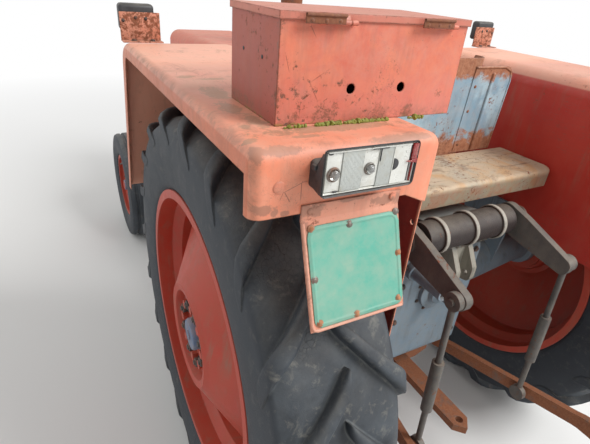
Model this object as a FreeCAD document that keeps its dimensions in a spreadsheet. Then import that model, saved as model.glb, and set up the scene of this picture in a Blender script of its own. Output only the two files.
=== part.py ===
import FreeCAD, Part
import math
import os
import Sketcher

# Farm tractor: two-wheel drive, open platform, big rear wheels under flat-topped fenders.
# Lengths are in millimetres and angles in degrees. +Y is forwards, +X is to the right, +Z is up.
# The origin lies on the ground, under the middle of the overall box.

Vector = FreeCAD.Vector
Rotation = FreeCAD.Rotation
FULL_TURN = 360

# Driving sizes. Columns: name in the sheet, value, what it is.
SIZES = [
    ("axle_back", 875, "rear axle behind the origin"),
    ("axle_ahead", 355, "front axle ahead of the engine's front face"),
    ("fit_gap", 0.3, "gap left between pieces of one body that are bolted or clamped together"),
    ("pivot_gap", 0.05, "radial clearance of a running pin or shaft"),
    ("side_gap", 1, "end clearance beside a piece that turns or swings"),

    ("rear_track", 1400, "rear wheel centres apart"),
    ("rear_tyre_radius", 732.5, "rear tyre to the tips of its lugs"),
    ("rear_tyre_width", 315, "rear tyre over the sidewalls"),
    ("rear_lug", 38, "height of a rear lug"),
    ("rear_seat_radius", 457, "bead seat of the rear rim"),
    ("rear_flange", 22, "rear rim flange above the bead seat"),
    ("rear_rim_width", 280, "rear rim between its flanges"),
    ("rear_rim_sheet", 6, "rear rim sheet"),
    ("rear_well", 30, "depth of the rear rim's well"),
    ("rear_well_width", 110, "width of the rear rim's well"),
    ("disc_sheet", 9, "rear wheel disc sheet"),
    ("disc_crest_radius", 172, "radius of the disc's crest round the hub recess"),
    ("disc_crest", 158, "crest of the disc outside the wheel's middle plane"),
    ("disc_face_radius", 142, "radius of the flat bolting face of the disc"),
    ("disc_face", 126, "bolting face of the disc outside the wheel's middle plane"),
    ("rear_nut_circle", 100, "radius of the rear wheel nuts' circle"),
    ("rear_nut_radius", 16, "rear wheel nut across its corners, halved"),
    ("rear_nut_height", 20, "rear wheel nut"),
    ("rear_hub_radius", 52, "rear hub spigot"),
    ("rear_hub_out", 26, "rear hub spigot outside the bolting face"),
    ("rear_hub_flange", 20, "rear hub flange behind the disc"),
    ("rear_shaft_radius", 34, "rear axle shaft in its trumpet"),
    ("rear_shaft_seat", 90, "length of the rear axle shaft held by its trumpet"),

    ("front_track", 1360, "front wheel centres apart"),
    ("front_tyre_radius", 372, "front tyre radius"),
    ("front_tyre_width", 178, "front tyre over the sidewalls"),
    ("front_rib", 12, "height of a front tyre rib"),
    ("front_seat_radius", 203, "bead seat of the front rim"),
    ("front_flange", 17, "front rim flange above the bead seat"),
    ("front_rim_width", 128, "front rim between its flanges"),
    ("front_rim_sheet", 5, "front rim sheet"),
    ("front_face_radius", 110, "radius of the front disc's bolting face"),
    ("front_face", 34, "front disc's bolting face outside the wheel's middle plane"),
    ("front_nut_circle", 76, "radius of the front wheel nuts' circle"),
    ("front_hub_radius", 48, "front hub barrel"),
    ("front_hub_cap", 38, "front hub cap outside the bolting face"),
    ("stub_radius", 20, "front stub axle"),

    ("kingpin_in", 130, "kingpin inside the front wheel's middle plane"),
    ("kingpin_radius", 19, "kingpin"),
    ("kingpin_boss", 36, "kingpin boss at the ends of the front axle"),
    ("boss_height", 150, "kingpin boss of the front axle"),
    ("boss_lift", 88, "lower face of that boss above the stub axle"),
    ("arm_thickness", 18, "steering arm"),
    ("tie_arm", 165, "steering arm from the kingpin back to the tie rod"),
    ("tie_rod_radius", 13, "tie rod"),
    ("ball_radius", 20, "ball joint of the steering rods"),
    ("ball_pin_radius", 9, "pin of a steering ball joint"),
    ("drag_arm", 140, "upper steering arm from the kingpin in to the drag link"),
    ("drag_height", 730, "axis of the drag link above the ground"),
    ("drag_fall", 130, "fall of the drag link from the drop arm to the knuckle"),
    ("pitman_length", 140, "drop arm between its centres"),
    ("pitman_y", 80, "drop arm shaft ahead of the origin"),
    ("pitman_shaft", 14, "radius of the drop arm shaft"),
    ("front_beam", 84, "height of the front axle beam"),
    ("front_beam_width", 74, "width of the front axle beam"),

    ("axle_tube_radius", 78, "rear axle trumpet at its thin end"),
    ("axle_root_radius", 128, "rear axle trumpet at the centre case"),
    ("case_half_width", 190, "rear transmission case, half its width"),
    ("case_back", 215, "rear face of the case behind the rear axle"),
    ("case_front", 230, "front of the deep part of the case ahead of the rear axle"),
    ("case_top", 1000, "top of the rear case above the ground"),
    ("case_bottom", 500, "bottom of the rear case above the ground"),
    ("box_half_width", 150, "gearbox, half its width"),
    ("box_top", 920, "top of the gearbox above the ground"),
    ("box_bottom", 520, "bottom of the gearbox above the ground"),
    ("clutch_back", -150, "where the clutch housing starts to widen"),
    ("engine_back", 150, "rear face of the engine"),
    ("engine_front", 820, "front face of the engine"),
    ("engine_half_width", 165, "engine block, half its width"),
    ("sump_bottom", 430, "bottom of the oil sump above the ground"),
    ("crank_rise", 150, "crankshaft above the bottom of the sump"),
    ("crank_pulley", 78, "radius of the crankshaft pulley"),
    ("block_top", 1010, "top of the engine block above the ground"),
    ("head_top", 1120, "top of the cylinder head above the ground"),
    ("rocker_top", 1200, "top of the rocker cover above the ground"),
    ("bell_radius", 235, "clutch housing at the engine"),

    ("hood_half_width", 265, "hood, half its width"),
    ("hood_top", 1440, "hood above the ground at the dash"),
    ("hood_drop", 50, "fall of the hood from the dash to the nose"),
    ("hood_side", 250, "height of the hood's sides"),
    ("hood_sheet", 2.5, "hood sheet"),
    ("hood_back", -60, "rear edge of the hood"),
    ("nose_ahead", 385, "front edge of the hood ahead of the front axle"),
    ("hood_corner", 70, "rounding of the hood's upper edges"),
    ("grille_depth", 50, "front grille housing, front to back"),
    ("grille_slot", 16, "height of the slots in the grille's front"),
    ("lamp_radius", 78, "headlamp"),
    ("lamp_depth", 70, "headlamp, front to back"),
    ("lamp_height", 1190, "headlamps above the ground"),
    ("lamp_spread", 150, "headlamp centres from the middle plane"),
    ("radiator_half_width", 225, "radiator, half its width"),
    ("radiator_ahead", 145, "rear face of the radiator ahead of the engine"),
    ("radiator_depth", 90, "radiator, front to back"),
    ("radiator_top", 1320, "top of the radiator above the ground"),
    ("fan_radius", 190, "cooling fan"),
    ("fan_height", 960, "cooling fan's axis above the ground"),

    ("bolster_ahead", 500, "front face of the front support ahead of the front axle"),
    ("bolster_half_width", 140, "front support, half its width"),
    ("bolster_wall", 34, "side walls of the front support"),
    ("bolster_top", 690, "top of the front support above the ground"),
    ("bolster_bottom", 600, "bottom of the front support above the ground"),
    ("axle_pin_radius", 26, "pin on which the front axle rocks"),

    ("fender_out", 887, "outer edge of a fender from the middle plane"),
    ("fender_in", 484, "inner wall of a fender from the middle plane"),
    ("fender_sheet", 3, "fender sheet"),
    ("fender_top", 1557, "fender above the ground"),
    ("fender_back", 541, "rear face of a fender behind the rear axle"),
    ("fender_front", 560, "front end of a fender's flat top ahead of the rear axle"),
    ("fender_flange", 42, "outer flange of a fender"),
    ("fender_tail", 113, "height of a fender's rear panel"),
    ("fender_bend", 22, "rounding of a fender's bends"),
    ("fender_inner_corner", 60, "rounding over the inner wall"),
    ("fender_wall_bottom", 950, "lower edge of a fender's inner wall above the ground"),
    ("fender_toe", 760, "front foot of a fender ahead of the rear axle"),

    ("box_back", 434, "rear face of the toolbox behind the rear axle"),
    ("box_left", 800, "left face of the toolbox from the middle plane"),
    ("box_width", 400, "toolbox, left to right"),
    ("box_length", 202, "toolbox, front to back"),
    ("box_height", 176, "toolbox under its lid"),
    ("box_sheet", 2, "toolbox sheet"),
    ("lid_height", 10, "rim of the toolbox lid"),
    ("lid_lip", 4, "lid outside the toolbox's walls"),
    ("lid_gap", 1.5, "gap between the lid's rim and the box"),
    ("hinge_radius", 4, "toolbox hinge knuckles"),
    ("hinge_pin_radius", 2, "toolbox hinge pin"),
    ("hinge_half", 24, "half the length of the lid leaf of a toolbox hinge"),
    ("key_hole", 9, "radius of the holes in the toolbox's rear face"),

    ("tail_lamp_out", 793, "outer end of the tail lamp from the middle plane"),
    ("tail_lamp_length", 181, "tail lamp"),
    ("tail_lamp_height", 79, "tail lamp housing at its rim"),
    ("tail_lamp_depth", 46, "tail lamp housing, from the fender to its rim"),
    ("tail_lamp_foot", 12, "straight foot of the housing on the fender"),
    ("tail_lamp_rim", 11, "straight rim of the housing"),
    ("tail_lamp_slope", 30, "slope of the housing's top from the rim down to the foot"),
    ("tail_lamp_wall", 5, "wall of the housing"),
    ("tail_lamp_rise", 12, "top of the tail lamp above the fender top"),
    ("plate_width", 205, "number plate carrier"),
    ("plate_flange", 28, "number plate carrier's flange on the fender"),
    ("plate_drop", 198, "number plate carrier below its bend"),
    ("plate_out", 798, "outer edge of the number plate carrier from the middle plane"),
    ("plate_top", 97.5, "top of the carrier under the fender top"),
    ("plate_lean", 21, "lean of the number plate carrier below its bend"),
    ("plate_sheet", 2.5, "number plate carrier sheet"),

    ("deck_clear", 8, "deck's lip above the rings of the lift shaft's tube"),
    ("deck_back", 214, "rear edge of the deck behind the rear axle"),
    ("deck_front", 28, "front edge of the deck ahead of the rear axle"),
    ("deck_sheet", 4, "deck sheet"),
    ("deck_lip", 66, "rear lip of the deck"),
    ("seat_half_width", 262, "seat shell, half its width"),
    ("seat_back_top", 1590, "top of the seat's back above the ground"),
    ("seat_sheet", 4, "seat shell sheet"),
    ("seat_length", 400, "seat shell, front to back"),
    ("seat_height", 1150, "seat pan above the ground"),
    ("seat_back_y", 40, "seat back ahead of the rear axle"),

    ("foot_height", 700, "footplates above the ground"),
    ("foot_back", 330, "rear edge of the footplates ahead of the rear axle"),
    ("foot_front", 900, "front edge of the footplates ahead of the rear axle"),

    ("wheel_rim_radius", 205, "steering wheel"),
    ("wheel_grip_radius", 13, "grip of the steering wheel"),
    ("column_tilt", 32, "steering column's lean from upright"),
    ("wheel_y", -230, "hub of the steering wheel from the origin"),
    ("wheel_height", 1500, "hub of the steering wheel above the ground"),
    ("column_radius", 24, "steering column tube"),

    ("stack_radius", 27, "exhaust stack"),
    ("stack_top", 2040, "top of the exhaust stack above the ground"),
    ("silencer_radius", 62, "silencer"),

    ("lift_y", 262, "lift shaft behind the rear axle"),
    ("lift_rise", 108, "lift shaft above the top of the case"),
    ("lift_tube_wall", 20, "wall of the tube round the lift shaft"),
    ("lift_ring", 7, "rings of that tube, proud of it"),
    ("lift_shaft_radius", 32, "lift shaft"),
    ("lift_cover_height", 88, "flat top of the lift cover above the case"),
    ("lift_arm", 230, "lift arm between its centres"),
    ("lift_arm_x", 228, "lift arms from the middle plane"),
    ("lift_arm_half", 13, "lift arm, half its thickness"),
    ("lift_pin_radius", 11, "pins at the upper ends of the lift rods"),
    ("lift_eye", 20, "thickness of a lift rod's eyes"),
    ("link_pivot_x", 205, "lower link pivots from the middle plane"),
    ("link_pivot_back", 100, "lower link pivots behind the rear axle"),
    ("link_pivot_height", 430, "lower link pivots above the ground"),
    ("link_end_x", 330, "lower link eyes from the middle plane"),
    ("link_reach", 765, "lower link eyes behind the rear axle"),
    ("link_end_height", 505, "lower link eyes above the ground"),
    ("arm_drop", 15, "lift arms at rest, below level"),
    ("rod_share", 0.62, "place of the lift rod along the lower link"),
    ("link_eye_radius", 35, "lower link eye, outer radius"),
    ("link_ball_bore", 11.2, "bore of the lower link ball"),
    ("link_pin_radius", 14, "pins of the lower links"),
    ("drawbar_height", 400, "drawbar above the ground"),
    ("drawbar_reach", 520, "end of the drawbar behind the rear axle"),
    ("drawbar_bore", 14, "radius of the drawbar's pin hole"),
    ("stub_tube_x", 136, "stub tube on the rear face of the case, from the middle plane"),
    ("stub_tube_drop", 53, "stub tube under the top of the case"),
    ("stub_tube_radius", 25, "stub tube"),
    ("stub_tube_length", 150, "length of the stub tube"),
    ("pto_radius", 17.5, "power take-off shaft"),
    ("pto_height", 825, "power take-off shaft above the ground"),
    ("pto_length", 75, "power take-off shaft outside its housing"),
    ("top_link_bore", 9.7, "radius of the top link bracket's hole"),
]

doc = FreeCAD.newDocument("FarmTractor")
sheet = doc.addObject("Spreadsheet::Sheet", "Sizes")


class Size:
    """A length, ratio or angle: its present number, and the expression that keeps it tied to the sheet."""

    def __init__(self, number, text):
        self.number = number
        self.text = text

    def __add__(self, other):
        other = as_size(other)
        return Size(self.number + other.number, f"({self.text} + {other.text})")

    def __radd__(self, other):
        return as_size(other) + self

    def __sub__(self, other):
        other = as_size(other)
        return Size(self.number - other.number, f"({self.text} - {other.text})")

    def __rsub__(self, other):
        return as_size(other) - self

    def __mul__(self, other):
        other = as_size(other)
        return Size(self.number * other.number, f"({self.text} * {other.text})")

    def __rmul__(self, other):
        return as_size(other) * self

    def __truediv__(self, other):
        other = as_size(other)
        return Size(self.number / other.number, f"({self.text} / {other.text})")

    def __neg__(self):
        return Size(-self.number, f"(-1 * {self.text})")

    def __float__(self):
        return float(self.number)


def as_size(value):
    if isinstance(value, Size):
        return value
    return Size(value, f"({value!r})")


def sine(angle):
    angle = as_size(angle)
    return Size(math.sin(math.radians(angle.number)), f"sin({angle.text})")


def cosine(angle):
    angle = as_size(angle)
    return Size(math.cos(math.radians(angle.number)), f"cos({angle.text})")


def root(value):
    value = as_size(value)
    return Size(math.sqrt(value.number), f"sqrt({value.text})")


def angle_of(rise, run):
    """The angle whose tangent is rise over run, for a positive run."""
    rise = as_size(rise)
    run = as_size(run)
    return Size(math.degrees(math.atan2(rise.number, run.number)), f"atan({rise.text} / {run.text})")


def fill_sheet():
    sizes = {}
    for row, (name, value, meaning) in enumerate(SIZES, start=1):
        sheet.set(f"A{row}", name)
        sheet.set(f"B{row}", str(value))
        sheet.set(f"C{row}", meaning)
        sheet.setAlias(f"B{row}", name)
        sizes[name] = Size(float(value), f"Sizes.{name}")
    doc.recompute()
    return sizes


S = fill_sheet()
made = []


def bind(thing, prop, value):
    """Set a property now and tie it to the sheet."""
    value = as_size(value)
    thing.setExpression(prop, value.text)


def register(thing, label):
    thing.Label = label
    made.append(thing)
    return thing


def put(thing, place):
    """Move a piece to a point whose coordinates are tied to the sheet."""
    for axis, value in zip("xyz", place):
        bind(thing, f"Placement.Base.{axis}", value)
    return thing


def turn(thing, axis, angle):
    """Turn a piece about its own origin, by an angle tied to the sheet."""
    thing.Placement = FreeCAD.Placement(Vector(0, 0, 0), Rotation(Vector(*axis), 1))
    bind(thing, "Placement.Rotation.Angle", angle)
    return thing


def origin_part(body, role):
    for feature in body.Origin.OriginFeatures:
        if feature.Role == role:
            return feature
    raise RuntimeError(f"{body.Label} has no {role}")


class Piece:
    """A PartDesign body with short calls for its sketches and features."""

    def __init__(self, label, keep=True):
        self.body = doc.addObject("PartDesign::Body", label)
        self.label = label
        self.count = 0
        if keep:
            register(self.body, label)

    def name(self, kind):
        self.count += 1
        return f"{self.label}_{kind}_{self.count}"

    def sketch(self, plane, offset=0):
        sketch = self.body.newObject("Sketcher::SketchObject", self.name("sketch"))
        sketch.AttachmentSupport = [(origin_part(self.body, plane + "_Plane"), "")]
        sketch.MapMode = "FlatFace"
        if isinstance(offset, Size) or offset != 0:
            bind(sketch, "AttachmentOffset.Base.z", offset)
        return sketch

    def outline(self, plane, corners, offset=0):
        """A closed outline of straight runs. A corner is (across, up) or (across, up, rounding)."""
        sketch = self.sketch(plane, offset)
        draw_outline(sketch, corners)
        return sketch

    def circles(self, plane, rows, offset=0):
        """Circles given as (across, up, radius)."""
        sketch = self.sketch(plane, offset)
        for across, up, radius in rows:
            draw_circle(sketch, across, up, radius)
        return sketch

    def pad(self, sketch, length, back=False, both=False):
        pad = self.body.newObject("PartDesign::Pad", self.name("pad"))
        pad.Profile = sketch
        pad.SideType = "Symmetric" if both else "One side"
        bind(pad, "Length", length)
        pad.Reversed = back
        return pad

    def cut(self, sketch, length=None, back=False, both=False):
        before = self.volume()
        pocket = self.body.newObject("PartDesign::Pocket", self.name("cut"))
        pocket.Profile = sketch
        pocket.SideType = "Symmetric" if both else "One side"
        if length is None:
            pocket.Type = "ThroughAll"
        else:
            bind(pocket, "Length", length)
        pocket.Reversed = back
        doc.recompute()
        if self.volume() > before - 1e-3:
            raise RuntimeError(f"{pocket.Name} removes nothing")
        return pocket

    def spin(self, sketch, axis="H_Axis"):
        turned = self.body.newObject("PartDesign::Revolution", self.name("spin"))
        turned.Profile = sketch
        turned.ReferenceAxis = (sketch, [axis])
        turned.Angle = FULL_TURN
        return turned

    def loft(self, sketches):
        loft = self.body.newObject("PartDesign::AdditiveLoft", self.name("loft"))
        loft.Profile = sketches[0]
        loft.Sections = sketches[1:]
        loft.Ruled = True
        return loft

    def around(self, features, axis, number):
        ring = self.body.newObject("PartDesign::PolarPattern", self.name("ring"))
        ring.Originals = features
        ring.Axis = (origin_part(self.body, axis + "_Axis"), [""])
        ring.Angle = FULL_TURN
        ring.Occurrences = number
        self.body.Tip = ring
        return ring

    def row(self, features, axis, length, number):
        row = self.body.newObject("PartDesign::LinearPattern", self.name("row"))
        row.Originals = features
        row.Direction = (origin_part(self.body, axis + "_Axis"), [""])
        bind(row, "Length", length)
        row.Occurrences = number
        self.body.Tip = row
        return row

    def round(self, radius, chosen):
        """Round the edges of the body so far for which chosen(edge) is true."""
        tip = self.body.Tip
        doc.recompute()
        names = [f"Edge{i}" for i, edge in enumerate(tip.Shape.Edges, start=1) if chosen(edge)]
        if not names:
            raise RuntimeError(f"{self.label} has no such edge to round")
        fillet = self.body.newObject("PartDesign::Fillet", self.name("round"))
        fillet.Base = (tip, names)
        bind(fillet, "Radius", radius)
        return fillet

    def shell(self, wall, open_faces):
        """Hollow the body inwards, leaving open the faces for which open_faces(face) is true."""
        tip = self.body.Tip
        doc.recompute()
        names = [f"Face{i}" for i, face in enumerate(tip.Shape.Faces, start=1) if open_faces(face)]
        hollow = self.body.newObject("PartDesign::Thickness", self.name("shell"))
        hollow.Base = (tip, names)
        bind(hollow, "Value", wall)
        hollow.Reversed = True
        hollow.Join = 0
        return hollow

    def volume(self):
        doc.recompute()
        shape = self.body.Shape
        return 0 if shape.isNull() else shape.Volume


def draw_circle(sketch, across, up, radius):
    across = as_size(across)
    up = as_size(up)
    radius = as_size(radius)
    circle = Part.Circle(Vector(across.number, up.number, 0), Vector(0, 0, 1), radius.number)
    index = sketch.addGeometry(circle, False)
    pin_point(sketch, index, 3, across, up)
    hold(sketch, Sketcher.Constraint("Radius", index, radius.number), radius)


def hold(sketch, constraint, value):
    """Add a constraint whose value is tied to the sheet."""
    number = sketch.addConstraint(constraint)
    bind(sketch, f"Constraints[{number}]", value)


def pin_point(sketch, geometry, point, across, up):
    for kind, value in (("DistanceX", across), ("DistanceY", up)):
        value = as_size(value)
        hold(sketch, Sketcher.Constraint(kind, -1, 1, geometry, point, value.number), value)


def draw_outline(sketch, corners):
    """Lines between the corners, with a tangent arc where a corner is rounded. All of it is constrained."""
    rows = []
    for corner in corners:
        across, up = as_size(corner[0]), as_size(corner[1])
        rounding = as_size(corner[2]) if len(corner) > 2 else None
        rows.append((Vector(across.number, up.number, 0), across, up, rounding))
    count = len(rows)
    starts, ends = [], []
    for i, (here, across, up, rounding) in enumerate(rows):
        back = rows[i - 1][0] - here
        ahead = rows[(i + 1) % count][0] - here
        if rounding is None:
            starts.append(here)
            ends.append(here)
            continue
        reach = rounding.number / math.tan(back.getAngle(ahead) / 2)
        back.normalize()
        ahead.normalize()
        ends.append(here + back * reach)
        starts.append(here + ahead * reach)
    lines = []
    for i in range(count):
        lines.append(sketch.addGeometry(Part.LineSegment(starts[i], ends[(i + 1) % count]), False))
    for i, (here, across, up, rounding) in enumerate(rows):
        before, after = lines[i - 1], lines[i]
        if rounding is None:
            sketch.addConstraint(Sketcher.Constraint("Coincident", before, 2, after, 1))
            pin_point(sketch, after, 1, across, up)
            continue
        corner = sketch.addGeometry(Part.Point(here), True)
        pin_point(sketch, corner, 1, across, up)
        sketch.addConstraint(Sketcher.Constraint("PointOnObject", corner, 1, before))
        sketch.addConstraint(Sketcher.Constraint("PointOnObject", corner, 1, after))
        arc, reversed_arc = corner_arc(ends[i], here, starts[i], rounding.number)
        index = sketch.addGeometry(arc, False)
        first, last = (2, 1) if reversed_arc else (1, 2)
        sketch.addConstraint(Sketcher.Constraint("Tangent", before, 2, index, first))
        sketch.addConstraint(Sketcher.Constraint("Tangent", after, 1, index, last))
        hold(sketch, Sketcher.Constraint("Radius", index, rounding.number), rounding)


def corner_arc(start, corner, end, radius):
    """The arc that rounds a corner, and whether it runs clockwise from start to end."""
    inwards = (start - corner).normalize() + (end - corner).normalize()
    inwards.normalize()
    half = (start - corner).getAngle(end - corner) / 2
    centre = corner + inwards * (radius / math.sin(half))
    circle = Part.Circle(centre, Vector(0, 0, 1), radius)
    first = math.atan2(start.y - centre.y, start.x - centre.x)
    last = math.atan2(end.y - centre.y, end.x - centre.x)
    clockwise = (start - centre).cross(end - centre).z < 0
    if clockwise:
        return Part.ArcOfCircle(circle, last, first), True
    return Part.ArcOfCircle(circle, first, last), False


def cylinder(name, radius, length, place, axis=(0, 0, 1)):
    """A round bar from a point along an axis, as a primitive for a boolean."""
    bar = doc.addObject("Part::Cylinder", name)
    bind(bar, "Radius", radius)
    bind(bar, "Height", length)
    bar.Placement = FreeCAD.Placement(Vector(0, 0, 0), Rotation(Vector(0, 0, 1), Vector(*axis)))
    return put(bar, place)


def block(name, size, place):
    """A box from its lowest corner, as a primitive for a boolean."""
    box = doc.addObject("Part::Box", name)
    for prop, value in zip(("Length", "Width", "Height"), size):
        bind(box, prop, value)
    return put(box, place)


def fuse(label, shapes, keep=True):
    joined = doc.addObject("Part::MultiFuse", label + "_joined" if not keep else label)
    joined.Shapes = shapes
    joined.Refine = True
    return register(joined, label) if keep else joined


def subtract(label, base, tool, keep=True):
    cut = doc.addObject("Part::Cut", label + "_cut" if not keep else label)
    cut.Base = base
    cut.Tool = tool
    return register(cut, label) if keep else cut


def mirrored(label, source):
    """The same piece on the other side of the middle plane."""
    twin = doc.addObject("Part::Mirroring", label)
    twin.Source = source
    twin.Normal = Vector(1, 0, 0)
    return register(twin, label)


REAR = -S["axle_back"]
FRONT = S["engine_front"] + S["axle_ahead"]
REAR_HEIGHT = S["rear_tyre_radius"]
FRONT_HEIGHT = S["front_tyre_radius"]
GAP = S["fit_gap"]
HOOD_FRONT = FRONT + S["nose_ahead"]
RADIATOR_BACK = S["engine_front"] + S["radiator_ahead"]
BOLSTER_FRONT = FRONT + S["bolster_ahead"]
LIFT_HEIGHT = S["case_top"] + S["lift_rise"]
LIFT_TUBE = S["lift_shaft_radius"] + S["lift_tube_wall"]
DECK_TOP = LIFT_HEIGHT + LIFT_TUBE + S["lift_ring"] + S["deck_clear"] + S["deck_lip"]
STACK_X = S["engine_half_width"] * 0.86 + 52
STACK_Y = (S["engine_back"] + S["engine_front"]) / 2 + 60


def both_sides(half):
    """A closed outline from its right half, whose corners run upwards or inwards from the middle."""
    left = [(-corner[0],) + tuple(corner[1:]) for corner in reversed(half)]
    return half + left


# Wheels


def tyre_half(bead_half, bore, flange, width_half, crown, shoulder):
    """Right half of a tyre's section, from the bead out and up to the tread."""
    rise = (crown - bore) / 3
    return [
        (bead_half, bore),
        (bead_half, bore + flange + 3),
        (width_half - 6, bore + rise),
        (width_half, bore + rise * 1.55),
        (width_half - 8, bore + rise * 2.4),
        (shoulder, crown),
    ]


def rear_tyre():
    tyre = Piece("rear_tyre_left")
    half_width = S["rear_tyre_width"] / 2
    crown = S["rear_tyre_radius"] - S["rear_lug"]
    bore = S["rear_seat_radius"] + GAP
    bead_half = S["rear_rim_width"] / 2 - GAP
    half = tyre_half(bead_half, bore, S["rear_flange"], half_width, crown, half_width - 28)
    tyre.spin(tyre.outline("XY", both_sides(half)))
    lug_count = 20
    lean = half_width * 0.41
    root_level = crown - 24
    tip = root(S["rear_tyre_radius"] * S["rear_tyre_radius"] - (lean + 25) * (lean + 25))
    for side, turned in ((1, 0), (-1, FULL_TURN / lug_count / 2)):
        inner = side * -14
        outer = side * (half_width - 3)
        lug = [
            (inner, -lean - 19),
            (inner, -lean + 19),
            (outer, lean + 25),
            (outer, lean - 25),
        ]
        sketch = tyre.outline("XY", lug, root_level)
        if turned:
            sketch.AttachmentOffset = FreeCAD.Placement(Vector(0, 0, 0), Rotation(Vector(1, 0, 0), turned))
            bind(sketch, "AttachmentOffset.Base.y", -root_level * sine(turned))
            bind(sketch, "AttachmentOffset.Base.z", root_level * cosine(turned))
        pad = tyre.pad(sketch, tip - root_level)
        tyre.around([pad], "X", lug_count)
    put(tyre.body, (-S["rear_track"] / 2, REAR, REAR_HEIGHT))
    return tyre.body


def front_tyre():
    tyre = Piece("front_tyre_left")
    half_width = S["front_tyre_width"] / 2
    top = S["front_tyre_radius"]
    groove = top - S["front_rib"]
    bore = S["front_seat_radius"] + GAP
    shoulder = half_width - 22
    bead_half = S["front_rim_width"] / 2 - GAP
    half = tyre_half(bead_half, bore, S["front_flange"], half_width, top - 16, shoulder)
    half += [
        (shoulder - 16, top - 3),
        (shoulder - 20, groove),
        (shoulder - 34, groove),
        (shoulder - 37, top),
    ]
    tyre.spin(tyre.outline("XY", both_sides(half)))
    put(tyre.body, (-S["front_track"] / 2, FRONT, FRONT_HEIGHT))
    return tyre.body


def rim_outline(width, seat, flange, wall, well, well_width):
    """Section of a drop-centre rim: bead seats, well and flanges, one wall thick."""
    half = width / 2
    inner = seat - wall
    return [
        (-half - wall, inner),
        (-half - wall, seat + flange),
        (-half, seat + flange),
        (-half, seat),
        (-well_width / 2 - well, seat),
        (-well_width / 2, seat - well),
        (well_width / 2, seat - well),
        (well_width / 2 + well, seat),
        (half, seat),
        (half, seat + flange),
        (half + wall, seat + flange),
        (half + wall, inner),
        (well_width / 2 + well + wall * 0.4, inner),
        (well_width / 2 + wall * 0.4, inner - well),
        (-well_width / 2 - wall * 0.4, inner - well),
        (-well_width / 2 - well - wall * 0.4, inner),
    ]


def rear_rim():
    rim = Piece("rear_rim_left")
    wall = S["rear_rim_sheet"]
    seat = S["rear_seat_radius"]
    well = S["rear_well"]
    section = rim_outline(S["rear_rim_width"], seat, S["rear_flange"], wall, well, S["rear_well_width"])
    rim.spin(rim.outline("XY", section))
    weld = seat - well - wall / 2
    thick = S["disc_sheet"]
    face = S["disc_face"]
    crest = S["disc_crest"]
    # Outwards is -X on the left wheel. The disc runs from its weld up to the crest and into the hub recess.
    outside = [
        (-20, weld),
        (-crest + 12, S["disc_crest_radius"] + 18),
        (-crest, S["disc_crest_radius"]),
        (-crest + 4, S["disc_face_radius"] + 8),
        (-face, S["disc_face_radius"]),
        (-face, S["rear_hub_radius"] - 4),
    ]
    inside = [(across + thick, up) for across, up in reversed(outside)]
    rim.spin(rim.outline("XY", outside + inside))
    back = -face + thick
    hub = [
        (-face - S["rear_hub_out"], 0),
        (-face - S["rear_hub_out"], S["rear_hub_radius"] - 8),
        (-face - S["rear_hub_out"] + 8, S["rear_hub_radius"]),
        (back - 2, S["rear_hub_radius"]),
        (back - 2, S["disc_face_radius"] - 12),
        (back + S["rear_hub_flange"], S["disc_face_radius"] - 12),
        (back + S["rear_hub_flange"], S["rear_shaft_radius"]),
        (back + S["rear_hub_flange"] + S["rear_shaft_seat"], S["rear_shaft_radius"]),
        (back + S["rear_hub_flange"] + S["rear_shaft_seat"], 0),
    ]
    rim.spin(rim.outline("XY", hub))
    nut = rim.sketch("YZ", -face + 1)
    draw_hexagon(nut, 0, S["rear_nut_circle"], S["rear_nut_radius"])
    pad = rim.pad(nut, S["rear_nut_height"] + 1, back=True)
    rim.around([pad], "X", 8)
    put(rim.body, (-S["rear_track"] / 2, REAR, REAR_HEIGHT))
    return rim.body


def draw_hexagon(sketch, across, up, radius):
    corners = []
    for i in range(6):
        corners.append((across + radius * cosine(60 * i), up + radius * sine(60 * i)))
    draw_outline(sketch, corners)


def front_rim():
    rim = Piece("front_rim_left")
    wall = S["front_rim_sheet"]
    well = 22
    section = rim_outline(S["front_rim_width"], S["front_seat_radius"], S["front_flange"], wall, well, 44)
    rim.spin(rim.outline("XY", section))
    weld = S["front_seat_radius"] - well - wall / 2
    face = S["front_face"]
    outside = [
        (-4, weld),
        (-face + 14, S["front_face_radius"] + 26),
        (-face, S["front_face_radius"]),
        (-face, S["front_hub_radius"] - 4),
    ]
    inside = [(across + wall + 1, up) for across, up in reversed(outside)]
    rim.spin(rim.outline("XY", outside + inside))
    hub_back = S["kingpin_in"] - S["kingpin_boss"] - 12
    bore = S["stub_radius"] + S["pivot_gap"]
    hub = [
        (-face - S["front_hub_cap"], 0),
        (-face - S["front_hub_cap"], 26),
        (-face - S["front_hub_cap"] + 8, 36),
        (-face - 6, 36),
        (-face - 6, S["front_hub_radius"]),
        (-face + wall, S["front_hub_radius"]),
        (-face + wall, S["front_nut_circle"] + 20),
        (-face + wall + 12, S["front_nut_circle"] + 20),
        (-face + wall + 24, S["front_hub_radius"] + 4),
        (hub_back, S["front_hub_radius"] + 4),
        (hub_back, bore),
        (-face - 8, bore),
        (-face - 8, 0),
    ]
    rim.spin(rim.outline("XY", hub))
    nut = rim.sketch("YZ", -face + 1)
    draw_hexagon(nut, 0, S["front_nut_circle"], 12)
    pad = rim.pad(nut, 16, back=True)
    rim.around([pad], "X", 6)
    put(rim.body, (-S["front_track"] / 2, FRONT, FRONT_HEIGHT))
    return rim.body


# Front axle and steering


def kingpin_x():
    return S["front_track"] / 2 - S["kingpin_in"]


BOSS_BOTTOM = FRONT_HEIGHT + S["boss_lift"]
BOSS_TOP = FRONT_HEIGHT + S["boss_lift"] + S["boss_height"]
BEAM_CENTRE = FRONT_HEIGHT + S["boss_lift"] + S["boss_height"] * 0.5


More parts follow.
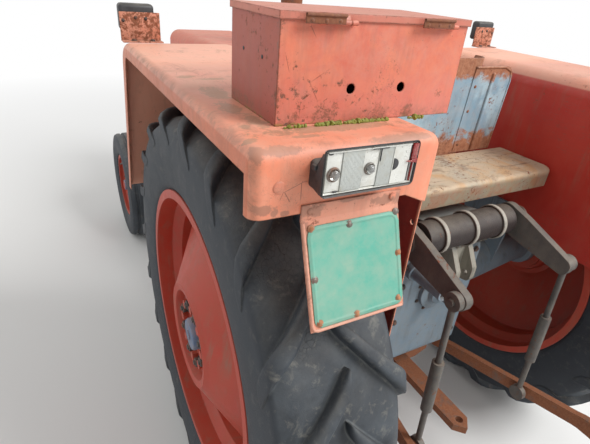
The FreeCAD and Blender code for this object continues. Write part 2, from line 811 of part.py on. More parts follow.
def front_axle():
    """A forged beam that rocks on a pin under the front support, with a boss at each end for a kingpin."""
    beam = Piece("front_axle")
    reach = kingpin_x()
    half = S["front_beam"] / 2
    outline = [
        (-reach, -half + 14),
        (-190, -half - 6),
        (190, -half - 6),
        (reach, -half + 14),
        (reach, half - 14),
        (190, half),
        (-190, half),
        (-reach, half - 14),
    ]
    beam.pad(beam.outline("XZ", outline), S["front_beam_width"], both=True)
    beam.pad(beam.circles("XZ", [(0, 0, S["axle_pin_radius"] + 34)]), S["front_beam_width"] + 16, both=True)
    ends = beam.circles("XY", [(-reach, 0, S["kingpin_boss"]), (reach, 0, S["kingpin_boss"])])
    beam.pad(ends, S["boss_height"], both=True)
    for side in (-1, 1):
        web = [
            (side * 225, -half + 24),
            (side * (reach - 70), -half + 30),
            (side * (reach - 70), half - 30),
            (side * 225, half - 20),
        ]
        for face in (-1, 1):
            sketch = beam.outline("XZ", web, face * (S["front_beam_width"] / 2 + 1))
            beam.cut(sketch, 23, back=face < 0)
    bore = S["kingpin_radius"] + S["pivot_gap"]
    bores = beam.circles("XY", [(-reach, 0, bore), (reach, 0, bore)], -S["boss_height"])
    beam.cut(bores, S["boss_height"] * 2, back=True)
    pin = beam.circles("XZ", [(0, 0, S["axle_pin_radius"] + GAP)], -S["front_beam_width"])
    beam.cut(pin, S["front_beam_width"] * 2, back=True)
    put(beam.body, (0, FRONT, BEAM_CENTRE))
    return beam.body


def knuckle():
    """Left steering knuckle: kingpin, stub axle, tie rod arm behind and drag link arm above."""
    knuckle = Piece("knuckle_left")
    low = BOSS_BOTTOM - FRONT_HEIGHT - S["side_gap"]
    high = BOSS_TOP - FRONT_HEIGHT + S["side_gap"]
    arm = S["arm_thickness"]
    knuckle.pad(knuckle.circles("XY", [(0, 0, S["kingpin_radius"])], low - 10), high - low + 20)
    body = [(-32, -34), (30, -34), (30, low), (-32, low)]
    knuckle.pad(knuckle.outline("XZ", body), 60, both=True)
    stub_end = S["kingpin_in"] + S["front_face"] - 1
    shoulder = S["kingpin_boss"] + 8
    stub = [
        (-20, 0),
        (-20, 34),
        (-shoulder, 34),
        (-shoulder, S["stub_radius"]),
        (-stub_end, S["stub_radius"]),
        (-stub_end, 0),
    ]
    knuckle.spin(knuckle.outline("XY", stub))
    tie = [(-24, -10), (24, -10), (20, -S["tie_arm"] - 22), (-20, -S["tie_arm"] - 22)]
    knuckle.pad(knuckle.outline("XY", tie, low - arm), arm)
    eye = knuckle.circles("XY", [(0, -S["tie_arm"], S["ball_pin_radius"] + S["pivot_gap"])], low - arm - 1)
    knuckle.cut(eye, arm + 2, back=True)
    drag_level = S["drag_height"] - FRONT_HEIGHT - S["ball_radius"] - 6
    knuckle.pad(knuckle.circles("XY", [(0, 0, S["kingpin_radius"] + 13)], high), drag_level - high)
    drag = [(-26, -24), (S["drag_arm"] + 18, -16), (S["drag_arm"] + 18, 16), (-26, 24)]
    knuckle.pad(knuckle.outline("XY", drag, drag_level - arm), arm)
    knuckle.pad(knuckle.circles("XY", [(S["drag_arm"], 0, S["ball_pin_radius"])], drag_level), 5)
    put(knuckle.body, (-kingpin_x(), FRONT, FRONT_HEIGHT))
    return knuckle.body


def right_knuckle(left):
    """The right knuckle has no drag link arm, so its kingpin ends in a cap."""
    twin = doc.addObject("Part::Mirroring", "knuckle_right_whole")
    twin.Source = left
    twin.Normal = Vector(1, 0, 0)
    reach = kingpin_x()
    arm = block(
        "knuckle_right_arm",
        (S["drag_arm"] + 60, 80, 200),
        (reach - S["drag_arm"] - 100, FRONT - 40, BOSS_TOP + S["side_gap"] + 20),
    )
    trimmed = subtract("knuckle_right_short", twin, arm, keep=False)
    rest = block(
        "knuckle_right_rest",
        (80, 80, 200),
        (reach - 40, FRONT - 40, BOSS_TOP + S["side_gap"] + 20),
    )
    return subtract("knuckle_right", trimmed, rest)


def tie_rod():
    rod = Piece("tie_rod")
    reach = kingpin_x()
    low = BOSS_BOTTOM - S["side_gap"] - S["arm_thickness"]
    drop = S["ball_radius"]
    rod.pad(rod.circles("YZ", [(0, 0, S["tie_rod_radius"])], -reach), reach * 2)
    for side in (-1, 1):
        rod.pad(rod.circles("XY", [(side * reach, 0, S["ball_radius"])], -drop), drop * 2 - S["side_gap"])
        pin = rod.circles("XY", [(side * reach, 0, S["ball_pin_radius"])], 0)
        rod.pad(pin, drop + S["arm_thickness"] + 8)
    put(rod.body, (0, FRONT - S["tie_arm"], low - drop))
    return rod.body


def pitman_height():
    return S["drag_height"] + S["drag_fall"] + S["pitman_length"]


def drag_x():
    return kingpin_x() - S["drag_arm"]


def pitman_arm():
    arm = Piece("pitman_arm")
    length = S["pitman_length"]
    outline = [
        (-27, 0),
        (-17, -length + 2),
        (-17, -length - 17, 16),
        (17, -length - 17, 16),
        (17, -length + 2),
        (27, 0),
        (24, 26, 20),
        (-24, 26, 20),
    ]
    arm.pad(arm.outline("YZ", outline), S["arm_thickness"])
    bore = arm.circles("YZ", [(0, 0, S["pitman_shaft"] + S["pivot_gap"])], -1)
    arm.cut(bore, S["arm_thickness"] + 2, back=True)
    arm.pad(arm.circles("YZ", [(0, -length, S["ball_pin_radius"])], 0), S["ball_radius"] + 8, back=True)
    shift = S["ball_radius"] + S["side_gap"]
    put(arm.body, (-drag_x() + shift, S["pitman_y"], pitman_height()))
    return arm.body


def drag_link():
    """Rod from the drop arm to the upper arm of the left knuckle, with a ball joint at each end."""
    link = Piece("drag_link")
    run = FRONT - S["pitman_y"]
    fall = pitman_height() - S["pitman_length"] - S["drag_height"]
    slope = angle_of(fall, run)
    length = root(run * run + fall * fall)
    link.pad(link.circles("XZ", [(0, 0, S["tie_rod_radius"])], -length), length - S["ball_radius"] * 0.7)
    ball = link.circles("XY", [(0, length, S["ball_radius"])], -S["tie_rod_radius"])
    link.pad(ball, S["ball_radius"] * 1.6)
    near = link.circles("YZ", [(0, 0, S["ball_radius"])], -S["ball_radius"])
    link.pad(near, S["ball_radius"] * 2)
    eye = link.circles("YZ", [(0, 0, S["ball_pin_radius"] + S["pivot_gap"])], -S["ball_radius"] - 1)
    link.cut(eye, S["ball_radius"] * 2 + 2, back=True)
    put(link.body, (-drag_x(), S["pitman_y"], pitman_height() - S["pitman_length"]))
    body = link.body
    body.Placement = FreeCAD.Placement(body.Placement.Base, Rotation(Vector(-1, 0, 0), 1))
    bind(body, "Placement.Rotation.Angle", slope)
    return body


# Transmission and rear axle


def gearbox():
    case = Piece("transmission_case", keep=False)
    back = REAR - S["case_back"]
    front = REAR + S["case_front"]
    deep = [
        (back, S["case_bottom"], 40),
        (front, S["case_bottom"], 30),
        (front, S["case_top"], 30),
        (back, S["case_top"], 40),
    ]
    case.pad(case.outline("YZ", deep), S["case_half_width"] * 2, both=True)
    narrow = [
        (front - 60, S["box_bottom"]),
        (S["clutch_back"] + 1, S["box_bottom"]),
        (S["clutch_back"] + 1, S["box_top"]),
        (front - 60, S["box_top"]),
    ]
    case.pad(case.outline("YZ", narrow), S["box_half_width"] * 2, both=True)
    near = bell_section(S["box_half_width"], S["box_bottom"], S["box_top"])
    far = bell_section(S["bell_radius"], S["sump_bottom"] + 30, S["block_top"] - 60)
    sections = [
        case.outline("XZ", near, -S["clutch_back"]),
        case.outline("XZ", far, -S["engine_back"] + 20),
    ]
    case.loft(sections)
    case.pad(case.outline("XZ", far, -S["engine_back"] + 21), 21 - GAP, back=True)
    cover = [
        (S["clutch_back"] - 190, S["box_top"] - 190, 16),
        (S["clutch_back"] - 30, S["box_top"] - 190, 16),
        (S["clutch_back"] - 30, S["box_top"] - 60, 16),
        (S["clutch_back"] - 190, S["box_top"] - 60, 16),
    ]
    case.pad(case.outline("YZ", cover), S["box_half_width"] * 2 + 14, both=True)
    stub = (-S["stub_tube_x"], S["case_top"] - S["stub_tube_drop"])
    face = -back - 1
    case.pad(case.circles("XZ", [stub + (S["stub_tube_radius"] + 9,)], face), 22)
    case.pad(case.circles("XZ", [stub + (S["stub_tube_radius"],)], face), S["stub_tube_length"])
    mouth = case.circles("XZ", [stub + (S["stub_tube_radius"] - 8,)], face + S["stub_tube_length"] + 1)
    case.cut(mouth, 60)
    return fuse("gearbox", [case.body, power_take_off()])


def bell_section(half, bottom, top):
    corner = half * 0.42
    return [
        (-half + corner, bottom),
        (half - corner, bottom),
        (half, bottom + corner),
        (half, top - corner),
        (half - corner, top),
        (-half + corner, top),
        (-half, top - corner),
        (-half, bottom + corner),
    ]


def trumpet_end():
    return S["rear_track"] / 2 + S["disc_face"] - S["disc_sheet"] - S["rear_hub_flange"] - S["side_gap"]


def rear_axle():
    """Brake housing and axle trumpet on each side of the case, with the bracket that carries the fender."""
    tube = Piece("rear_axle_side", keep=False)
    start = S["case_half_width"] + GAP
    end = trumpet_end()
    bore = S["rear_shaft_radius"] + S["pivot_gap"]
    seat = end - S["rear_shaft_seat"] - 10
    profile = [
        (start, 0),
        (start, S["axle_root_radius"] + 30),
        (start + 90, S["axle_root_radius"] + 30),
        (start + 110, S["axle_root_radius"]),
        (start + 190, S["axle_root_radius"] - 20),
        (end - 90, S["axle_tube_radius"]),
        (end - 34, S["axle_tube_radius"]),
        (end - 26, S["axle_tube_radius"] + 22),
        (end, S["axle_tube_radius"] + 22),
        (end, bore),
        (seat, bore),
        (seat, 0),
    ]
    tube.spin(tube.outline("XY", profile))
    top = S["fender_wall_bottom"] + 90 - REAR_HEIGHT
    bracket = [(-95, 0), (95, 0), (130, top, 18), (-130, top, 18)]
    tube.pad(tube.outline("YZ", bracket, S["fender_in"] - GAP - 10), 10)
    put(tube.body, (0, REAR, REAR_HEIGHT))
    twin = doc.addObject("Part::Mirroring", "rear_axle_left")
    twin.Source = tube.body
    twin.Normal = Vector(1, 0, 0)
    return fuse("rear_axle", [tube.body, twin])


def lift_cover():
    """Hydraulic lift: the cover on the case, the tube that holds the lift shaft, and the top link bracket."""
    cover = Piece("lift_cover")
    base = S["case_top"] + GAP
    shaft_y = REAR - S["lift_y"]
    side = [
        (REAR - S["case_back"] + 20, base),
        (REAR + S["case_front"] - 50, base),
        (REAR + S["case_front"] - 80, base + S["lift_cover_height"]),
        (REAR - 20, base + S["lift_cover_height"]),
        (shaft_y + 10, LIFT_HEIGHT + 30),
        (shaft_y, LIFT_HEIGHT - 40),
    ]
    cover.pad(cover.outline("YZ", side), 250, both=True)
    tube = LIFT_TUBE
    half = S["lift_arm_x"] - 34
    cover.pad(cover.circles("YZ", [(shaft_y, LIFT_HEIGHT, tube)]), half * 2, both=True)
    for across in (-130, 0, 130):
        ring = cover.circles("YZ", [(shaft_y, LIFT_HEIGHT, tube + S["lift_ring"])], across - 7)
        cover.pad(ring, 14)
    rib = [
        (shaft_y + 6, LIFT_HEIGHT - tube + 6),
        (shaft_y - 22, LIFT_HEIGHT - tube - 4),
        (REAR - S["case_back"] - 12, base + 3),
        (REAR - S["case_back"] + 30, base + 3),
    ]
    rib_span = S["case_half_width"] - 78
    first_rib = cover.pad(cover.outline("YZ", rib, -rib_span), 6)
    cover.row([first_rib], "X", rib_span * 2 - 6, 9)
    ears = [
        (shaft_y - 4, LIFT_HEIGHT - tube + 8),
        (REAR - S["case_back"] - GAP, LIFT_HEIGHT - tube - 10),
        (REAR - S["case_back"] - GAP, base - 95),
        (shaft_y - 58, base - 80, 22),
        (shaft_y - 58, base - 24, 22),
    ]
    cover.pad(cover.outline("YZ", ears), 96, both=True)
    slot = [
        (shaft_y - 8, base - 150),
        (shaft_y - 8, LIFT_HEIGHT - tube - 12),
        (shaft_y - 90, LIFT_HEIGHT - tube - 12),
        (shaft_y - 90, base - 150),
    ]
    cover.cut(cover.outline("YZ", slot), 54, both=True)
    cover.cut(cover.circles("YZ", [(shaft_y - 34, base - 52, S["top_link_bore"])], -60), 120, back=True)
    bore = S["lift_shaft_radius"] + S["pivot_gap"]
    cover.cut(cover.circles("YZ", [(shaft_y, LIFT_HEIGHT, bore)], -half - 5), half * 2 + 10, back=True)
    return cover.body


def drawbar():
    """Swinging drawbar held under the case, and the brackets that carry the lower link pins."""
    frame = Piece("drawbar")
    top = S["case_bottom"] - GAP
    level = S["drawbar_height"]
    pin_y = REAR - S["link_pivot_back"]
    end = REAR - S["drawbar_reach"]
    bar = [(35, REAR + 260), (35, end + 35), (0, end), (-35, end + 35), (-35, REAR + 260)]
    hanger = [(-170, top), (-170, S["link_pivot_height"] - 45), (-110, level - 40), (110, level - 40)]
    hanger += [(170, S["link_pivot_height"] - 45), (170, top)]
    frame.pad(frame.outline("XZ", hanger, -pin_y + 30), 60, back=True)
    window = [(-120, top - 24), (-120, level + 8), (120, level + 8), (120, top - 24)]
    frame.cut(frame.outline("XZ", window, -pin_y + 31), 62)
    frame.pad(frame.outline("XY", bar, level - 15), 30)
    stay = [(-60, top), (-60, level - 2), (60, level - 2), (60, top)]
    frame.pad(frame.outline("XZ", stay, -(REAR + 200)), 34, back=True)
    pin_start = S["link_pivot_x"] - 75
    pin_length = S["link_pivot_x"] + 30 - pin_start
    for side in (-1, 1):
        pin = frame.circles("YZ", [(pin_y, S["link_pivot_height"], S["link_pin_radius"])], side * pin_start)
        frame.pad(pin, pin_length, back=side < 0)
    eye = frame.circles("XY", [(0, end + 42, S["drawbar_bore"])], level - 30)
    frame.cut(eye, 60, back=True)
    return frame.body


def power_take_off():
    """Cover on the rear face of the case, with the shaft that stands out of it."""
    shaft = Piece("power_take_off", keep=False)
    face = -S["case_back"] - GAP
    end = face - 34 - S["pto_length"]
    profile = [
        (face + GAP, 0),
        (face + GAP, 74),
        (face - 14, 74),
        (face - 20, 48),
        (face - 34, 40),
        (face - 34, S["pto_radius"]),
        (end + 4, S["pto_radius"]),
        (end, S["pto_radius"] - 4),
        (end, 0),
    ]
    sketch = shaft.outline("XY", [(up, across) for across, up in profile])
    shaft.spin(sketch, "V_Axis")
    put(shaft.body, (0, REAR, S["pto_height"]))
    return shaft.body


# Engine


def engine_block():
    engine = Piece("engine_block")
    back = S["engine_back"]
    front = S["engine_front"]
    middle = (back + front) / 2
    length = front - back
    half = S["engine_half_width"]
    waist = S["sump_bottom"] + 130
    section = [
        (-half * 0.62, S["sump_bottom"]),
        (half * 0.62, S["sump_bottom"]),
        (half * 0.85, waist),
        (half, waist),
        (half, S["block_top"]),
        (-half, S["block_top"]),
        (-half, waist),
        (-half * 0.85, waist),
    ]
    engine.pad(engine.outline("XZ", section, -middle), length, both=True)
    head = [
        (-half * 0.86, S["block_top"] - 1),
        (half * 0.86, S["block_top"] - 1),
        (half * 0.86, S["head_top"]),
        (-half * 0.86, S["head_top"]),
    ]
    engine.pad(engine.outline("XZ", head, -middle), length - 30, both=True)
    cover = [
        (-half * 0.5, S["head_top"] - 1),
        (half * 0.5, S["head_top"] - 1),
        (half * 0.5, S["rocker_top"], 26),
        (-half * 0.5, S["rocker_top"], 26),
    ]
    engine.pad(engine.outline("XZ", cover, -middle), length - 80, both=True)
    flange = [
        (-half - 10, waist - 8),
        (half + 10, waist - 8),
        (half + 10, waist + 6),
        (-half - 10, waist + 6),
    ]
    engine.pad(engine.outline("XZ", flange, -middle), length - 24, both=True)
    plugs = [(back + 100 + 150 * i, waist + 28, 19) for i in range(4)]
    engine.pad(engine.circles("YZ", plugs), half * 2 + 8, both=True)
    filler = engine.circles("XY", [(0, back + 150, 24)], S["rocker_top"] - 1)
    engine.pad(filler, 30)
    timing = [
        (-half * 0.7, S["bolster_top"] + 8, 20),
        (half * 0.7, S["bolster_top"] + 8, 20),
        (half * 0.7, S["fan_height"] - 100, 30),
        (52, S["fan_height"] - 14, 24),
        (-52, S["fan_height"] - 14, 24),
        (-half * 0.7, S["fan_height"] - 100, 30),
    ]
    engine.pad(engine.outline("XZ", timing, -front + 1), 17)
    bearing = engine.circles("XZ", [(0, S["fan_height"], 34)], -front)
    engine.pad(bearing, 44, back=True)
    crank = engine.circles("XZ", [(0, S["sump_bottom"] + S["crank_rise"], S["crank_pulley"])], -front - 30)
    engine.pad(crank, 31)
    bore = engine.circles("XZ", [(0, S["fan_height"], 12 + S["pivot_gap"])], -front - 60)
    engine.cut(bore, 80, back=True)
    return engine.body


def fan():
    """Six-bladed cooling fan with its pulley and the spindle held by the engine."""
    fan = Piece("fan")
    face = S["engine_front"] + 44 + S["side_gap"]
    spindle = fan.circles("XZ", [(0, 0, 12)], -face + 50)
    fan.pad(spindle, 52, back=True)
    fan.pad(fan.circles("XZ", [(0, 0, 62)], -face), 22, back=True)
    fan.pad(fan.circles("XZ", [(0, 0, 44)], -face - 20), 34, back=True)
    blade = [(-20, 30), (20, 30), (44, S["fan_radius"], 12), (-30, S["fan_radius"], 12)]
    pad = fan.pad(fan.outline("XZ", blade, -face - 34), 5, back=True)
    fan.around([pad], "Y", 6)
    put(fan.body, (0, 0, S["fan_height"]))
    return fan.body


def exhaust():
    """Manifold along the right of the head, elbow, and the upright silencer that stands through the hood."""
    pipe = Piece("exhaust")
    half = S["engine_half_width"] * 0.86
    level = (S["block_top"] + S["head_top"]) / 2
    log = [
        (half + GAP + 18, level - 26),
        (half + 80, level - 26, 14),
        (half + 80, level + 26, 14),
        (half + GAP + 18, level + 26),
    ]
    pipe.pad(pipe.outline("XZ", log, -STACK_Y), 440, both=True)
    for along in (-180, -60, 60, 180):
        port = [
            (STACK_Y + along - 26, level - 30),
            (STACK_Y + along + 26, level - 30),
            (STACK_Y + along + 26, level + 30),
            (STACK_Y + along - 26, level + 30),
        ]
        pipe.pad(pipe.outline("YZ", port, half + GAP), 20)
    pipe.pad(pipe.circles("XY", [(STACK_X, STACK_Y, S["stack_radius"])], level), S["stack_top"] - level)
    low = S["hood_top"] + 60
    pipe.pad(pipe.circles("XY", [(STACK_X, STACK_Y, S["silencer_radius"])], low), 330)
    pipe.round(24, lambda edge: is_circle(edge, S["silencer_radius"]))
    return pipe.body


def is_circle(edge, radius):
    if not isinstance(edge.Curve, Part.Circle):
        return False
    return edge.isClosed() and abs(edge.Curve.Radius - float(radius)) < 1e-3


def air_cleaner():
    """Oil bath air cleaner beside the engine, with its intake pipe to the head."""
    cleaner = Piece("air_cleaner", keep=False)
    half = S["engine_half_width"]
    radius = 62
    x = -half - radius - 22
    y = S["engine_front"] - 110
    cleaner.pad(cleaner.circles("XY", [(x, y, radius)], S["block_top"] - 190), 220)
    cleaner.pad(cleaner.circles("XY", [(x, y, radius - 8)], S["block_top"] - 220), 31)
    cleaner.pad(cleaner.circles("XY", [(x, y, 26)], S["block_top"] + 29), 120)
    seat = [
        (y - 40, S["block_top"] - 120),
        (y + 40, S["block_top"] - 120),
        (y + 40, S["block_top"] - 20),
        (y - 40, S["block_top"] - 20),
    ]
    cleaner.pad(cleaner.outline("YZ", seat, x), -x - half - GAP)
    port = S["head_top"] - 50
    log_back = -(S["engine_back"] + 120)
    log = [
        (-half * 0.86 - GAP - 46, port - 22, 10),
        (-half * 0.86 - GAP, port - 22),
        (-half * 0.86 - GAP, port + 22),
        (-half * 0.86 - GAP - 46, port + 22, 10),
    ]
    cleaner.pad(cleaner.outline("XZ", log, log_back), y + log_back - 30, back=True)
    end = -half * 0.86 - GAP - 2
    elbow = [(x - 20, port - 20), (end, port - 20), (end, port + 20), (x - 20, port + 20)]
    cleaner.pad(cleaner.outline("XZ", elbow, -y - 20), 60)
    return cleaner.body


def engine_fittings():
    """Injection pump, dynamo, starter, filters and air cleaner, each bolted to the side of the engine."""
    half = S["engine_half_width"] + GAP
    pump = Piece("injection_pump", keep=False)
    y = S["engine_back"] + 190
    pump_section = [(0, 0), (74, 0, 10), (84, 70), (62, 128, 8), (14, 128, 8), (0, 90)]
    pump.pad(pump.outline("XZ", pump_section), 230, back=True)
    for i in range(4):
        pump.pad(pump.circles("XY", [(38, 40 + 48 * i, 10)], 127), 34)
    put(pump.body, (half, y, S["sump_bottom"] + 330))
    dynamo = side_machine("dynamo", 58, 190, 16)
    put(dynamo, (half, S["engine_front"] - 20, S["sump_bottom"] + 260))
    starter = side_machine("starter", 56, 240, 16)
    starter.Placement = FreeCAD.Placement(Vector(0, 0, 0), Rotation(Vector(0, 1, 0), 180))
    put(starter, (-half, S["engine_back"] + 262, S["sump_bottom"] + 220))
    filters = Piece("fuel_filters", keep=False)
    for along in (0, 100):
        filters.pad(filters.circles("XY", [(-58, along, 40)]), 130)
        filters.pad(filters.circles("XY", [(-58, along, 14)], -18), 20)
    filters.pad(filters.outline("XY", [(-90, -44), (0, -44), (0, 144), (-90, 144)], 126), 26)
    put(filters.body, (-half, S["engine_back"] + 180, S["block_top"] - 180))
    return fuse("engine_fittings", [pump.body, dynamo, starter, filters.body, air_cleaner()])


def side_machine(label, radius, length, stand_off):
    """A round machine lying along the engine, on a foot that meets the block."""
    machine = Piece(label, keep=False)
    centre = radius + stand_off
    machine.pad(machine.circles("XZ", [(centre, 0, radius)]), length)
    machine.pad(machine.circles("XZ", [(centre, 0, radius * 0.45)], -26), 27)
    foot = [(-length + 30, -34), (-30, -34), (-30, 34), (-length + 30, 34)]
    machine.pad(machine.outline("YZ", foot), centre)
    return machine.body


def radiator():
    core = Piece("radiator")
    half = S["radiator_half_width"]
    bottom = S["bolster_top"] + GAP
    centre = RADIATOR_BACK + S["radiator_depth"] / 2
    section = [
        (-half, bottom),
        (half, bottom),
        (half, S["radiator_top"], 30),
        (-half, S["radiator_top"], 30),
    ]
    core.pad(core.outline("XZ", section, -centre), S["radiator_depth"], both=True)
    inner = [
        (-half + 26, bottom + 60),
        (half - 26, bottom + 60),
        (half - 26, S["radiator_top"] - 80),
        (-half + 26, S["radiator_top"] - 80),
    ]
    for face, offset in ((True, -RADIATOR_BACK), (False, -RADIATOR_BACK - S["radiator_depth"])):
        core.cut(core.outline("XZ", inner, offset), 14, back=not face)
    return core.body


def front_support():
    """Cast support bolted to the engine: two side walls, a nose, and the lugs that hold the axle's pin."""
    frame = Piece("front_support")
    back = S["engine_front"] + GAP
    nose = BOLSTER_FRONT
    half = S["bolster_half_width"]
    wall = S["bolster_wall"]
    plan = [
        (-half, back),
        (half, back),
        (half, nose - 60),
        (half - 60, nose),
        (-half + 60, nose),
        (-half, nose - 60),
    ]
    frame.pad(frame.outline("XY", plan, S["bolster_bottom"]), S["bolster_top"] - S["bolster_bottom"])
    inside = [
        (-half + wall, back + 60),
        (half - wall, back + 60),
        (half - wall, nose - 90),
        (-half + wall, nose - 90),
    ]
    depth = S["bolster_top"] - S["bolster_bottom"] - 28
    frame.cut(frame.outline("XY", inside, S["bolster_bottom"] - 1), depth, back=True)
    arch = frame.circles("XZ", [(0, S["sump_bottom"] + S["crank_rise"], S["crank_pulley"] + 12)], -back + 1)
    frame.cut(arch, 62)
    low = BEAM_CENTRE - S["axle_pin_radius"] - 30
    width = S["front_beam_width"] / 2 + 8 + S["side_gap"] + 4
    for side in (-1, 1):
        root_level = S["bolster_bottom"] + 1
        lug = [(-62, low, 24), (62, low, 24), (half - 10, root_level), (-half + 10, root_level)]
        offset = -FRONT - side * width
        frame.pad(frame.outline("XZ", lug, offset), 34, back=side > 0)
    pin = frame.circles("XZ", [(0, BEAM_CENTRE, S["axle_pin_radius"])], -FRONT - width - 20)
    frame.pad(pin, width * 2 + 40)
    return frame.body


# Sheet metal


def hood():
    hood = Piece("hood")
    top = S["hood_top"]
    nose = top - S["hood_drop"]
    side = [
        (S["hood_back"], top - S["hood_side"]),
        (HOOD_FRONT, nose - S["hood_side"]),
        (HOOD_FRONT, nose),
        (S["hood_back"], top),
    ]
    hood.pad(hood.outline("YZ", side), S["hood_half_width"] * 2, both=True)
    hood.round(S["hood_corner"], lambda edge: runs_along(edge, top=float(nose) - 1))
    low = float(top - S["hood_side"]) + 1

    def open_face(face):
        return is_flat(face, (0, 1, 0)) or is_flat(face, (0, -1, 0)) or face.CenterOfMass.z < low

    hood.shell(S["hood_sheet"], open_face)
    hole = hood.circles("XY", [(STACK_X, STACK_Y, S["stack_radius"] + 12)], nose - 200)
    hood.cut(hole, 400, back=True)
    return hood.body


def runs_along(edge, top):
    """True for a lengthwise edge near the top of a cover."""
    if len(edge.Vertexes) < 2:
        return False
    a, b = edge.Vertexes[0].Point, edge.Vertexes[-1].Point
    return abs(a.y - b.y) > 300 and abs(a.x - b.x) < 1 and min(a.z, b.z) >= top


def is_flat(face, direction):
    if not isinstance(face.Surface, Part.Plane):
        return False
    normal = face.normalAt(0, 0)
    return normal.dot(Vector(*direction)) > 0.999


def grille_top(y):
    """Underside of the hood at a place along its length, less the fit gap."""
    run = HOOD_FRONT - S["hood_back"]
    return S["hood_top"] - S["hood_drop"] * (y - S["hood_back"]) / run - S["hood_sheet"] - GAP


def grille():
    """Front housing under the hood: side panels, and a slotted front between them."""
    grille = Piece("grille")
    half = S["hood_half_width"] - S["hood_sheet"] - GAP
    back = RADIATOR_BACK + S["radiator_depth"] + 30
    front = HOOD_FRONT - 2
    bottom = S["bolster_top"] + GAP
    side = [
        (back, bottom),
        (front, bottom),
        (front, grille_top(front)),
        (back, grille_top(back)),
    ]
    grille.pad(grille.outline("YZ", side), half * 2, both=True)
    low = float(grille_top(front)) - 2
    grille.round(S["hood_corner"] - S["hood_sheet"] + 4, lambda edge: runs_along(edge, top=low))
    plan = [
        (-half + 5, back - 5),
        (half - 5, back - 5),
        (half - 5, front - S["grille_depth"]),
        (-half + 5, front - S["grille_depth"]),
    ]
    grille.cut(grille.outline("XY", plan, bottom - 5), S["hood_top"] - bottom, back=True)
    pocket = [
        (-half + 26, bottom + 50),
        (half - 26, bottom + 50),
        (half - 26, S["lamp_height"] + 110),
        (-half + 26, S["lamp_height"] + 110),
    ]
    grille.cut(grille.outline("XZ", pocket, -front + S["grille_depth"] + 1), S["grille_depth"] - 8)
    slots = grille.sketch("XZ", -front - 1)
    low_slot = bottom + 70
    for side in (-1, 1):
        slot = [
            (side * 14, low_slot, 6),
            (side * (half - 46), low_slot, 6),
            (side * (half - 46), low_slot + S["grille_slot"], 6),
            (side * 14, low_slot + S["grille_slot"], 6),
        ]
        draw_outline(slots, slot)
    first_slots = grille.cut(slots, S["grille_depth"] + 10, back=True)
    slot_run = S["lamp_height"] - S["lamp_radius"] - 36 - low_slot
    grille.row([first_slots], "Z", slot_run, 10)
    louvre = [
        (back + 60, bottom + 110, 7),
        (back + 78, bottom + 110, 7),
        (back + 78, bottom + 400, 7),
        (back + 60, bottom + 400, 7),
    ]
    first_louvre = grille.cut(grille.outline("YZ", louvre), half * 2 + 10, both=True)
    grille.row([first_louvre], "Y", 240, 6)
    hole = S["lamp_radius"] - 4 + GAP
    lamps = [(side * S["lamp_spread"], S["lamp_height"], hole) for side in (-1, 1)]
    grille.cut(grille.circles("XZ", lamps, -front - 1), 60, back=True)
    return grille.body


def headlamps():
    lamp = Piece("headlamp", keep=False)
    radius = S["lamp_radius"]
    profile = [
        (0, 7),
        (radius * 0.45, 5.5),
        (radius * 0.8, 2.5),
        (radius, -1),
        (radius + 6, -4),
        (radius + 6, -14),
        (radius - 4, -14),
        (radius - 4, -24),
        (radius * 0.6, -S["lamp_depth"]),
        (0, -S["lamp_depth"]),
    ]
    lamp.spin(lamp.outline("XY", profile), "V_Axis")
    put(lamp.body, (S["lamp_spread"], HOOD_FRONT + 12 + GAP, S["lamp_height"]))
    twin = doc.addObject("Part::Mirroring", "headlamp_left")
    twin.Source = lamp.body
    twin.Normal = Vector(1, 0, 0)
    return fuse("headlamps", [lamp.body, twin])


def dashboard():
    """Instrument panel behind the hood, on a pedestal that stands on the gearbox."""
    dash = Piece("dashboard_whole", keep=False)
    front = S["hood_back"] - GAP
    foot = S["box_top"] + GAP
    side = [
        (front, S["hood_top"] - 290),
        (front, S["hood_top"] - 2),
        (front - 60, S["hood_top"] - 30, 20),
        (front - 118, S["hood_top"] - 180, 20),
        (S["clutch_back"] - 90, foot),
        (S["clutch_back"] - 4, foot),
    ]
    dash.pad(dash.outline("YZ", side), 400, both=True)
    for across in (-1, 1):
        notch = [
            (across * 110, foot - 1),
            (across * 201, foot - 1),
            (across * 201, S["hood_top"] - 200),
            (across * 110, S["hood_top"] - 330),
        ]
        dash.cut(dash.outline("XZ", notch), 1200, both=True)
    hole = doc.addObject("Part::Cylinder", "column_hole")
    bind(hole, "Radius", S["column_radius"] + GAP)
    hole.Height = 900
    turn(hole, (1, 0, 0), S["column_tilt"] + 180)
    put(hole, (0, S["wheel_y"], S["wheel_height"]))
    return subtract("dashboard", dash.body, hole)


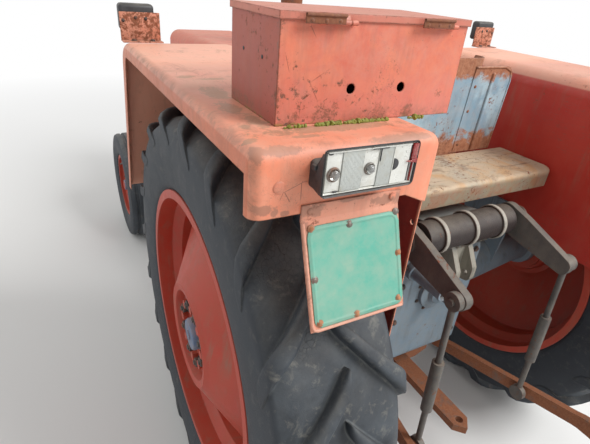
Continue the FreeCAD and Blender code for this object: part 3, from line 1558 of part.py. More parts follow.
def steering_column():
    """Column tube down to the steering box, and the cross tube that carries the drop arm's shaft."""
    tube = Piece("column_tube", keep=False)
    spindle = 9
    start = 34
    box_top = pitman_height() + 44
    length = (S["wheel_height"] - box_top) / cosine(S["column_tilt"]) + 20
    tube.pad(tube.circles("XY", [(0, 0, S["column_radius"])], -length), length - start)
    tube.pad(tube.circles("XY", [(0, 0, spindle)], -start - 1), start - 4)
    turn(tube.body, (1, 0, 0), S["column_tilt"])
    put(tube.body, (0, S["wheel_y"], S["wheel_height"]))
    housing = Piece("steering_box", keep=False)
    bottom = S["block_top"] - 60 + GAP
    y = S["pitman_y"]
    side = [
        (y - 62, bottom),
        (y + 62, bottom),
        (y + 62, box_top - 20, 16),
        (y + 20, box_top, 16),
        (y - 62, box_top, 16),
    ]
    housing.pad(housing.outline("YZ", side), 140, both=True)
    arm_face = drag_x() - S["ball_radius"] - S["side_gap"]
    inner = arm_face - S["arm_thickness"] - S["side_gap"]
    housing.pad(housing.circles("YZ", [(y, pitman_height(), 30)], -inner), inner)
    housing.pad(housing.circles("YZ", [(y, pitman_height(), S["pitman_shaft"])], -arm_face), arm_face)
    return fuse("steering_column", [tube.body, housing.body])


def steering_wheel():
    wheel = Piece("steering_wheel")
    radius = S["wheel_rim_radius"]
    grip = S["wheel_grip_radius"]
    section = []
    for i in range(8):
        around = FULL_TURN / 8 * (i + 0.5)
        section.append((radius + grip * cosine(around), grip * sine(around)))
    wheel.spin(wheel.outline("XZ", section), "V_Axis")
    hub = [(0, -32), (28, -32), (36, -20), (30, 6), (0, 6)]
    wheel.spin(wheel.outline("XZ", hub), "V_Axis")
    spoke = wheel.circles("YZ", [(0, -8, 8)], 20)
    pad = wheel.pad(spoke, radius - 22)
    wheel.around([pad], "Z", 3)
    wheel.cut(wheel.circles("XY", [(0, 0, 9 + S["pivot_gap"])], -33), 30, back=True)
    turn(wheel.body, (1, 0, 0), S["column_tilt"])
    put(wheel.body, (0, S["wheel_y"], S["wheel_height"]))
    return wheel.body


def deck():
    """Pressed deck behind the seat, from fender to fender, with a rolled rear lip."""
    deck = Piece("deck")
    half = S["fender_in"] - GAP
    back = REAR - S["deck_back"]
    front = REAR + S["deck_front"]
    plan = [(-half, back, 46), (half, back, 46), (half, front), (-half, front)]
    lip = S["deck_lip"]
    deck.pad(deck.outline("XY", plan, DECK_TOP - lip), lip)
    top = float(DECK_TOP)
    rear_edge = float(front) - 1

    def upper_edge(edge):
        box = edge.BoundBox
        return box.ZMin > top - 1 and box.YMin < rear_edge

    deck.round(14, upper_edge)
    low = float(DECK_TOP - lip)

    def open_side(face):
        centre = face.CenterOfMass
        return centre.z < low + 1 or (is_flat(face, (0, 1, 0)) and centre.y > rear_edge)

    deck.shell(S["deck_sheet"], open_side)
    return deck.body


def seat():
    """Steel bucket seat with a high curved back, on a bracket that stands on the lift cover."""
    shell = Piece("seat_shell", keep=False)
    half = S["seat_half_width"]
    pan = S["seat_height"]
    back = REAR + S["seat_back_y"]
    top = S["seat_back_top"]
    front = back + S["seat_length"]
    side = [
        (back - 16, top),
        (back, pan + 30, 60),
        (back + 40, pan),
        (front, pan),
        (front + 20, pan + 60),
        (back + 190, pan + 100),
        (back + 90, top - 90),
        (back + 50, top),
    ]
    shell.pad(shell.outline("YZ", side), half * 2, both=True)
    back_y = float(back)
    low = float(pan)
    high = float(top)

    def rear_upright(edge):
        box = edge.BoundBox
        return box.XLength < 0.1 and box.YMin < back_y + 30 and box.ZMin > low + 40 and box.ZLength > 100

    shell.round(50, rear_upright)
    front_y = float(front)

    def open_top(face):
        normal = face.normalAt(*middle_of(face))
        return normal.z > 0.3 or (normal.y > 0.5 and face.CenterOfMass.y < front_y - 20)

    shell.shell(S["seat_sheet"], open_top)
    post = Piece("seat_bracket", keep=False)
    foot = S["case_top"] + S["lift_cover_height"] + GAP * 2
    y = REAR + S["case_front"] - 140
    plan = [(-70, y - 45), (70, y - 45), (70, y + 45), (-70, y + 45)]
    post.pad(post.outline("XY", plan, foot), pan - GAP - foot)
    window = [(y - 37, foot + 8), (y + 37, foot + 8), (y + 37, pan - 10), (y - 37, pan - 10)]
    post.cut(post.outline("YZ", window), 150, both=True)
    return fuse("seat", [shell.body, post.body])


def middle_of(face):
    low_u, high_u, low_v, high_v = face.ParameterRange
    return (low_u + high_u) / 2, (low_v + high_v) / 2


def fender_block(label, wall):
    """The space inside a fender's outer surface, drawn in by a wall. It runs on below the fender."""
    block = Piece(label, keep=False)
    out = S["fender_out"] - wall
    inner = S["fender_in"] + wall
    top = S["fender_top"] - wall
    back = -S["fender_back"] + wall
    spare = S["fender_wall_bottom"] - 120 - wall
    run = S["fender_toe"] + 40 - S["fender_front"]
    fall = S["fender_top"] - S["fender_wall_bottom"] + 120
    drawn_in = wall * root(run * run + fall * fall) / fall
    side = [
        (back, spare),
        (S["fender_toe"] + 40 + wall * run / fall - drawn_in, spare),
        (S["fender_front"] + wall * run / fall - drawn_in, top, 90 - wall),
        (back, top),
    ]
    block.pad(block.outline("YZ", side, -out), out - inner)
    rear_face = float(back)
    top_face = float(top)
    floor = float(spare)

    def lengthwise_at(edge, across):
        box = edge.BoundBox
        return abs(box.XMin - across) < 1 and box.XLength < 1 and box.ZMax > floor + 1

    block.round(S["fender_inner_corner"] - wall, lambda edge: lengthwise_at(edge, -float(inner)))

    def outer_or_rear_top(edge):
        box = edge.BoundBox
        rear_top = abs(box.YMin - rear_face) < 1 and box.XLength > 100 and box.ZMin > top_face - 1
        return rear_top or lengthwise_at(edge, -float(out))

    block.round(S["fender_bend"] - wall, outer_or_rear_top)
    return block.body


def fender():
    """Left fender: flat top, turned-down outer flange, short rear panel and a deep inner wall."""
    out = S["fender_out"]
    inner = S["fender_in"]
    top = S["fender_top"]
    back = -S["fender_back"]
    low = S["fender_wall_bottom"]
    bend = S["fender_bend"]
    outside = fender_block("fender_outside", as_size(0))
    inside = fender_block("fender_inside", S["fender_sheet"])
    skin = subtract("fender_skin", outside, inside, keep=False)
    waste = Piece("fender_waste", keep=False)
    trim = [
        (back - 40, low - 160),
        (S["fender_toe"] + 120, low - 160),
        (S["fender_toe"] + 120, low),
        (back - 40, low),
    ]
    waste.pad(waste.outline("YZ", trim), out * 2 + 20, both=True)
    flange = S["fender_flange"]
    outer_gap = [
        (back + bend + 6, low - 5),
        (S["fender_toe"] - bend - 30, low - 5),
        (S["fender_front"] - 52, top - flange, 40),
        (back + bend + 6, top - flange),
    ]
    waste.pad(waste.outline("YZ", outer_gap, -out - 20), bend + 30)
    tail = S["fender_tail"]
    rear_gap = [
        (-out - 10, low - 5),
        (-inner + 5, low - 5),
        (-inner + 5, top - tail - 42),
        (-inner - 92, top - tail),
        (-out - 10, top - tail),
    ]
    waste.pad(waste.outline("XZ", rear_gap, -back + 15), bend + 27, back=True)
    holes = [(back + 51, top - 214, 6), (back + 25, top - 198, 6)]
    waste.pad(waste.circles("YZ", holes, -inner - 12), 24)
    cut = subtract("fender_left", skin, waste.body)
    put(cut, (0, REAR, 0))
    return cut


def toolbox():
    box = Piece("toolbox")
    left = -S["box_left"]
    right = left + S["box_width"]
    back = REAR - S["box_back"]
    front = back + S["box_length"]
    base = S["fender_top"] + GAP
    floor = [(left, back), (right, back), (right, front), (left, front)]
    box.pad(box.outline("XY", floor, base), S["box_height"])
    top = float(base + S["box_height"])
    box.shell(S["box_sheet"], lambda face: face.CenterOfMass.z > top - 1)
    holes = [(left + 146, base + 58, S["key_hole"]), (left + 260, base + 58, S["key_hole"])]
    box.cut(box.circles("XZ", holes, -back + 1), 20)
    for middle in hinge_places():
        for side in (-1, 1):
            start = middle + side * S["hinge_half"]
            knuckle = box.circles("YZ", [(hinge_y(), hinge_z(), S["hinge_radius"])], start)
            box.pad(knuckle, 12, back=side < 0)
            strap = [
                (hinge_y(), hinge_z() - 3),
                (hinge_y(), hinge_z()),
                (back + 1, hinge_z()),
                (back + 1, hinge_z() - 3),
            ]
            box.pad(box.outline("YZ", strap, start), 12, back=side < 0)
        pin_row = (hinge_y(), hinge_z(), S["hinge_pin_radius"])
        pin = box.circles("YZ", [pin_row], middle - S["hinge_half"] - 1)
        box.pad(pin, S["hinge_half"] * 2 + 2)
    return box.body


def hinge_places():
    left = -S["box_left"]
    return [left + S["box_width"] * 0.25, left + S["box_width"] * 0.82]


def hinge_y():
    return REAR - S["box_back"] - S["lid_gap"] - S["box_sheet"] - S["hinge_radius"] - 1


def hinge_z():
    return S["fender_top"] + GAP + S["box_height"] - S["lid_height"] - S["hinge_radius"] + 3


def toolbox_lid():
    """Pressed lid with a turned-down rim. It turns on two hinges under its rear edge."""
    lid = Piece("toolbox_lid")
    gap = S["lid_gap"]
    wall = S["box_sheet"]
    left = -S["box_left"] - gap - wall
    right = -S["box_left"] + S["box_width"] + gap + wall
    back = REAR - S["box_back"] - gap - wall
    front = REAR - S["box_back"] + S["box_length"] + gap + wall
    seat_level = S["fender_top"] + GAP + S["box_height"] + GAP
    plan = [(left, back), (right, back), (right, front), (left, front)]
    lid.pad(lid.outline("XY", plan, seat_level - S["lid_height"]), S["lid_height"] + wall)
    inside = [
        (left + wall, back + wall),
        (right - wall, back + wall),
        (right - wall, front - wall),
        (left + wall, front - wall),
    ]
    lid.cut(lid.outline("XY", inside, seat_level), S["lid_height"] + 5)
    for middle in hinge_places():
        half = S["hinge_half"] - S["side_gap"]
        lid.pad(lid.circles("YZ", [(hinge_y(), hinge_z(), S["hinge_radius"])], middle - half), half * 2)
        strap = [
            (hinge_y() - 1, hinge_z()),
            (back + 1, hinge_z()),
            (back + 1, seat_level - 1),
            (back - 1.5, seat_level - 1),
        ]
        lid.pad(lid.outline("YZ", strap, middle - half), half * 2)
        bore = S["hinge_pin_radius"] + S["pivot_gap"]
        eye = lid.circles("YZ", [(hinge_y(), hinge_z(), bore)], middle - half - 1)
        lid.cut(eye, half * 2 + 2, back=True)
    return lid.body


def tail_lamps():
    """Two housings, each with a small foot on the fender and an open rim with three chambers."""
    lamp = Piece("tail_lamp", keep=False)
    left = -S["tail_lamp_out"]
    right = left + S["tail_lamp_length"]
    face = S["fender_back"] - REAR + GAP
    top = S["fender_top"] + S["tail_lamp_rise"]
    low = top - S["tail_lamp_height"]
    wall = S["tail_lamp_wall"]
    rim_back = S["tail_lamp_depth"] - S["tail_lamp_rim"]
    # A section is its level off the fender, how far it draws in at the ends, and how far at the top.
    stations = [
        (0, 4, S["tail_lamp_slope"]),
        (S["tail_lamp_foot"], 4, S["tail_lamp_slope"]),
        (rim_back, 0, 0),
        (S["tail_lamp_depth"], 0, 0),
    ]
    sections = []
    for level, end_inset, top_inset in stations:
        outline = [
            (left + end_inset, low, 9),
            (right - end_inset, low, 9),
            (right - end_inset, top - top_inset, 9),
            (left + end_inset, top - top_inset, 9),
        ]
        sections.append(lamp.outline("XZ", outline, face + level))
    lamp.loft(sections)
    inside = [
        (left + wall, low + wall, 5),
        (right - wall, low + wall, 5),
        (right - wall, top - wall, 5),
        (left + wall, top - wall, 5),
    ]
    floor = face + rim_back + 1
    lamp.cut(lamp.outline("XZ", inside, face + S["tail_lamp_depth"] + 1), S["tail_lamp_rim"])
    for share in (0.36, 0.66):
        middle = left + S["tail_lamp_length"] * share
        wall_low = low + wall - 1
        wall_top = top - wall + 1
        divider = [
            (middle - 1.5, wall_low),
            (middle + 1.5, wall_low),
            (middle + 1.5, wall_top),
            (middle - 1.5, wall_top),
        ]
        lamp.pad(lamp.outline("XZ", divider, floor - 1), 7)
    twin = doc.addObject("Part::Mirroring", "tail_lamp_right")
    twin.Source = lamp.body
    twin.Normal = Vector(1, 0, 0)
    return fuse("tail_lamps", [lamp.body, twin])


def number_plate():
    """Sheet carrier with a flange on the fender's rear panel, bent to hang out below it."""
    plate = Piece("number_plate")
    face = REAR - S["fender_back"] - GAP
    top = S["fender_top"] - S["plate_top"]
    bend = top - S["plate_flange"]
    lean = S["plate_lean"]
    thick = S["plate_sheet"]
    out = face - S["plate_drop"] * sine(lean)
    low = bend - S["plate_drop"] * cosine(lean)
    outer_bend = bend + thick * (1 - cosine(lean)) / sine(lean)
    profile = [
        (face, top),
        (face, bend),
        (out, low),
        (out - thick * cosine(lean), low + thick * sine(lean)),
        (face - thick, outer_bend),
        (face - thick, top),
    ]
    plate.pad(plate.outline("YZ", profile, -S["plate_out"]), S["plate_width"])
    return plate.body


def footplates():
    plate = Piece("footplate", keep=False)
    back = REAR + S["foot_back"]
    front = REAR + S["foot_front"]
    narrow = S["box_half_width"] + GAP
    share = (front - S["clutch_back"]) / (S["engine_back"] - 20 - S["clutch_back"])
    wide = S["box_half_width"] + (S["bell_radius"] - S["box_half_width"]) * share + 4
    outer = S["fender_in"] - 6
    plan = [(narrow, back), (outer, back), (outer, front), (wide, front), (narrow, S["clutch_back"])]
    plate.pad(plate.outline("XY", plan, S["foot_height"]), 5)
    level = S["foot_height"]
    for inner, along in ((narrow, back), (wide, front - 6)):
        rib = [(inner, level - 55), (inner, level + 1), (outer, level + 1), (outer, level - 30)]
        plate.pad(plate.outline("XZ", rib, -along), 6, back=True)
    twin = doc.addObject("Part::Mirroring", "footplate_left")
    twin.Source = plate.body
    twin.Normal = Vector(1, 0, 0)
    return fuse("footplates", [plate.body, twin])


def controls():
    """Gear levers on the gearbox and pedals on the footplates."""
    parts = []
    levers = (("gear_lever", 50, -290, 330), ("range_lever", -60, -330, 260))
    for name, across, along, height in levers:
        lever = Piece(name, keep=False)
        lever.pad(lever.circles("XY", [(0, 0, 26)]), 16)
        lever.pad(lever.circles("XY", [(0, 0, 9)], 10), height)
        knob = [(0, height), (14, height), (24, height + 14), (20, height + 34), (0, height + 40)]
        lever.spin(lever.outline("XZ", knob), "V_Axis")
        put(lever.body, (across, along, S["box_top"] + GAP))
        parts.append(lever.body)
    for name, across in (("clutch_pedal", -330), ("brake_pedal", 290), ("second_brake_pedal", 370)):
        pedal = Piece(name, keep=False)
        top = S["foot_height"] + 5 + GAP
        arm = [(-60, top), (-30, top), (20, top + 90), (40, top + 120), (34, top + 128), (6, top + 110)]
        pedal.pad(pedal.outline("YZ", arm, -6), 12)
        pad = [(8, top + 96), (52, top + 138), (46, top + 146), (2, top + 104)]
        pedal.pad(pedal.outline("YZ", pad, -34), 68)
        put(pedal.body, (across, -30, 0))
        parts.append(pedal.body)
    return fuse("controls", parts)


# Three-point linkage


def link_run():
    return S["link_reach"] - S["link_pivot_back"]


def link_rise():
    return S["link_end_height"] - S["link_pivot_height"]


def link_length():
    return root(link_run() * link_run() + link_rise() * link_rise())


def link_angle():
    return angle_of(link_rise(), link_run())


def rod_top():
    """Upper pin of a lift rod, as distances behind the rear axle and above the ground."""
    behind = S["lift_y"] + S["lift_arm"] * cosine(S["arm_drop"])
    height = LIFT_HEIGHT - S["lift_arm"] * sine(S["arm_drop"])
    return behind, height


def rod_foot():
    behind = S["link_pivot_back"] + link_run() * S["rod_share"]
    height = S["link_pivot_height"] + link_rise() * S["rod_share"]
    return behind, height


def lift_arms():
    """Cross shaft with an arm at each end."""
    arms = Piece("lift_arms")
    x = S["lift_arm_x"]
    half = S["lift_arm_half"]
    arms.pad(arms.circles("YZ", [(0, 0, S["lift_shaft_radius"])], -x - half - 8), (x + half + 8) * 2)
    reach = S["lift_arm"]
    profile = [
        (50, -50, 40),
        (50, 50, 40),
        (-60, 46),
        (-reach - 30, 26, 24),
        (-reach - 30, -26, 24),
        (-60, -46),
    ]
    for side in (-1, 1):
        start = side * (x - half)
        arms.pad(arms.outline("YZ", profile, start), half * 2, back=side < 0)
        pin = arms.circles("YZ", [(-reach, 0, S["lift_pin_radius"])], side * x)
        arms.pad(pin, half + S["lift_eye"] + 10, back=side < 0)
    turn(arms.body, (1, 0, 0), S["arm_drop"])
    put(arms.body, (0, REAR - S["lift_y"], LIFT_HEIGHT))
    return arms.body


def lift_rod():
    """Left lift rod: an eye on the lift arm's pin, a screw and a foot beside the lower link."""
    rod = Piece("lift_rod_left")
    top_behind, top_height = rod_top()
    foot_behind, foot_height = rod_foot()
    back = foot_behind - top_behind
    fall = top_height - foot_height
    length = root(back * back + fall * fall)
    thick = S["lift_eye"]
    rod.pad(rod.circles("YZ", [(0, 0, 28)], 0), thick, back=True)
    rod.pad(rod.circles("XY", [(-thick / 2, 0, thick / 2)], -length + 12), length - 32)
    rod.pad(rod.circles("XY", [(-thick / 2, 0, thick * 0.9)], -length * 0.72), length * 0.34)
    rod.pad(rod.circles("YZ", [(0, -length, 28)], 0), thick, back=True)
    rod.cut(rod.circles("YZ", [(0, 0, S["lift_pin_radius"] + S["pivot_gap"])], 5), thick + 10)
    turn(rod.body, (-1, 0, 0), angle_of(back, fall))
    x = S["lift_arm_x"] + S["lift_arm_half"] + S["side_gap"]
    put(rod.body, (-x, REAR - top_behind, top_height))
    return rod.body


def lower_link():
    """Left lower link, splayed in plan, with an eye at each end: what its side view and its plan share."""
    side = Piece("lower_link_side", keep=False)
    length = link_length()
    eye = S["link_eye_radius"]
    view = [
        (32, -32, 24),
        (32, 32, 24),
        (-70, 24),
        (-length + 80, 24),
        (-length - eye, eye, eye - 4),
        (-length - eye, -eye, eye - 4),
        (-length + 80, -24),
        (-70, -24),
    ]
    side.pad(side.outline("YZ", view, -S["link_end_x"] - 60), 400)
    plan = Piece("lower_link_plan", keep=False)
    near = S["link_pivot_x"]
    far = S["link_end_x"]
    half = 13
    top_view = [
        (-near - half, 40),
        (-near + half, 40),
        (-near + half, -50),
        (-far + half, -length + 60),
        (-far + half, -length - eye - 5),
        (-far - half, -length - eye - 5),
        (-far - half, -length + 54),
        (-near - half, -56),
    ]
    plan.pad(plan.outline("XY", top_view, -80), 160)
    bar = doc.addObject("Part::Common", "lower_link_bar")
    bar.Base = side.body
    bar.Tool = plan.body
    foot = length * S["rod_share"]
    middle = near + (far - near) * S["rod_share"]
    rod_face = S["lift_arm_x"] + S["lift_arm_half"] + S["side_gap"] + S["lift_eye"]
    boss = cylinder("lower_link_boss", 16, middle - rod_face - S["side_gap"], (-middle, -foot, 0), (1, 0, 0))
    pin_bore = S["link_pin_radius"] + S["pivot_gap"]
    bores = [
        cylinder("lower_link_front_bore", pin_bore, 80, (-near - 40, 0, 0), (1, 0, 0)),
        cylinder("lower_link_rear_bore", S["link_ball_bore"], 80, (-far - 40, -length, 0), (1, 0, 0)),
    ]
    whole = fuse("lower_link_whole", [bar, boss], keep=False)
    drilled = subtract("lower_link_left", whole, fuse("lower_link_bores", bores, keep=False))
    turn(drilled, (-1, 0, 0), link_angle())
    put(drilled, (0, REAR - S["link_pivot_back"], S["link_pivot_height"]))
    return drilled


def check_and_export():
    doc.recompute()
    for thing in doc.Objects:
        if "Invalid" in thing.State or "Error" in thing.State:
            raise RuntimeError(f"{thing.Name} failed: {thing.State}")
    for thing in made:
        if thing.Shape.isNull() or not thing.Shape.isValid() or thing.Shape.Volume <= 0:
            raise RuntimeError(f"{thing.Label} has no good shape")
    os.makedirs("parts", exist_ok=True)
    for thing in made:
        thing.Shape.exportStep(f"parts/{thing.Label}.step")


def build():
    left_rear_tyre = rear_tyre()
    left_rear_rim = rear_rim()
    left_front_tyre = front_tyre()
    left_front_rim = front_rim()
    mirrored("rear_tyre_right", left_rear_tyre)
    mirrored("rear_rim_right", left_rear_rim)
    mirrored("front_tyre_right", left_front_tyre)
    mirrored("front_rim_right", left_front_rim)
    front_axle()
    right_knuckle(knuckle())
    tie_rod()
    pitman_arm()
    drag_link()
    gearbox()
    rear_axle()
    lift_cover()
    drawbar()
    engine_block()
    fan()
    exhaust()
    engine_fittings()
    radiator()
    front_support()
    hood()
    grille()
    headlamps()
    dashboard()
    steering_column()
    steering_wheel()
    deck()
    seat()
    mirrored("fender_right", fender())
    toolbox()
    toolbox_lid()
    tail_lamps()
    number_plate()
    footplates()
    controls()
    lift_arms()
    mirrored("lift_rod_right", lift_rod())
    mirrored("lower_link_right", lower_link())
    check_and_export()


build()
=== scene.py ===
"""Finishes, tyres, lamps and small fittings of a weathered farm tractor, laid over its frame of CAD solids."""

import logging
import math
from dataclasses import dataclass
from enum import Enum
from typing import Any, Callable, ClassVar, Iterable, Optional, Sequence

import bmesh
import bpy
from mathutils import Matrix, Vector, noise


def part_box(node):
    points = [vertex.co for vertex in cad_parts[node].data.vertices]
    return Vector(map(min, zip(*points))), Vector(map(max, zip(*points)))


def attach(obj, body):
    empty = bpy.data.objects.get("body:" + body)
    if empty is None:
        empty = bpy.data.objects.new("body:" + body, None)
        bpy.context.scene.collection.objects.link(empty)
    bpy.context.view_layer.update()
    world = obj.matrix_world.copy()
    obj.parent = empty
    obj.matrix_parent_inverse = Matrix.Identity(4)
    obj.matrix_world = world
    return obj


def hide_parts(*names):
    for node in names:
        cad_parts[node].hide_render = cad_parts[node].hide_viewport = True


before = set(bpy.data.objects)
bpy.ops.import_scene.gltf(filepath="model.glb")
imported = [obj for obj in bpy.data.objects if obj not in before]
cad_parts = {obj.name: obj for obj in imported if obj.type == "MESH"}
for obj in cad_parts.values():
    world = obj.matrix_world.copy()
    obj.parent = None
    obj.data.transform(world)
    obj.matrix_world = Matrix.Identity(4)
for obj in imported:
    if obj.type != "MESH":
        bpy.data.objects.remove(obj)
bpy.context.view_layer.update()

LOG = logging.getLogger("tractor")

Colour = tuple[float, float, float, float]
Point = tuple[float, float, float]
Marks = Sequence[tuple[Point, Point]]


def screen(red: int, green: int, blue: int) -> Colour:
    """Linear colour of a colour as a screen shows it.

    Args:
        red: 0 to 255.
        green: 0 to 255.
        blue: 0 to 255.

    Returns:
        The colour with full alpha, as the shader sockets take it.
    """
    parts = [part / 255 for part in (red, green, blue)]
    low, middle, high = [p / 12.92 if p <= 0.04045 else ((p + 0.055) / 1.055) ** 2.4 for p in parts]
    return (low, middle, high, 1.0)


class Side(Enum):
    """Side of the tractor, as the sign of its X."""

    LEFT = -1
    RIGHT = 1

    @property
    def word(self) -> str:
        """The side as the nodes' names spell it."""
        return self.name.lower()


# Shader graphs


class Graph:
    """Adds nodes to one node tree and links them."""

    def __init__(self, tree: bpy.types.NodeTree) -> None:
        """Starts on an empty tree.

        Args:
            tree: tree of a material or of a node group.
        """
        self.tree = tree
        tree.nodes.clear()

    def add(self, kind: str, inputs: Optional[dict[Any, Any]] = None, **settings: Any) -> bpy.types.Node:
        """Adds one node.

        Args:
            kind: type of the node, without its "ShaderNode".
            inputs: values or outputs for its inputs, by the input's name or number.
            settings: the node's own properties.

        Returns:
            The new node.
        """
        node = self.tree.nodes.new("ShaderNode" + kind)
        for key, value in settings.items():
            setattr(node, key, value)
        for key, value in (inputs or {}).items():
            self.feed(node.inputs[key], value)
        return node

    def feed(self, socket: bpy.types.NodeSocket, value: Any) -> None:
        """Links an output to a socket, or sets the socket's own value."""
        if isinstance(value, bpy.types.NodeSocket):
            self.tree.links.new(value, socket)
        else:
            socket.default_value = value

    def spot(self, stretch: Point = (1.0, 1.0, 1.0)) -> bpy.types.NodeSocket:
        """Object coordinates, stretched for runs and grain."""
        where = self.add("TexCoord").outputs["Object"]
        if stretch == (1.0, 1.0, 1.0):
            return where
        return self.add("Mapping", {"Vector": where, "Scale": stretch}).outputs[0]

    def noise(
        self,
        scale: Any,
        detail: float = 4.0,
        rough: float = 0.55,
        warp: float = 0.0,
        where: Optional[bpy.types.NodeSocket] = None,
    ) -> bpy.types.NodeSocket:
        """Cloudy noise, from 0 to 1.

        Args:
            scale: features to a metre.
            detail: octaves.
            rough: share of the fine octaves.
            warp: distortion.
            where: coordinates, or None for plain object coordinates.

        Returns:
            The noise value.
        """
        inputs = {"Vector": where or self.spot(), "Scale": scale, "Detail": detail}
        inputs.update({"Roughness": rough, "Distortion": warp})
        return self.add("TexNoise", inputs).outputs[0]

    def cells(self, scale: Any, where: Optional[bpy.types.NodeSocket] = None) -> bpy.types.NodeSocket:
        """Distance to the edges of random cells, for cracks."""
        inputs = {"Vector": where or self.spot(), "Scale": scale}
        return self.add("TexVoronoi", inputs, feature="DISTANCE_TO_EDGE").outputs["Distance"]

    def span(self, value: Any, low: float, high: float, first: Any = 0.0, last: Any = 1.0) -> bpy.types.NodeSocket:
        """Value between low and high, clamped and laid out from first to last."""
        return self.add("MapRange", {0: value, 1: low, 2: high, 3: first, 4: last}, clamp=True).outputs[0]

    def sum(self, operation: str, first: Any, second: Any = 0.0) -> bpy.types.NodeSocket:
        """One clamped sum of a Math node."""
        return self.add("Math", {0: first, 1: second}, operation=operation, use_clamp=True).outputs[0]

    def mix(self, factor: Any, first: Any, second: Any) -> bpy.types.NodeSocket:
        """Colour from first to second as factor goes from 0 to 1."""
        return self.add("Mix", {0: factor, 6: first, 7: second}, data_type="RGBA").outputs[2]

    def stains(self, marks: Marks, ragged: float = 0.45) -> bpy.types.NodeSocket:
        """Ragged blots at set places.

        Args:
            marks: the middle and the half sizes of each blot, in metres.
            ragged: how far noise frays their edges.

        Returns:
            Mask, 1 inside the blots.
        """
        frayed = self.span(self.noise(52.0, 8, 0.74), 0.32, 0.68, -ragged, ragged)
        mask: Any = 0.0
        for place, reach in marks:
            away = self.add("VectorMath", {0: self.spot(), 1: place}, operation="SUBTRACT").outputs[0]
            share = tuple(1 / part for part in reach)
            scaled = self.add("VectorMath", {0: away, 1: share}, operation="MULTIPLY").outputs[0]
            far = self.add("VectorMath", {0: scaled}, operation="LENGTH").outputs["Value"]
            blot = self.span(self.add("Math", {0: far, 1: frayed}).outputs[0], 0.72, 1.0, 1.0, 0.0)
            mask = self.sum("MAXIMUM", mask, blot)
        return mask

    def axis(self, letter: str) -> bpy.types.NodeSocket:
        """One object coordinate, in metres."""
        return self.add("SeparateXYZ", {0: self.spot()}).outputs[letter]

    def outward(self) -> bpy.types.NodeSocket:
        """Distance from the tractor's middle plane, in metres."""
        return self.add("Math", {0: self.axis("X")}, operation="ABSOLUTE").outputs[0]

    def use(self, effect: bpy.types.NodeTree, **inputs: Any) -> bpy.types.Node:
        """Places a shared effect and feeds its inputs."""
        node = self.add("Group")
        node.node_tree = effect
        for key, value in inputs.items():
            self.feed(node.inputs[key], value)
        return node


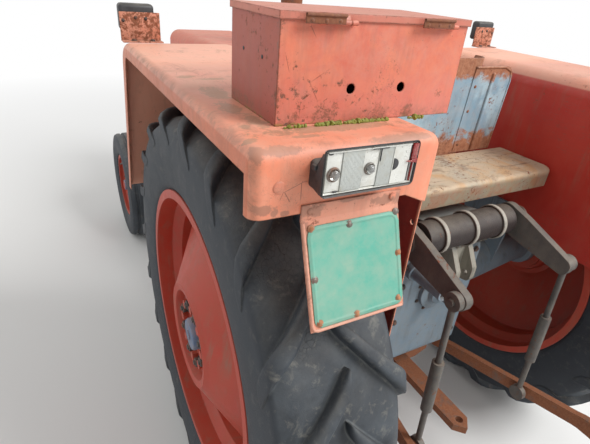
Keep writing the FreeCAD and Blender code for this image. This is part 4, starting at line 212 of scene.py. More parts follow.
class Effects:
    """The shared node groups, each made once."""

    made: ClassVar[dict[str, bpy.types.NodeTree]] = {}

    @classmethod
    def group(
        cls,
        name: str,
        inputs: dict[str, float],
        outputs: dict[str, str],
        fill: Callable[[Graph, bpy.types.Node], dict[str, bpy.types.NodeSocket]],
    ) -> bpy.types.NodeTree:
        """Makes a node group, or gives the one made before.

        Args:
            name: name of the group.
            inputs: float inputs with their usual values.
            outputs: outputs with their socket types.
            fill: adds the nodes and returns what each output takes.

        Returns:
            The group's tree.
        """
        if name in cls.made:
            return cls.made[name]
        tree = bpy.data.node_groups.new(name, "ShaderNodeTree")
        graph = Graph(tree)
        for key, value in inputs.items():
            tree.interface.new_socket(key, in_out="INPUT", socket_type="NodeSocketFloat").default_value = value
        for key, kind in outputs.items():
            tree.interface.new_socket(key, in_out="OUTPUT", socket_type=kind)
        start = tree.nodes.new("NodeGroupInput")
        end = tree.nodes.new("NodeGroupOutput")
        for key, value in fill(graph, start).items():
            tree.links.new(value, end.inputs[key])
        cls.made[name] = tree
        return tree

    @classmethod
    def edge_wear(cls) -> bpy.types.NodeTree:
        """Paint rubbed off along outer edges, and the rounded normal of those edges."""

        def fill(graph: Graph, start: bpy.types.Node) -> dict[str, bpy.types.NodeSocket]:
            rounded = graph.add("Bevel", {"Radius": start.outputs["Width"]}, samples=6).outputs[0]
            flat = graph.add("NewGeometry").outputs["Normal"]
            along = graph.add("VectorMath", {0: rounded, 1: flat}, operation="DOT_PRODUCT").outputs["Value"]
            edge = graph.span(along, 0.995, 0.86)
            broken = graph.span(graph.noise(start.outputs["Breaks"], 6, 0.7, 0.4), 0.38, 0.62)
            return {"Mask": graph.sum("MULTIPLY", edge, broken), "Normal": rounded}

        outputs = {"Mask": "NodeSocketFloat", "Normal": "NodeSocketVector"}
        return cls.group("edge wear", {"Width": 0.004, "Breaks": 38.0}, outputs, fill)

    @classmethod
    def patches(cls) -> bpy.types.NodeTree:
        """Large soft patches where sun and rain took the colour."""

        def fill(graph: Graph, start: bpy.types.Node) -> dict[str, bpy.types.NodeSocket]:
            cloud = graph.noise(start.outputs["Scale"], 7, 0.62, 0.6)
            return {"Mask": graph.span(cloud, 0.4, 0.62)}

        return cls.group("patches", {"Scale": 3.0}, {"Mask": "NodeSocketFloat"}, fill)

    @classmethod
    def specks(cls) -> bpy.types.NodeTree:
        """Small chips and rust spots, gathered in areas."""

        def fill(graph: Graph, start: bpy.types.Node) -> dict[str, bpy.types.NodeSocket]:
            fine = graph.noise(start.outputs["Scale"], 8, 0.75, 0.3)
            areas = graph.noise(5.0, 4, 0.6, 0.5)
            both = graph.sum("MULTIPLY_ADD", fine, 0.7)
            graph.feed(both.node.inputs[2], graph.sum("MULTIPLY", areas, 0.3))
            level = graph.sum("SUBTRACT", 0.72, graph.sum("MULTIPLY", start.outputs["Amount"], 0.22))
            above = graph.sum("SUBTRACT", both, level)
            return {"Mask": graph.span(above, 0.0, 0.05)}

        return cls.group("specks", {"Scale": 70.0, "Amount": 0.5}, {"Mask": "NodeSocketFloat"}, fill)

    @classmethod
    def scratches(cls) -> bpy.types.NodeTree:
        """Long fine scratches in two directions."""

        def fill(graph: Graph, start: bpy.types.Node) -> dict[str, bpy.types.NodeSocket]:
            masks = []
            for turned in ((0.3, 0.5, 0.9), (1.1, -0.7, -0.4)):
                where = graph.add("Mapping", {"Vector": graph.spot(), "Rotation": turned, "Scale": (9, 1, 9)})
                lines = graph.noise(start.outputs["Scale"], 3, 0.5, 0.2, where.outputs[0])
                thin = graph.sum("ABSOLUTE", graph.add("Math", {0: lines, 1: 0.5}, operation="SUBTRACT").outputs[0])
                masks.append(graph.span(thin, 0.0, 0.006, 1.0, 0.0))
            areas = graph.span(graph.noise(4.0, 5, 0.6), 0.5, 0.62)
            return {"Mask": graph.sum("MULTIPLY", graph.sum("MAXIMUM", *masks), areas)}

        return cls.group("scratches", {"Scale": 6.0}, {"Mask": "NodeSocketFloat"}, fill)

    @classmethod
    def settled(cls) -> bpy.types.NodeTree:
        """Dust and dirt that lies on what faces up."""

        def fill(graph: Graph, start: bpy.types.Node) -> dict[str, bpy.types.NodeSocket]:
            facing = graph.add("SeparateXYZ", {0: graph.add("TexCoord").outputs["Normal"]}).outputs["Z"]
            flat = graph.span(facing, 0.25, 0.95)
            cloud = graph.span(graph.noise(start.outputs["Scale"], 8, 0.68, 0.3), 0.3, 0.75)
            return {"Mask": graph.sum("MULTIPLY", flat, cloud), "Flat": flat}

        outputs = {"Mask": "NodeSocketFloat", "Flat": "NodeSocketFloat"}
        return cls.group("settled dirt", {"Scale": 11.0}, outputs, fill)

    @classmethod
    def runs(cls) -> bpy.types.NodeTree:
        """Streaks that rain washed down the sides."""

        def fill(graph: Graph, start: bpy.types.Node) -> dict[str, bpy.types.NodeSocket]:
            streaks = graph.noise(start.outputs["Scale"], 6, 0.65, 0.15, graph.spot((1.0, 1.0, 0.1)))
            broken = graph.noise(7.0, 4, 0.6)
            facing = graph.add("SeparateXYZ", {0: graph.add("TexCoord").outputs["Normal"]}).outputs["Z"]
            steep = graph.span(graph.sum("ABSOLUTE", facing), 0.3, 0.7, 1.0, 0.0)
            lines = graph.sum("MULTIPLY", graph.span(streaks, 0.5, 0.72), graph.span(broken, 0.35, 0.65))
            return {"Mask": graph.sum("MULTIPLY", lines, steep)}

        return cls.group("rain runs", {"Scale": 34.0}, {"Mask": "NodeSocketFloat"}, fill)


# Finishes


@dataclass(frozen=True)
class Finish:
    """A surface finish, made into one Blender material."""

    name: str
    slot: str

    def material(self) -> bpy.types.Material:
        """The finish's material, made the first time that it is asked for."""
        made = bpy.data.materials.get(self.name)
        if made:
            return made
        made = bpy.data.materials.new(self.name)
        made.use_nodes = True
        graph = Graph(made.node_tree)
        shader = graph.add("BsdfPrincipled")
        output = graph.add("OutputMaterial")
        made.node_tree.links.new(shader.outputs[0], output.inputs["Surface"])
        self.dress(graph, shader)
        return made

    def dress(self, graph: Graph, shader: bpy.types.Node) -> None:
        """Feeds the shader. Each kind of finish has its own."""
        raise NotImplementedError

    @staticmethod
    def relief(graph: Graph, shader: bpy.types.Node, height: Any, depth: float, normal: Any = None) -> None:
        """Feeds the shader's normal with a relief.

        Args:
            graph: graph of the material.
            shader: its Principled shader.
            height: height, 0 to 1.
            depth: metres that a height of 1 stands for.
            normal: normal under the relief, or None for the surface's own.
        """
        bump = graph.add("Bump", {"Height": height, "Distance": depth, "Strength": 1.0})
        if normal is not None:
            graph.feed(bump.inputs["Normal"], normal)
        graph.feed(shader.inputs["Normal"], bump.outputs[0])


@dataclass(frozen=True)
class Paint(Finish):
    """Old enamel on sheet metal: faded, chipped at the edges, spotted with rust and dusty."""

    fresh: Colour = screen(190, 70, 45)
    faded: Colour = screen(226, 148, 118)
    bare: Colour = screen(112, 84, 70)
    dirt: Colour = screen(128, 96, 78)
    dust: Colour = screen(205, 178, 158)
    fade: float = 0.7
    wear: float = 0.8
    spots: float = 0.4
    grime: float = 0.5
    dusting: float = 0.4
    gloss: float = 0.5
    cast: float = 0.0
    marks: Marks = ()
    marked: Colour = screen(158, 112, 92)

    def dress(self, graph: Graph, shader: bpy.types.Node) -> None:
        """Layers the paint, its fading, wear, spots, runs and dust."""
        edges = graph.use(Effects.edge_wear())
        settled = graph.use(Effects.settled())
        patches = graph.use(Effects.patches(), Scale=3.2).outputs[0]
        tone = graph.noise(26.0, 8, 0.7)
        sunned = graph.span(patches, 0.0, 1.0, self.fade * 0.62, self.fade)
        colour = graph.mix(sunned, self.fresh, self.faded)
        colour = graph.mix(graph.span(tone, 0.35, 0.7, 0.0, 0.28), colour, self.dust)
        colour = self.extra(graph, colour)
        runs = graph.use(Effects.runs()).outputs[0]
        colour = graph.mix(graph.span(runs, 0.0, 1.0, 0.0, self.grime), colour, self.dirt)
        scratches = graph.use(Effects.scratches()).outputs[0]
        colour = graph.mix(graph.span(scratches, 0.0, 1.0, 0.0, self.wear * 0.7), colour, self.bare)
        dusty = graph.span(settled.outputs["Mask"], 0.0, 1.0, 0.0, self.dusting)
        colour = graph.mix(dusty, colour, self.dust)
        stains = graph.span(graph.noise(9.0, 9, 0.72, 0.8), 0.55, 0.7, 0.0, self.grime)
        colour = graph.mix(graph.sum("MULTIPLY", stains, settled.outputs["Flat"]), colour, self.dirt)
        chips = graph.use(Effects.specks(), Amount=self.spots).outputs[0]
        worn = graph.span(edges.outputs["Mask"], 0.0, 1.0, 0.0, self.wear)
        missing = graph.sum("MAXIMUM", chips, worn)
        rust = graph.mix(graph.span(graph.noise(120.0, 5), 0.4, 0.6), self.bare, screen(126, 68, 42))
        graph.feed(shader.inputs["Base Color"], graph.mix(missing, colour, rust))
        rough = graph.span(tone, 0.3, 0.75, self.gloss - 0.08, self.gloss + 0.14)
        rough = graph.sum("ADD", rough, graph.span(graph.sum("MAXIMUM", missing, dusty), 0.0, 1.0, 0.0, 0.3))
        graph.feed(shader.inputs["Roughness"], rough)
        skin = graph.span(graph.noise(700.0, 3, 0.5), 0.0, 1.0, 0.0, 0.16 + self.cast)
        height = graph.sum("SUBTRACT", graph.sum("ADD", skin, 0.5), graph.span(missing, 0.0, 1.0, 0.0, 0.35))
        self.relief(graph, shader, height, 0.0006 + 0.0012 * self.cast, edges.outputs["Normal"])

    def extra(self, graph: Graph, colour: bpy.types.NodeSocket) -> bpy.types.NodeSocket:
        """Colour with what is special to one panel; plain paint has its rubbed marks, if any."""
        if not self.marks:
            return colour
        return graph.mix(graph.span(graph.stains(self.marks, 0.6), 0.0, 1.0, 0.0, 0.8), colour, self.marked)


@dataclass(frozen=True)
class FenderPaint(Paint):
    """Fender paint: sun-faded outside, deep red on the wall that faces the seat, with painted shade darkening that wall
    on the left fender.
    """

    # Painted shade: darker red for the left fender's inner wall; the right wall keeps the paint's own deep red.
    painted_shade_wall: Colour = screen(120, 30, 24)
    wall: float = 0.4905

    RUBBED: ClassVar[Marks] = (
        ((-0.838, -1.412, 1.553), (0.052, 0.02, 0.008)),
        ((-0.876, -1.402, 1.552), (0.016, 0.02, 0.016)),
        ((-0.866, -1.416, 1.462), (0.020, 0.02, 0.010)),
        ((-0.846, -1.416, 1.452), (0.008, 0.02, 0.008)),
        ((-0.828, -1.416, 1.450), (0.009, 0.02, 0.006)),
        ((-0.600, -1.410, 1.553), (0.080, 0.02, 0.007)),
        ((0.780, -1.412, 1.553), (0.100, 0.02, 0.009)),
        ((0.850, -1.416, 1.460), (0.028, 0.02, 0.014)),
    )
    DIRTY: ClassVar[Marks] = (
        ((-0.818, -1.060, 1.557), (0.030, 0.060, 0.02)),
        ((-0.832, -1.180, 1.557), (0.022, 0.050, 0.02)),
        ((-0.818, -1.270, 1.557), (0.018, 0.050, 0.02)),
        ((-0.700, -1.338, 1.557), (0.160, 0.020, 0.02)),
        ((-0.850, -1.297, 1.557), (0.012, 0.014, 0.02)),
        ((-0.868, -1.364, 1.557), (0.014, 0.012, 0.02)),
        ((-0.770, -1.368, 1.557), (0.040, 0.008, 0.02)),
        ((-0.835, -0.900, 1.557), (0.030, 0.016, 0.02)),
        ((-0.780, -0.930, 1.557), (0.040, 0.012, 0.02)),
        ((0.700, -1.050, 1.557), (0.120, 0.060, 0.02)),
    )
    CRACKED: ClassVar[Marks] = (
        ((-0.812, -1.416, 1.486), (0.030, 0.02, 0.022)),
        ((-0.810, -0.860, 1.557), (0.050, 0.090, 0.02)),
        ((0.800, -1.416, 1.490), (0.040, 0.02, 0.030)),
    )

    def extra(self, graph: Graph, colour: bpy.types.NodeSocket) -> bpy.types.NodeSocket:
        """Paler in front, partly painted light; browner by the box and along the outer edge; deep red on the inner
        wall, with painted shade darkening the left one.
        """
        outward = graph.outward()
        along = graph.axis("Y")
        # Paler towards the front: partly a lighter faded tone, partly a painted highlight on the front facet of the
        # top, which faces the light more.
        front = graph.span(along, -0.82, -0.66, 0.0, 0.6)
        colour = graph.mix(front, colour, screen(234, 178, 154))
        middle = graph.sum("MULTIPLY", graph.span(along, -1.2, -1.0), graph.span(along, -0.8, -0.7, 0.55, 0.0))
        colour = graph.mix(middle, colour, screen(184, 136, 122))
        rim = graph.span(outward, 0.868, 0.880)
        rubbed_rim = graph.sum("MULTIPLY", rim, graph.span(graph.noise(30.0, 8, 0.7, 0.6), 0.42, 0.62, 0.0, 0.75))
        colour = graph.mix(rubbed_rim, colour, screen(164, 112, 88))
        colour = graph.mix(graph.span(outward, 0.8852, 0.8862, 0.0, 0.6), colour, screen(190, 100, 66))
        dirty = graph.stains(self.DIRTY, 0.6)
        colour = graph.mix(graph.span(dirty, 0.0, 1.0, 0.0, 0.7), colour, screen(150, 116, 88))
        rubbed = graph.stains(self.RUBBED)
        colour = graph.mix(graph.span(rubbed, 0.0, 1.0, 0.0, 0.85), colour, screen(166, 114, 92))
        lines = graph.span(graph.cells(24.0), 0.0, 0.018, 1.0, 0.0)
        cracks = graph.sum("MULTIPLY", lines, graph.stains(self.CRACKED))
        colour = graph.mix(graph.span(cracks, 0.0, 1.0, 0.0, 0.8), colour, screen(112, 62, 46))
        side = graph.add("SeparateXYZ", {0: graph.add("TexCoord").outputs["Normal"]}).outputs["X"]
        inward = graph.add("Math", {0: side}, operation="ABSOLUTE").outputs[0]
        walled = graph.span(outward, self.wall - 0.001, self.wall + 0.0015, 1.0, 0.0)
        hidden = graph.sum("MULTIPLY", walled, graph.span(inward, 0.5, 0.8))
        # The inner walls' deep red is the paint's own; across X it goes from the painted-shade red on the left wall to
        # the lit red on the right.
        across = graph.span(graph.axis("X"), -0.1, 0.1)
        wall = graph.mix(across, self.painted_shade_wall, screen(172, 40, 28))
        deep = graph.mix(graph.span(graph.noise(14.0, 6, 0.6), 0.3, 0.7, 0.0, 0.7), wall, screen(178, 58, 42))
        return graph.mix(hidden, colour, deep)


@dataclass(frozen=True)
class BoxPaint(Paint):
    """Toolbox paint, with rust and moss where the box stands on the fender."""

    foot: float = 1.557

    RUSTED: ClassVar[Marks] = (
        ((-0.766, -1.321, 1.570), (0.020, 0.02, 0.012)),
        ((-0.706, -1.321, 1.576), (0.030, 0.02, 0.022)),
        ((-0.582, -1.321, 1.572), (0.036, 0.02, 0.020)),
        ((-0.515, -1.321, 1.572), (0.018, 0.02, 0.016)),
        ((-0.440, -1.321, 1.600), (0.012, 0.02, 0.010)),
        ((-0.800, -1.321, 1.700), (0.008, 0.02, 0.045)),
        ((-0.800, -1.321, 1.620), (0.006, 0.02, 0.060)),
        ((-0.799, -1.130, 1.570), (0.020, 0.080, 0.012)),
    )
    CRACKED: ClassVar[Marks] = (
        ((-0.712, -1.321, 1.622), (0.040, 0.02, 0.036)),
        ((-0.780, -1.321, 1.660), (0.020, 0.02, 0.022)),
        ((-0.735, -1.321, 1.712), (0.020, 0.02, 0.016)),
    )

    def extra(self, graph: Graph, colour: bpy.types.NodeSocket) -> bpy.types.NodeSocket:
        """Painted shade on the outer end, rusted at the foot and the corners, cracked in places, mossy below."""
        height = graph.axis("Z")
        along = graph.axis("X")
        mottle = graph.span(graph.noise(16.0, 8, 0.7, 0.9), 0.4, 0.62, 0.0, 0.6)
        colour = graph.mix(mottle, colour, screen(222, 126, 92))
        pink = graph.span(height, self.foot, self.foot + 0.09, 0.5, 0.0)
        colour = graph.mix(pink, colour, screen(206, 120, 110))
        # Painted shade: the box's outer end face, turned from the light, is darkened.
        colour = graph.mix(graph.span(along, -0.7996, -0.7985, 0.74, 0.0), colour, screen(144, 62, 50))
        low = graph.span(height, self.foot + 0.002, self.foot + 0.026, 1.0, 0.0)
        damp = graph.sum("MULTIPLY", low, graph.span(graph.noise(45.0, 8, 0.75), 0.42, 0.6))
        colour = graph.mix(graph.span(damp, 0.0, 1.0, 0.0, 0.7), colour, screen(140, 92, 76))
        grains = graph.span(graph.noise(150.0, 8, 0.8, 0.4), 0.44, 0.56)
        rusted = graph.sum("MULTIPLY", graph.stains(self.RUSTED, 0.7), grains)
        colour = graph.mix(graph.span(rusted, 0.0, 1.0, 0.0, 0.85), colour, screen(128, 82, 62))
        lines = graph.span(graph.cells(17.0), 0.0, 0.014, 1.0, 0.0)
        cracks = graph.sum("MULTIPLY", lines, graph.stains(self.CRACKED, 0.3))
        colour = graph.mix(graph.span(cracks, 0.0, 1.0, 0.0, 0.85), colour, screen(112, 52, 40))
        line = graph.span(height, self.foot, self.foot + 0.006, 1.0, 0.0)
        moss = graph.sum("MULTIPLY", line, graph.span(graph.noise(60.0, 6, 0.7), 0.5, 0.6))
        return graph.mix(moss, colour, screen(128, 132, 58))


@dataclass(frozen=True)
class SheetPaint(Paint):
    """Blue paint of the seat's back, rusted through along its top and its foot."""

    rust: Colour = screen(142, 88, 62)

    def extra(self, graph: Graph, colour: bpy.types.NodeSocket) -> bpy.types.NodeSocket:
        """Rusty above and below a worn pale middle."""
        height = graph.axis("Z")
        ends = graph.sum("MAXIMUM", graph.span(height, 1.49, 1.56), graph.span(height, 1.25, 1.36, 1.0, 0.0))
        cloud = graph.noise(13.0, 8, 0.72, 0.7)
        spread = graph.sum("ADD", ends, graph.span(cloud, 0.36, 0.64, 0.0, 0.55))
        rusty = graph.span(spread, 0.62, 0.86)
        pale = graph.span(graph.noise(8.0, 6, 0.6, 0.5), 0.5, 0.62, 0.0, 0.6)
        colour = graph.mix(pale, colour, screen(176, 200, 208))
        tone = graph.mix(graph.span(graph.noise(60.0, 8, 0.75), 0.38, 0.62), self.rust, screen(176, 122, 92))
        return graph.mix(rusty, colour, tone)


@dataclass(frozen=True)
class DeckPaint(Paint):
    """Deck paint: beige, stained ochre and brown on top, grey-green and rusty on its lip."""

    lip: float = 1.228

    def extra(self, graph: Graph, colour: bpy.types.NodeSocket) -> bpy.types.NodeSocket:
        """Ochre stains, a brown swept stripe and a darker lip."""
        ochre = graph.span(graph.noise(7.0, 8, 0.68, 1.2), 0.47, 0.6, 0.0, 0.75)
        colour = graph.mix(ochre, colour, screen(190, 146, 98))
        grey = graph.span(graph.noise(5.0, 7, 0.66, 0.8), 0.5, 0.62, 0.0, 0.7)
        colour = graph.mix(grey, colour, screen(158, 156, 142))
        stripes = graph.noise(20.0, 8, 0.7, 0.6, graph.spot((0.35, 1.4, 1.0)))
        colour = graph.mix(graph.span(stripes, 0.55, 0.66, 0.0, 0.8), colour, screen(98, 72, 52))
        low = graph.span(graph.axis("Z"), self.lip - 0.01, self.lip + 0.006, 0.75, 0.0)
        edge = graph.mix(graph.span(graph.noise(26.0, 8, 0.7, 0.6), 0.42, 0.58), screen(122, 116, 98), screen(134, 88, 64))
        return graph.mix(low, colour, edge)


@dataclass(frozen=True)
class LiftPaint(Paint):
    """Greasy lift casting: dark tube with pale rings and a dusty grey cover."""

    shaft: Point = (0.0, -1.137, 1.108)
    tube: float = 0.0535
    ring: float = 0.0560

    def extra(self, graph: Graph, colour: bpy.types.NodeSocket) -> bpy.types.NodeSocket:
        """Dark on the tube, pale on its rings and on the ribs below."""
        away = graph.add("VectorMath", {0: graph.spot(), 1: self.shaft}, operation="SUBTRACT").outputs[0]
        flat = graph.add("VectorMath", {0: away, 1: (0.0, 1.0, 1.0)}, operation="MULTIPLY").outputs[0]
        far = graph.add("VectorMath", {0: flat}, operation="LENGTH").outputs["Value"]
        beyond = graph.span(far, self.ring - 0.0005, self.ring + 0.0005)
        colour = graph.mix(beyond, screen(42, 32, 30), colour)
        collar = graph.sum("MULTIPLY", beyond, graph.span(far, self.ring + 0.004, self.ring + 0.005, 1.0, 0.0))
        colour = graph.mix(graph.span(collar, 0.0, 1.0, 0.0, 0.8), colour, screen(172, 166, 154))
        below = graph.span(graph.axis("Z"), 1.035, 1.055, 1.0, 0.0)
        return graph.mix(graph.span(below, 0.0, 1.0, 0.0, 0.7), colour, screen(150, 142, 126))


@dataclass(frozen=True)
class Rubber(Finish):
    """Old tyre rubber: blue-black, dusty, with fine cracks; darker sidewalls, partly painted shade."""

    base: Colour = screen(34, 39, 46)
    worn: Colour = screen(70, 76, 82)
    # Sidewall colour: the rubber's own blacker side, darkened further as painted shade.
    wall: Colour = screen(30, 35, 43)
    dust: Colour = screen(138, 134, 124)

    def dress(self, graph: Graph, shader: bpy.types.Node) -> None:
        """Layers wear, dust, darker sidewalls and cracks on the rubber; the sidewalls' darkening is partly painted
        shade.
        """
        edges = graph.use(Effects.edge_wear(), Width=0.009, Breaks=20.0)
        clouds = graph.noise(9.0, 8, 0.68, 0.5)
        colour = graph.mix(graph.span(clouds, 0.36, 0.68), self.base, self.worn)
        colour = graph.mix(graph.span(graph.noise(34.0, 8, 0.7, 0.4), 0.55, 0.75, 0.0, 0.6), colour, self.dust)
        settled = graph.use(Effects.settled(), Scale=16.0).outputs["Mask"]
        colour = graph.mix(graph.span(settled, 0.0, 1.0, 0.0, 0.4), colour, self.dust)
        colour = graph.mix(graph.span(edges.outputs["Mask"], 0.0, 1.0, 0.0, 0.4), colour, screen(112, 114, 112))
        # Darker sidewalls, by the normal's X: partly the rubber's own colour, partly painted shade.
        side = graph.add("SeparateXYZ", {0: graph.add("TexCoord").outputs["Normal"]}).outputs["X"]
        wall = graph.span(graph.add("Math", {0: side}, operation="ABSOLUTE").outputs[0], 0.6, 0.92, 0.0, 0.6)
        colour = graph.mix(wall, colour, self.wall)
        cracked = graph.span(graph.noise(5.0, 4), 0.48, 0.6)
        lines = graph.span(graph.cells(95.0, graph.spot((1.0, 0.6, 1.0))), 0.0, 0.035, 1.0, 0.0)
        cracks = graph.sum("MULTIPLY", lines, cracked)
        colour = graph.mix(graph.span(cracks, 0.0, 1.0, 0.0, 0.6), colour, screen(26, 28, 31))
        graph.feed(shader.inputs["Base Color"], colour)
        graph.feed(shader.inputs["Roughness"], graph.span(clouds, 0.3, 0.7, 0.55, 0.82))
        height = graph.sum("ADD", graph.span(graph.noise(420.0, 4, 0.6), 0.0, 1.0, 0.0, 0.3), graph.span(clouds, 0.0, 1.0, 0.0, 0.5))
        height = graph.sum("SUBTRACT", height, graph.span(cracks, 0.0, 1.0, 0.0, 0.3))
        self.relief(graph, shader, height, 0.0016, edges.outputs["Normal"])


@dataclass(frozen=True)
class Metal(Finish):
    """Bare or lightly rusted steel and cast parts."""

    base: Colour = screen(128, 124, 118)
    rust: Colour = screen(112, 66, 44)
    rusting: float = 0.5
    metallic: float = 0.75
    gloss: float = 0.42

    def dress(self, graph: Graph, shader: bpy.types.Node) -> None:
        """Mixes rust over the metal, more where noise gathers it."""
        cloud = graph.noise(22.0, 9, 0.72, 0.4)
        level = 0.72 - self.rusting * 0.4
        rusty = graph.span(cloud, level - 0.08, level + 0.1)
        tone = graph.span(graph.noise(160.0, 5, 0.6), 0.3, 0.7)
        metal = graph.mix(graph.span(tone, 0.0, 1.0, 0.0, 0.35), self.base, screen(84, 82, 80))
        rust = graph.mix(tone, self.rust, screen(142, 92, 62))
        edges = graph.use(Effects.edge_wear(), Width=0.0025)
        colour = graph.mix(rusty, metal, rust)
        colour = graph.mix(graph.span(edges.outputs["Mask"], 0.0, 1.0, 0.0, 0.5), colour, screen(158, 152, 144))
        graph.feed(shader.inputs["Base Color"], colour)
        graph.feed(shader.inputs["Metallic"], graph.span(rusty, 0.0, 1.0, self.metallic, 0.05))
        graph.feed(shader.inputs["Roughness"], graph.span(rusty, 0.0, 1.0, self.gloss, 0.86))
        height = graph.sum("ADD", graph.span(rusty, 0.0, 1.0, 0.0, 0.35), graph.span(tone, 0.0, 1.0, 0.0, 0.3))
        self.relief(graph, shader, height, 0.0007, edges.outputs["Normal"])


@dataclass(frozen=True)
class Moulding(Finish):
    """Moulded plastic or rubber trim, chalky with age."""

    base: Colour = screen(38, 38, 40)
    chalk: Colour = screen(96, 96, 96)
    gloss: float = 0.5

    def dress(self, graph: Graph, shader: bpy.types.Node) -> None:
        """Chalks the plastic in clouds and along its edges."""
        edges = graph.use(Effects.edge_wear(), Width=0.002)
        cloud = graph.noise(30.0, 8, 0.7, 0.3)
        colour = graph.mix(graph.span(cloud, 0.4, 0.75, 0.0, 0.4), self.base, self.chalk)
        settled = graph.use(Effects.settled(), Scale=24.0).outputs["Mask"]
        colour = graph.mix(graph.span(settled, 0.0, 1.0, 0.0, 0.45), colour, screen(150, 140, 126))
        colour = graph.mix(graph.span(edges.outputs["Mask"], 0.0, 1.0, 0.0, 0.5), colour, self.chalk)
        graph.feed(shader.inputs["Base Color"], colour)
        graph.feed(shader.inputs["Roughness"], graph.span(cloud, 0.3, 0.7, self.gloss - 0.1, self.gloss + 0.2))
        height = graph.span(graph.noise(900.0, 2), 0.0, 1.0, 0.0, 0.5)
        self.relief(graph, shader, height, 0.0003, edges.outputs["Normal"])


@dataclass(frozen=True)
class Lens(Finish):
    """Coloured or clear lamp lens with moulded ribs."""

    tint: Colour = screen(170, 20, 18)
    ribs: float = 260.0

    def dress(self, graph: Graph, shader: bpy.types.Node) -> None:
        """Ribs the lens and dulls it with dust."""
        place = graph.add("SeparateXYZ", {0: graph.spot()})
        wave = graph.add("Math", {0: place.outputs["X"], 1: self.ribs * math.tau}, operation="MULTIPLY")
        ribbed = graph.add("Math", {0: wave.outputs[0]}, operation="SINE").outputs[0]
        ridge = graph.span(ribbed, -1.0, 1.0)
        dull = graph.span(graph.noise(40.0, 8, 0.7), 0.42, 0.75, 0.0, 0.5)
        deep = tuple(part * 0.55 for part in self.tint[:3]) + (1.0,)
        colour = graph.mix(graph.span(ridge, 0.0, 1.0, 0.0, 0.6), deep, self.tint)
        graph.feed(shader.inputs["Base Color"], graph.mix(dull, colour, screen(176, 160, 146)))
        graph.feed(shader.inputs["Roughness"], graph.span(dull, 0.0, 0.5, 0.12, 0.5))
        shader.inputs["Coat Weight"].default_value = 0.6
        shader.inputs["Coat Roughness"].default_value = 0.1
        self.relief(graph, shader, ridge, 0.0006)


@dataclass(frozen=True)
class Reflector(Finish):
    """White or silvered lamp reflector, yellowed and specked."""

    base: Colour = screen(214, 214, 208)
    shine: float = 0.25

    def dress(self, graph: Graph, shader: bpy.types.Node) -> None:
        """Yellows and specks the reflector."""
        cloud = graph.noise(60.0, 8, 0.7, 0.3)
        colour = graph.mix(graph.span(cloud, 0.5, 0.75, 0.0, 0.5), self.base, screen(176, 168, 148))
        dirt = graph.use(Effects.specks(), Scale=260.0, Amount=0.7).outputs[0]
        graph.feed(shader.inputs["Base Color"], graph.mix(dirt, colour, screen(86, 76, 66)))
        graph.feed(shader.inputs["Roughness"], graph.span(cloud, 0.3, 0.7, 0.2, 0.45))
        shader.inputs["Metallic"].default_value = self.shine
        self.relief(graph, shader, graph.span(graph.noise(420.0, 3), 0.0, 1.0), 0.0003)


@dataclass(frozen=True)
class Glass(Finish):
    """Clear glass of bulbs, gauges and headlamps, with a film of dust."""

    clear: float = 0.85

    def dress(self, graph: Graph, shader: bpy.types.Node) -> None:
        """Clear glass with a dusty, slightly wavy surface."""
        dull = graph.span(graph.noise(50.0, 8, 0.7), 0.35, 0.8)
        graph.feed(shader.inputs["Base Color"], graph.mix(dull, screen(244, 246, 246), screen(206, 204, 196)))
        graph.feed(shader.inputs["Roughness"], graph.span(dull, 0.0, 1.0, 0.04, 0.3))
        shader.inputs["Transmission Weight"].default_value = self.clear
        shader.inputs["IOR"].default_value = 1.45
        self.relief(graph, shader, graph.noise(90.0, 2), 0.0004)


STEEL_BLUE = screen(86, 106, 122)
FENDER = FenderPaint(
    "fender paint", "fender_paint", screen(210, 104, 72), screen(236, 152, 118), grime=0.5, spots=0.5
)
FENDER_BOLTS = Paint("painted bolts", "fender_paint", screen(196, 92, 62), screen(224, 142, 112), spots=0.8, wear=1.0)
TOOLBOX = BoxPaint(
    "toolbox paint", "toolbox_paint", screen(192, 84, 62), screen(214, 118, 96), spots=0.66, wear=1.0, grime=0.5
)
LID = Paint(
    "lid paint",
    "toolbox_paint",
    screen(186, 88, 70),
    screen(204, 132, 112),
    dust=screen(174, 136, 118),
    spots=0.6,
    wear=1.0,
    dusting=0.75,
)
CARRIER = Paint(
    "plate carrier paint",
    "fender_paint",
    screen(206, 122, 96),
    screen(226, 152, 124),
    bare=screen(150, 104, 86),
    dirt=screen(172, 122, 104),
    spots=0.8,
    wear=1.0,
    grime=0.9,
    marks=(
        ((-0.784, -1.418, 1.448), (0.034, 0.03, 0.014)),
        ((-0.792, -1.430, 1.418), (0.010, 0.03, 0.030)),
        ((-0.622, -1.418, 1.444), (0.044, 0.03, 0.012)),
        ((-0.700, -1.418, 1.457), (0.030, 0.03, 0.005)),
        ((-0.690, -1.440, 1.405), (0.060, 0.03, 0.006)),
    ),
)
CARRIER_RIM = Paint("plate carrier rim", "fender_paint", screen(206, 132, 108), screen(226, 164, 140), spots=0.6)
BRACKET = Paint(
    "lamp bracket paint",
    "fender_paint",
    screen(188, 104, 74),
    screen(204, 132, 104),
    bare=screen(126, 78, 54),
    dirt=screen(118, 84, 64),
    spots=1.0,
    wear=1.0,
    grime=0.9,
)
HOOD = Paint("hood paint", "hood_paint", screen(192, 66, 42), screen(216, 118, 88), fade=0.55, dusting=0.5)
WHEEL = Paint(
    "wheel paint",
    "wheel_paint",
    screen(158, 34, 18),
    screen(192, 66, 38),
    dust=screen(150, 96, 74),
    fade=0.45,
    dusting=0.3,
    wear=0.7,
    grime=0.8,
)
CASTING = Paint(
    "casting paint",
    "casting_paint",
    STEEL_BLUE,
    screen(122, 140, 152),
    bare=screen(92, 74, 62),
    dirt=screen(58, 50, 44),
    dust=screen(150, 138, 122),
    spots=0.55,
    grime=0.8,
    dusting=0.6,
    gloss=0.6,
    cast=0.5,
)
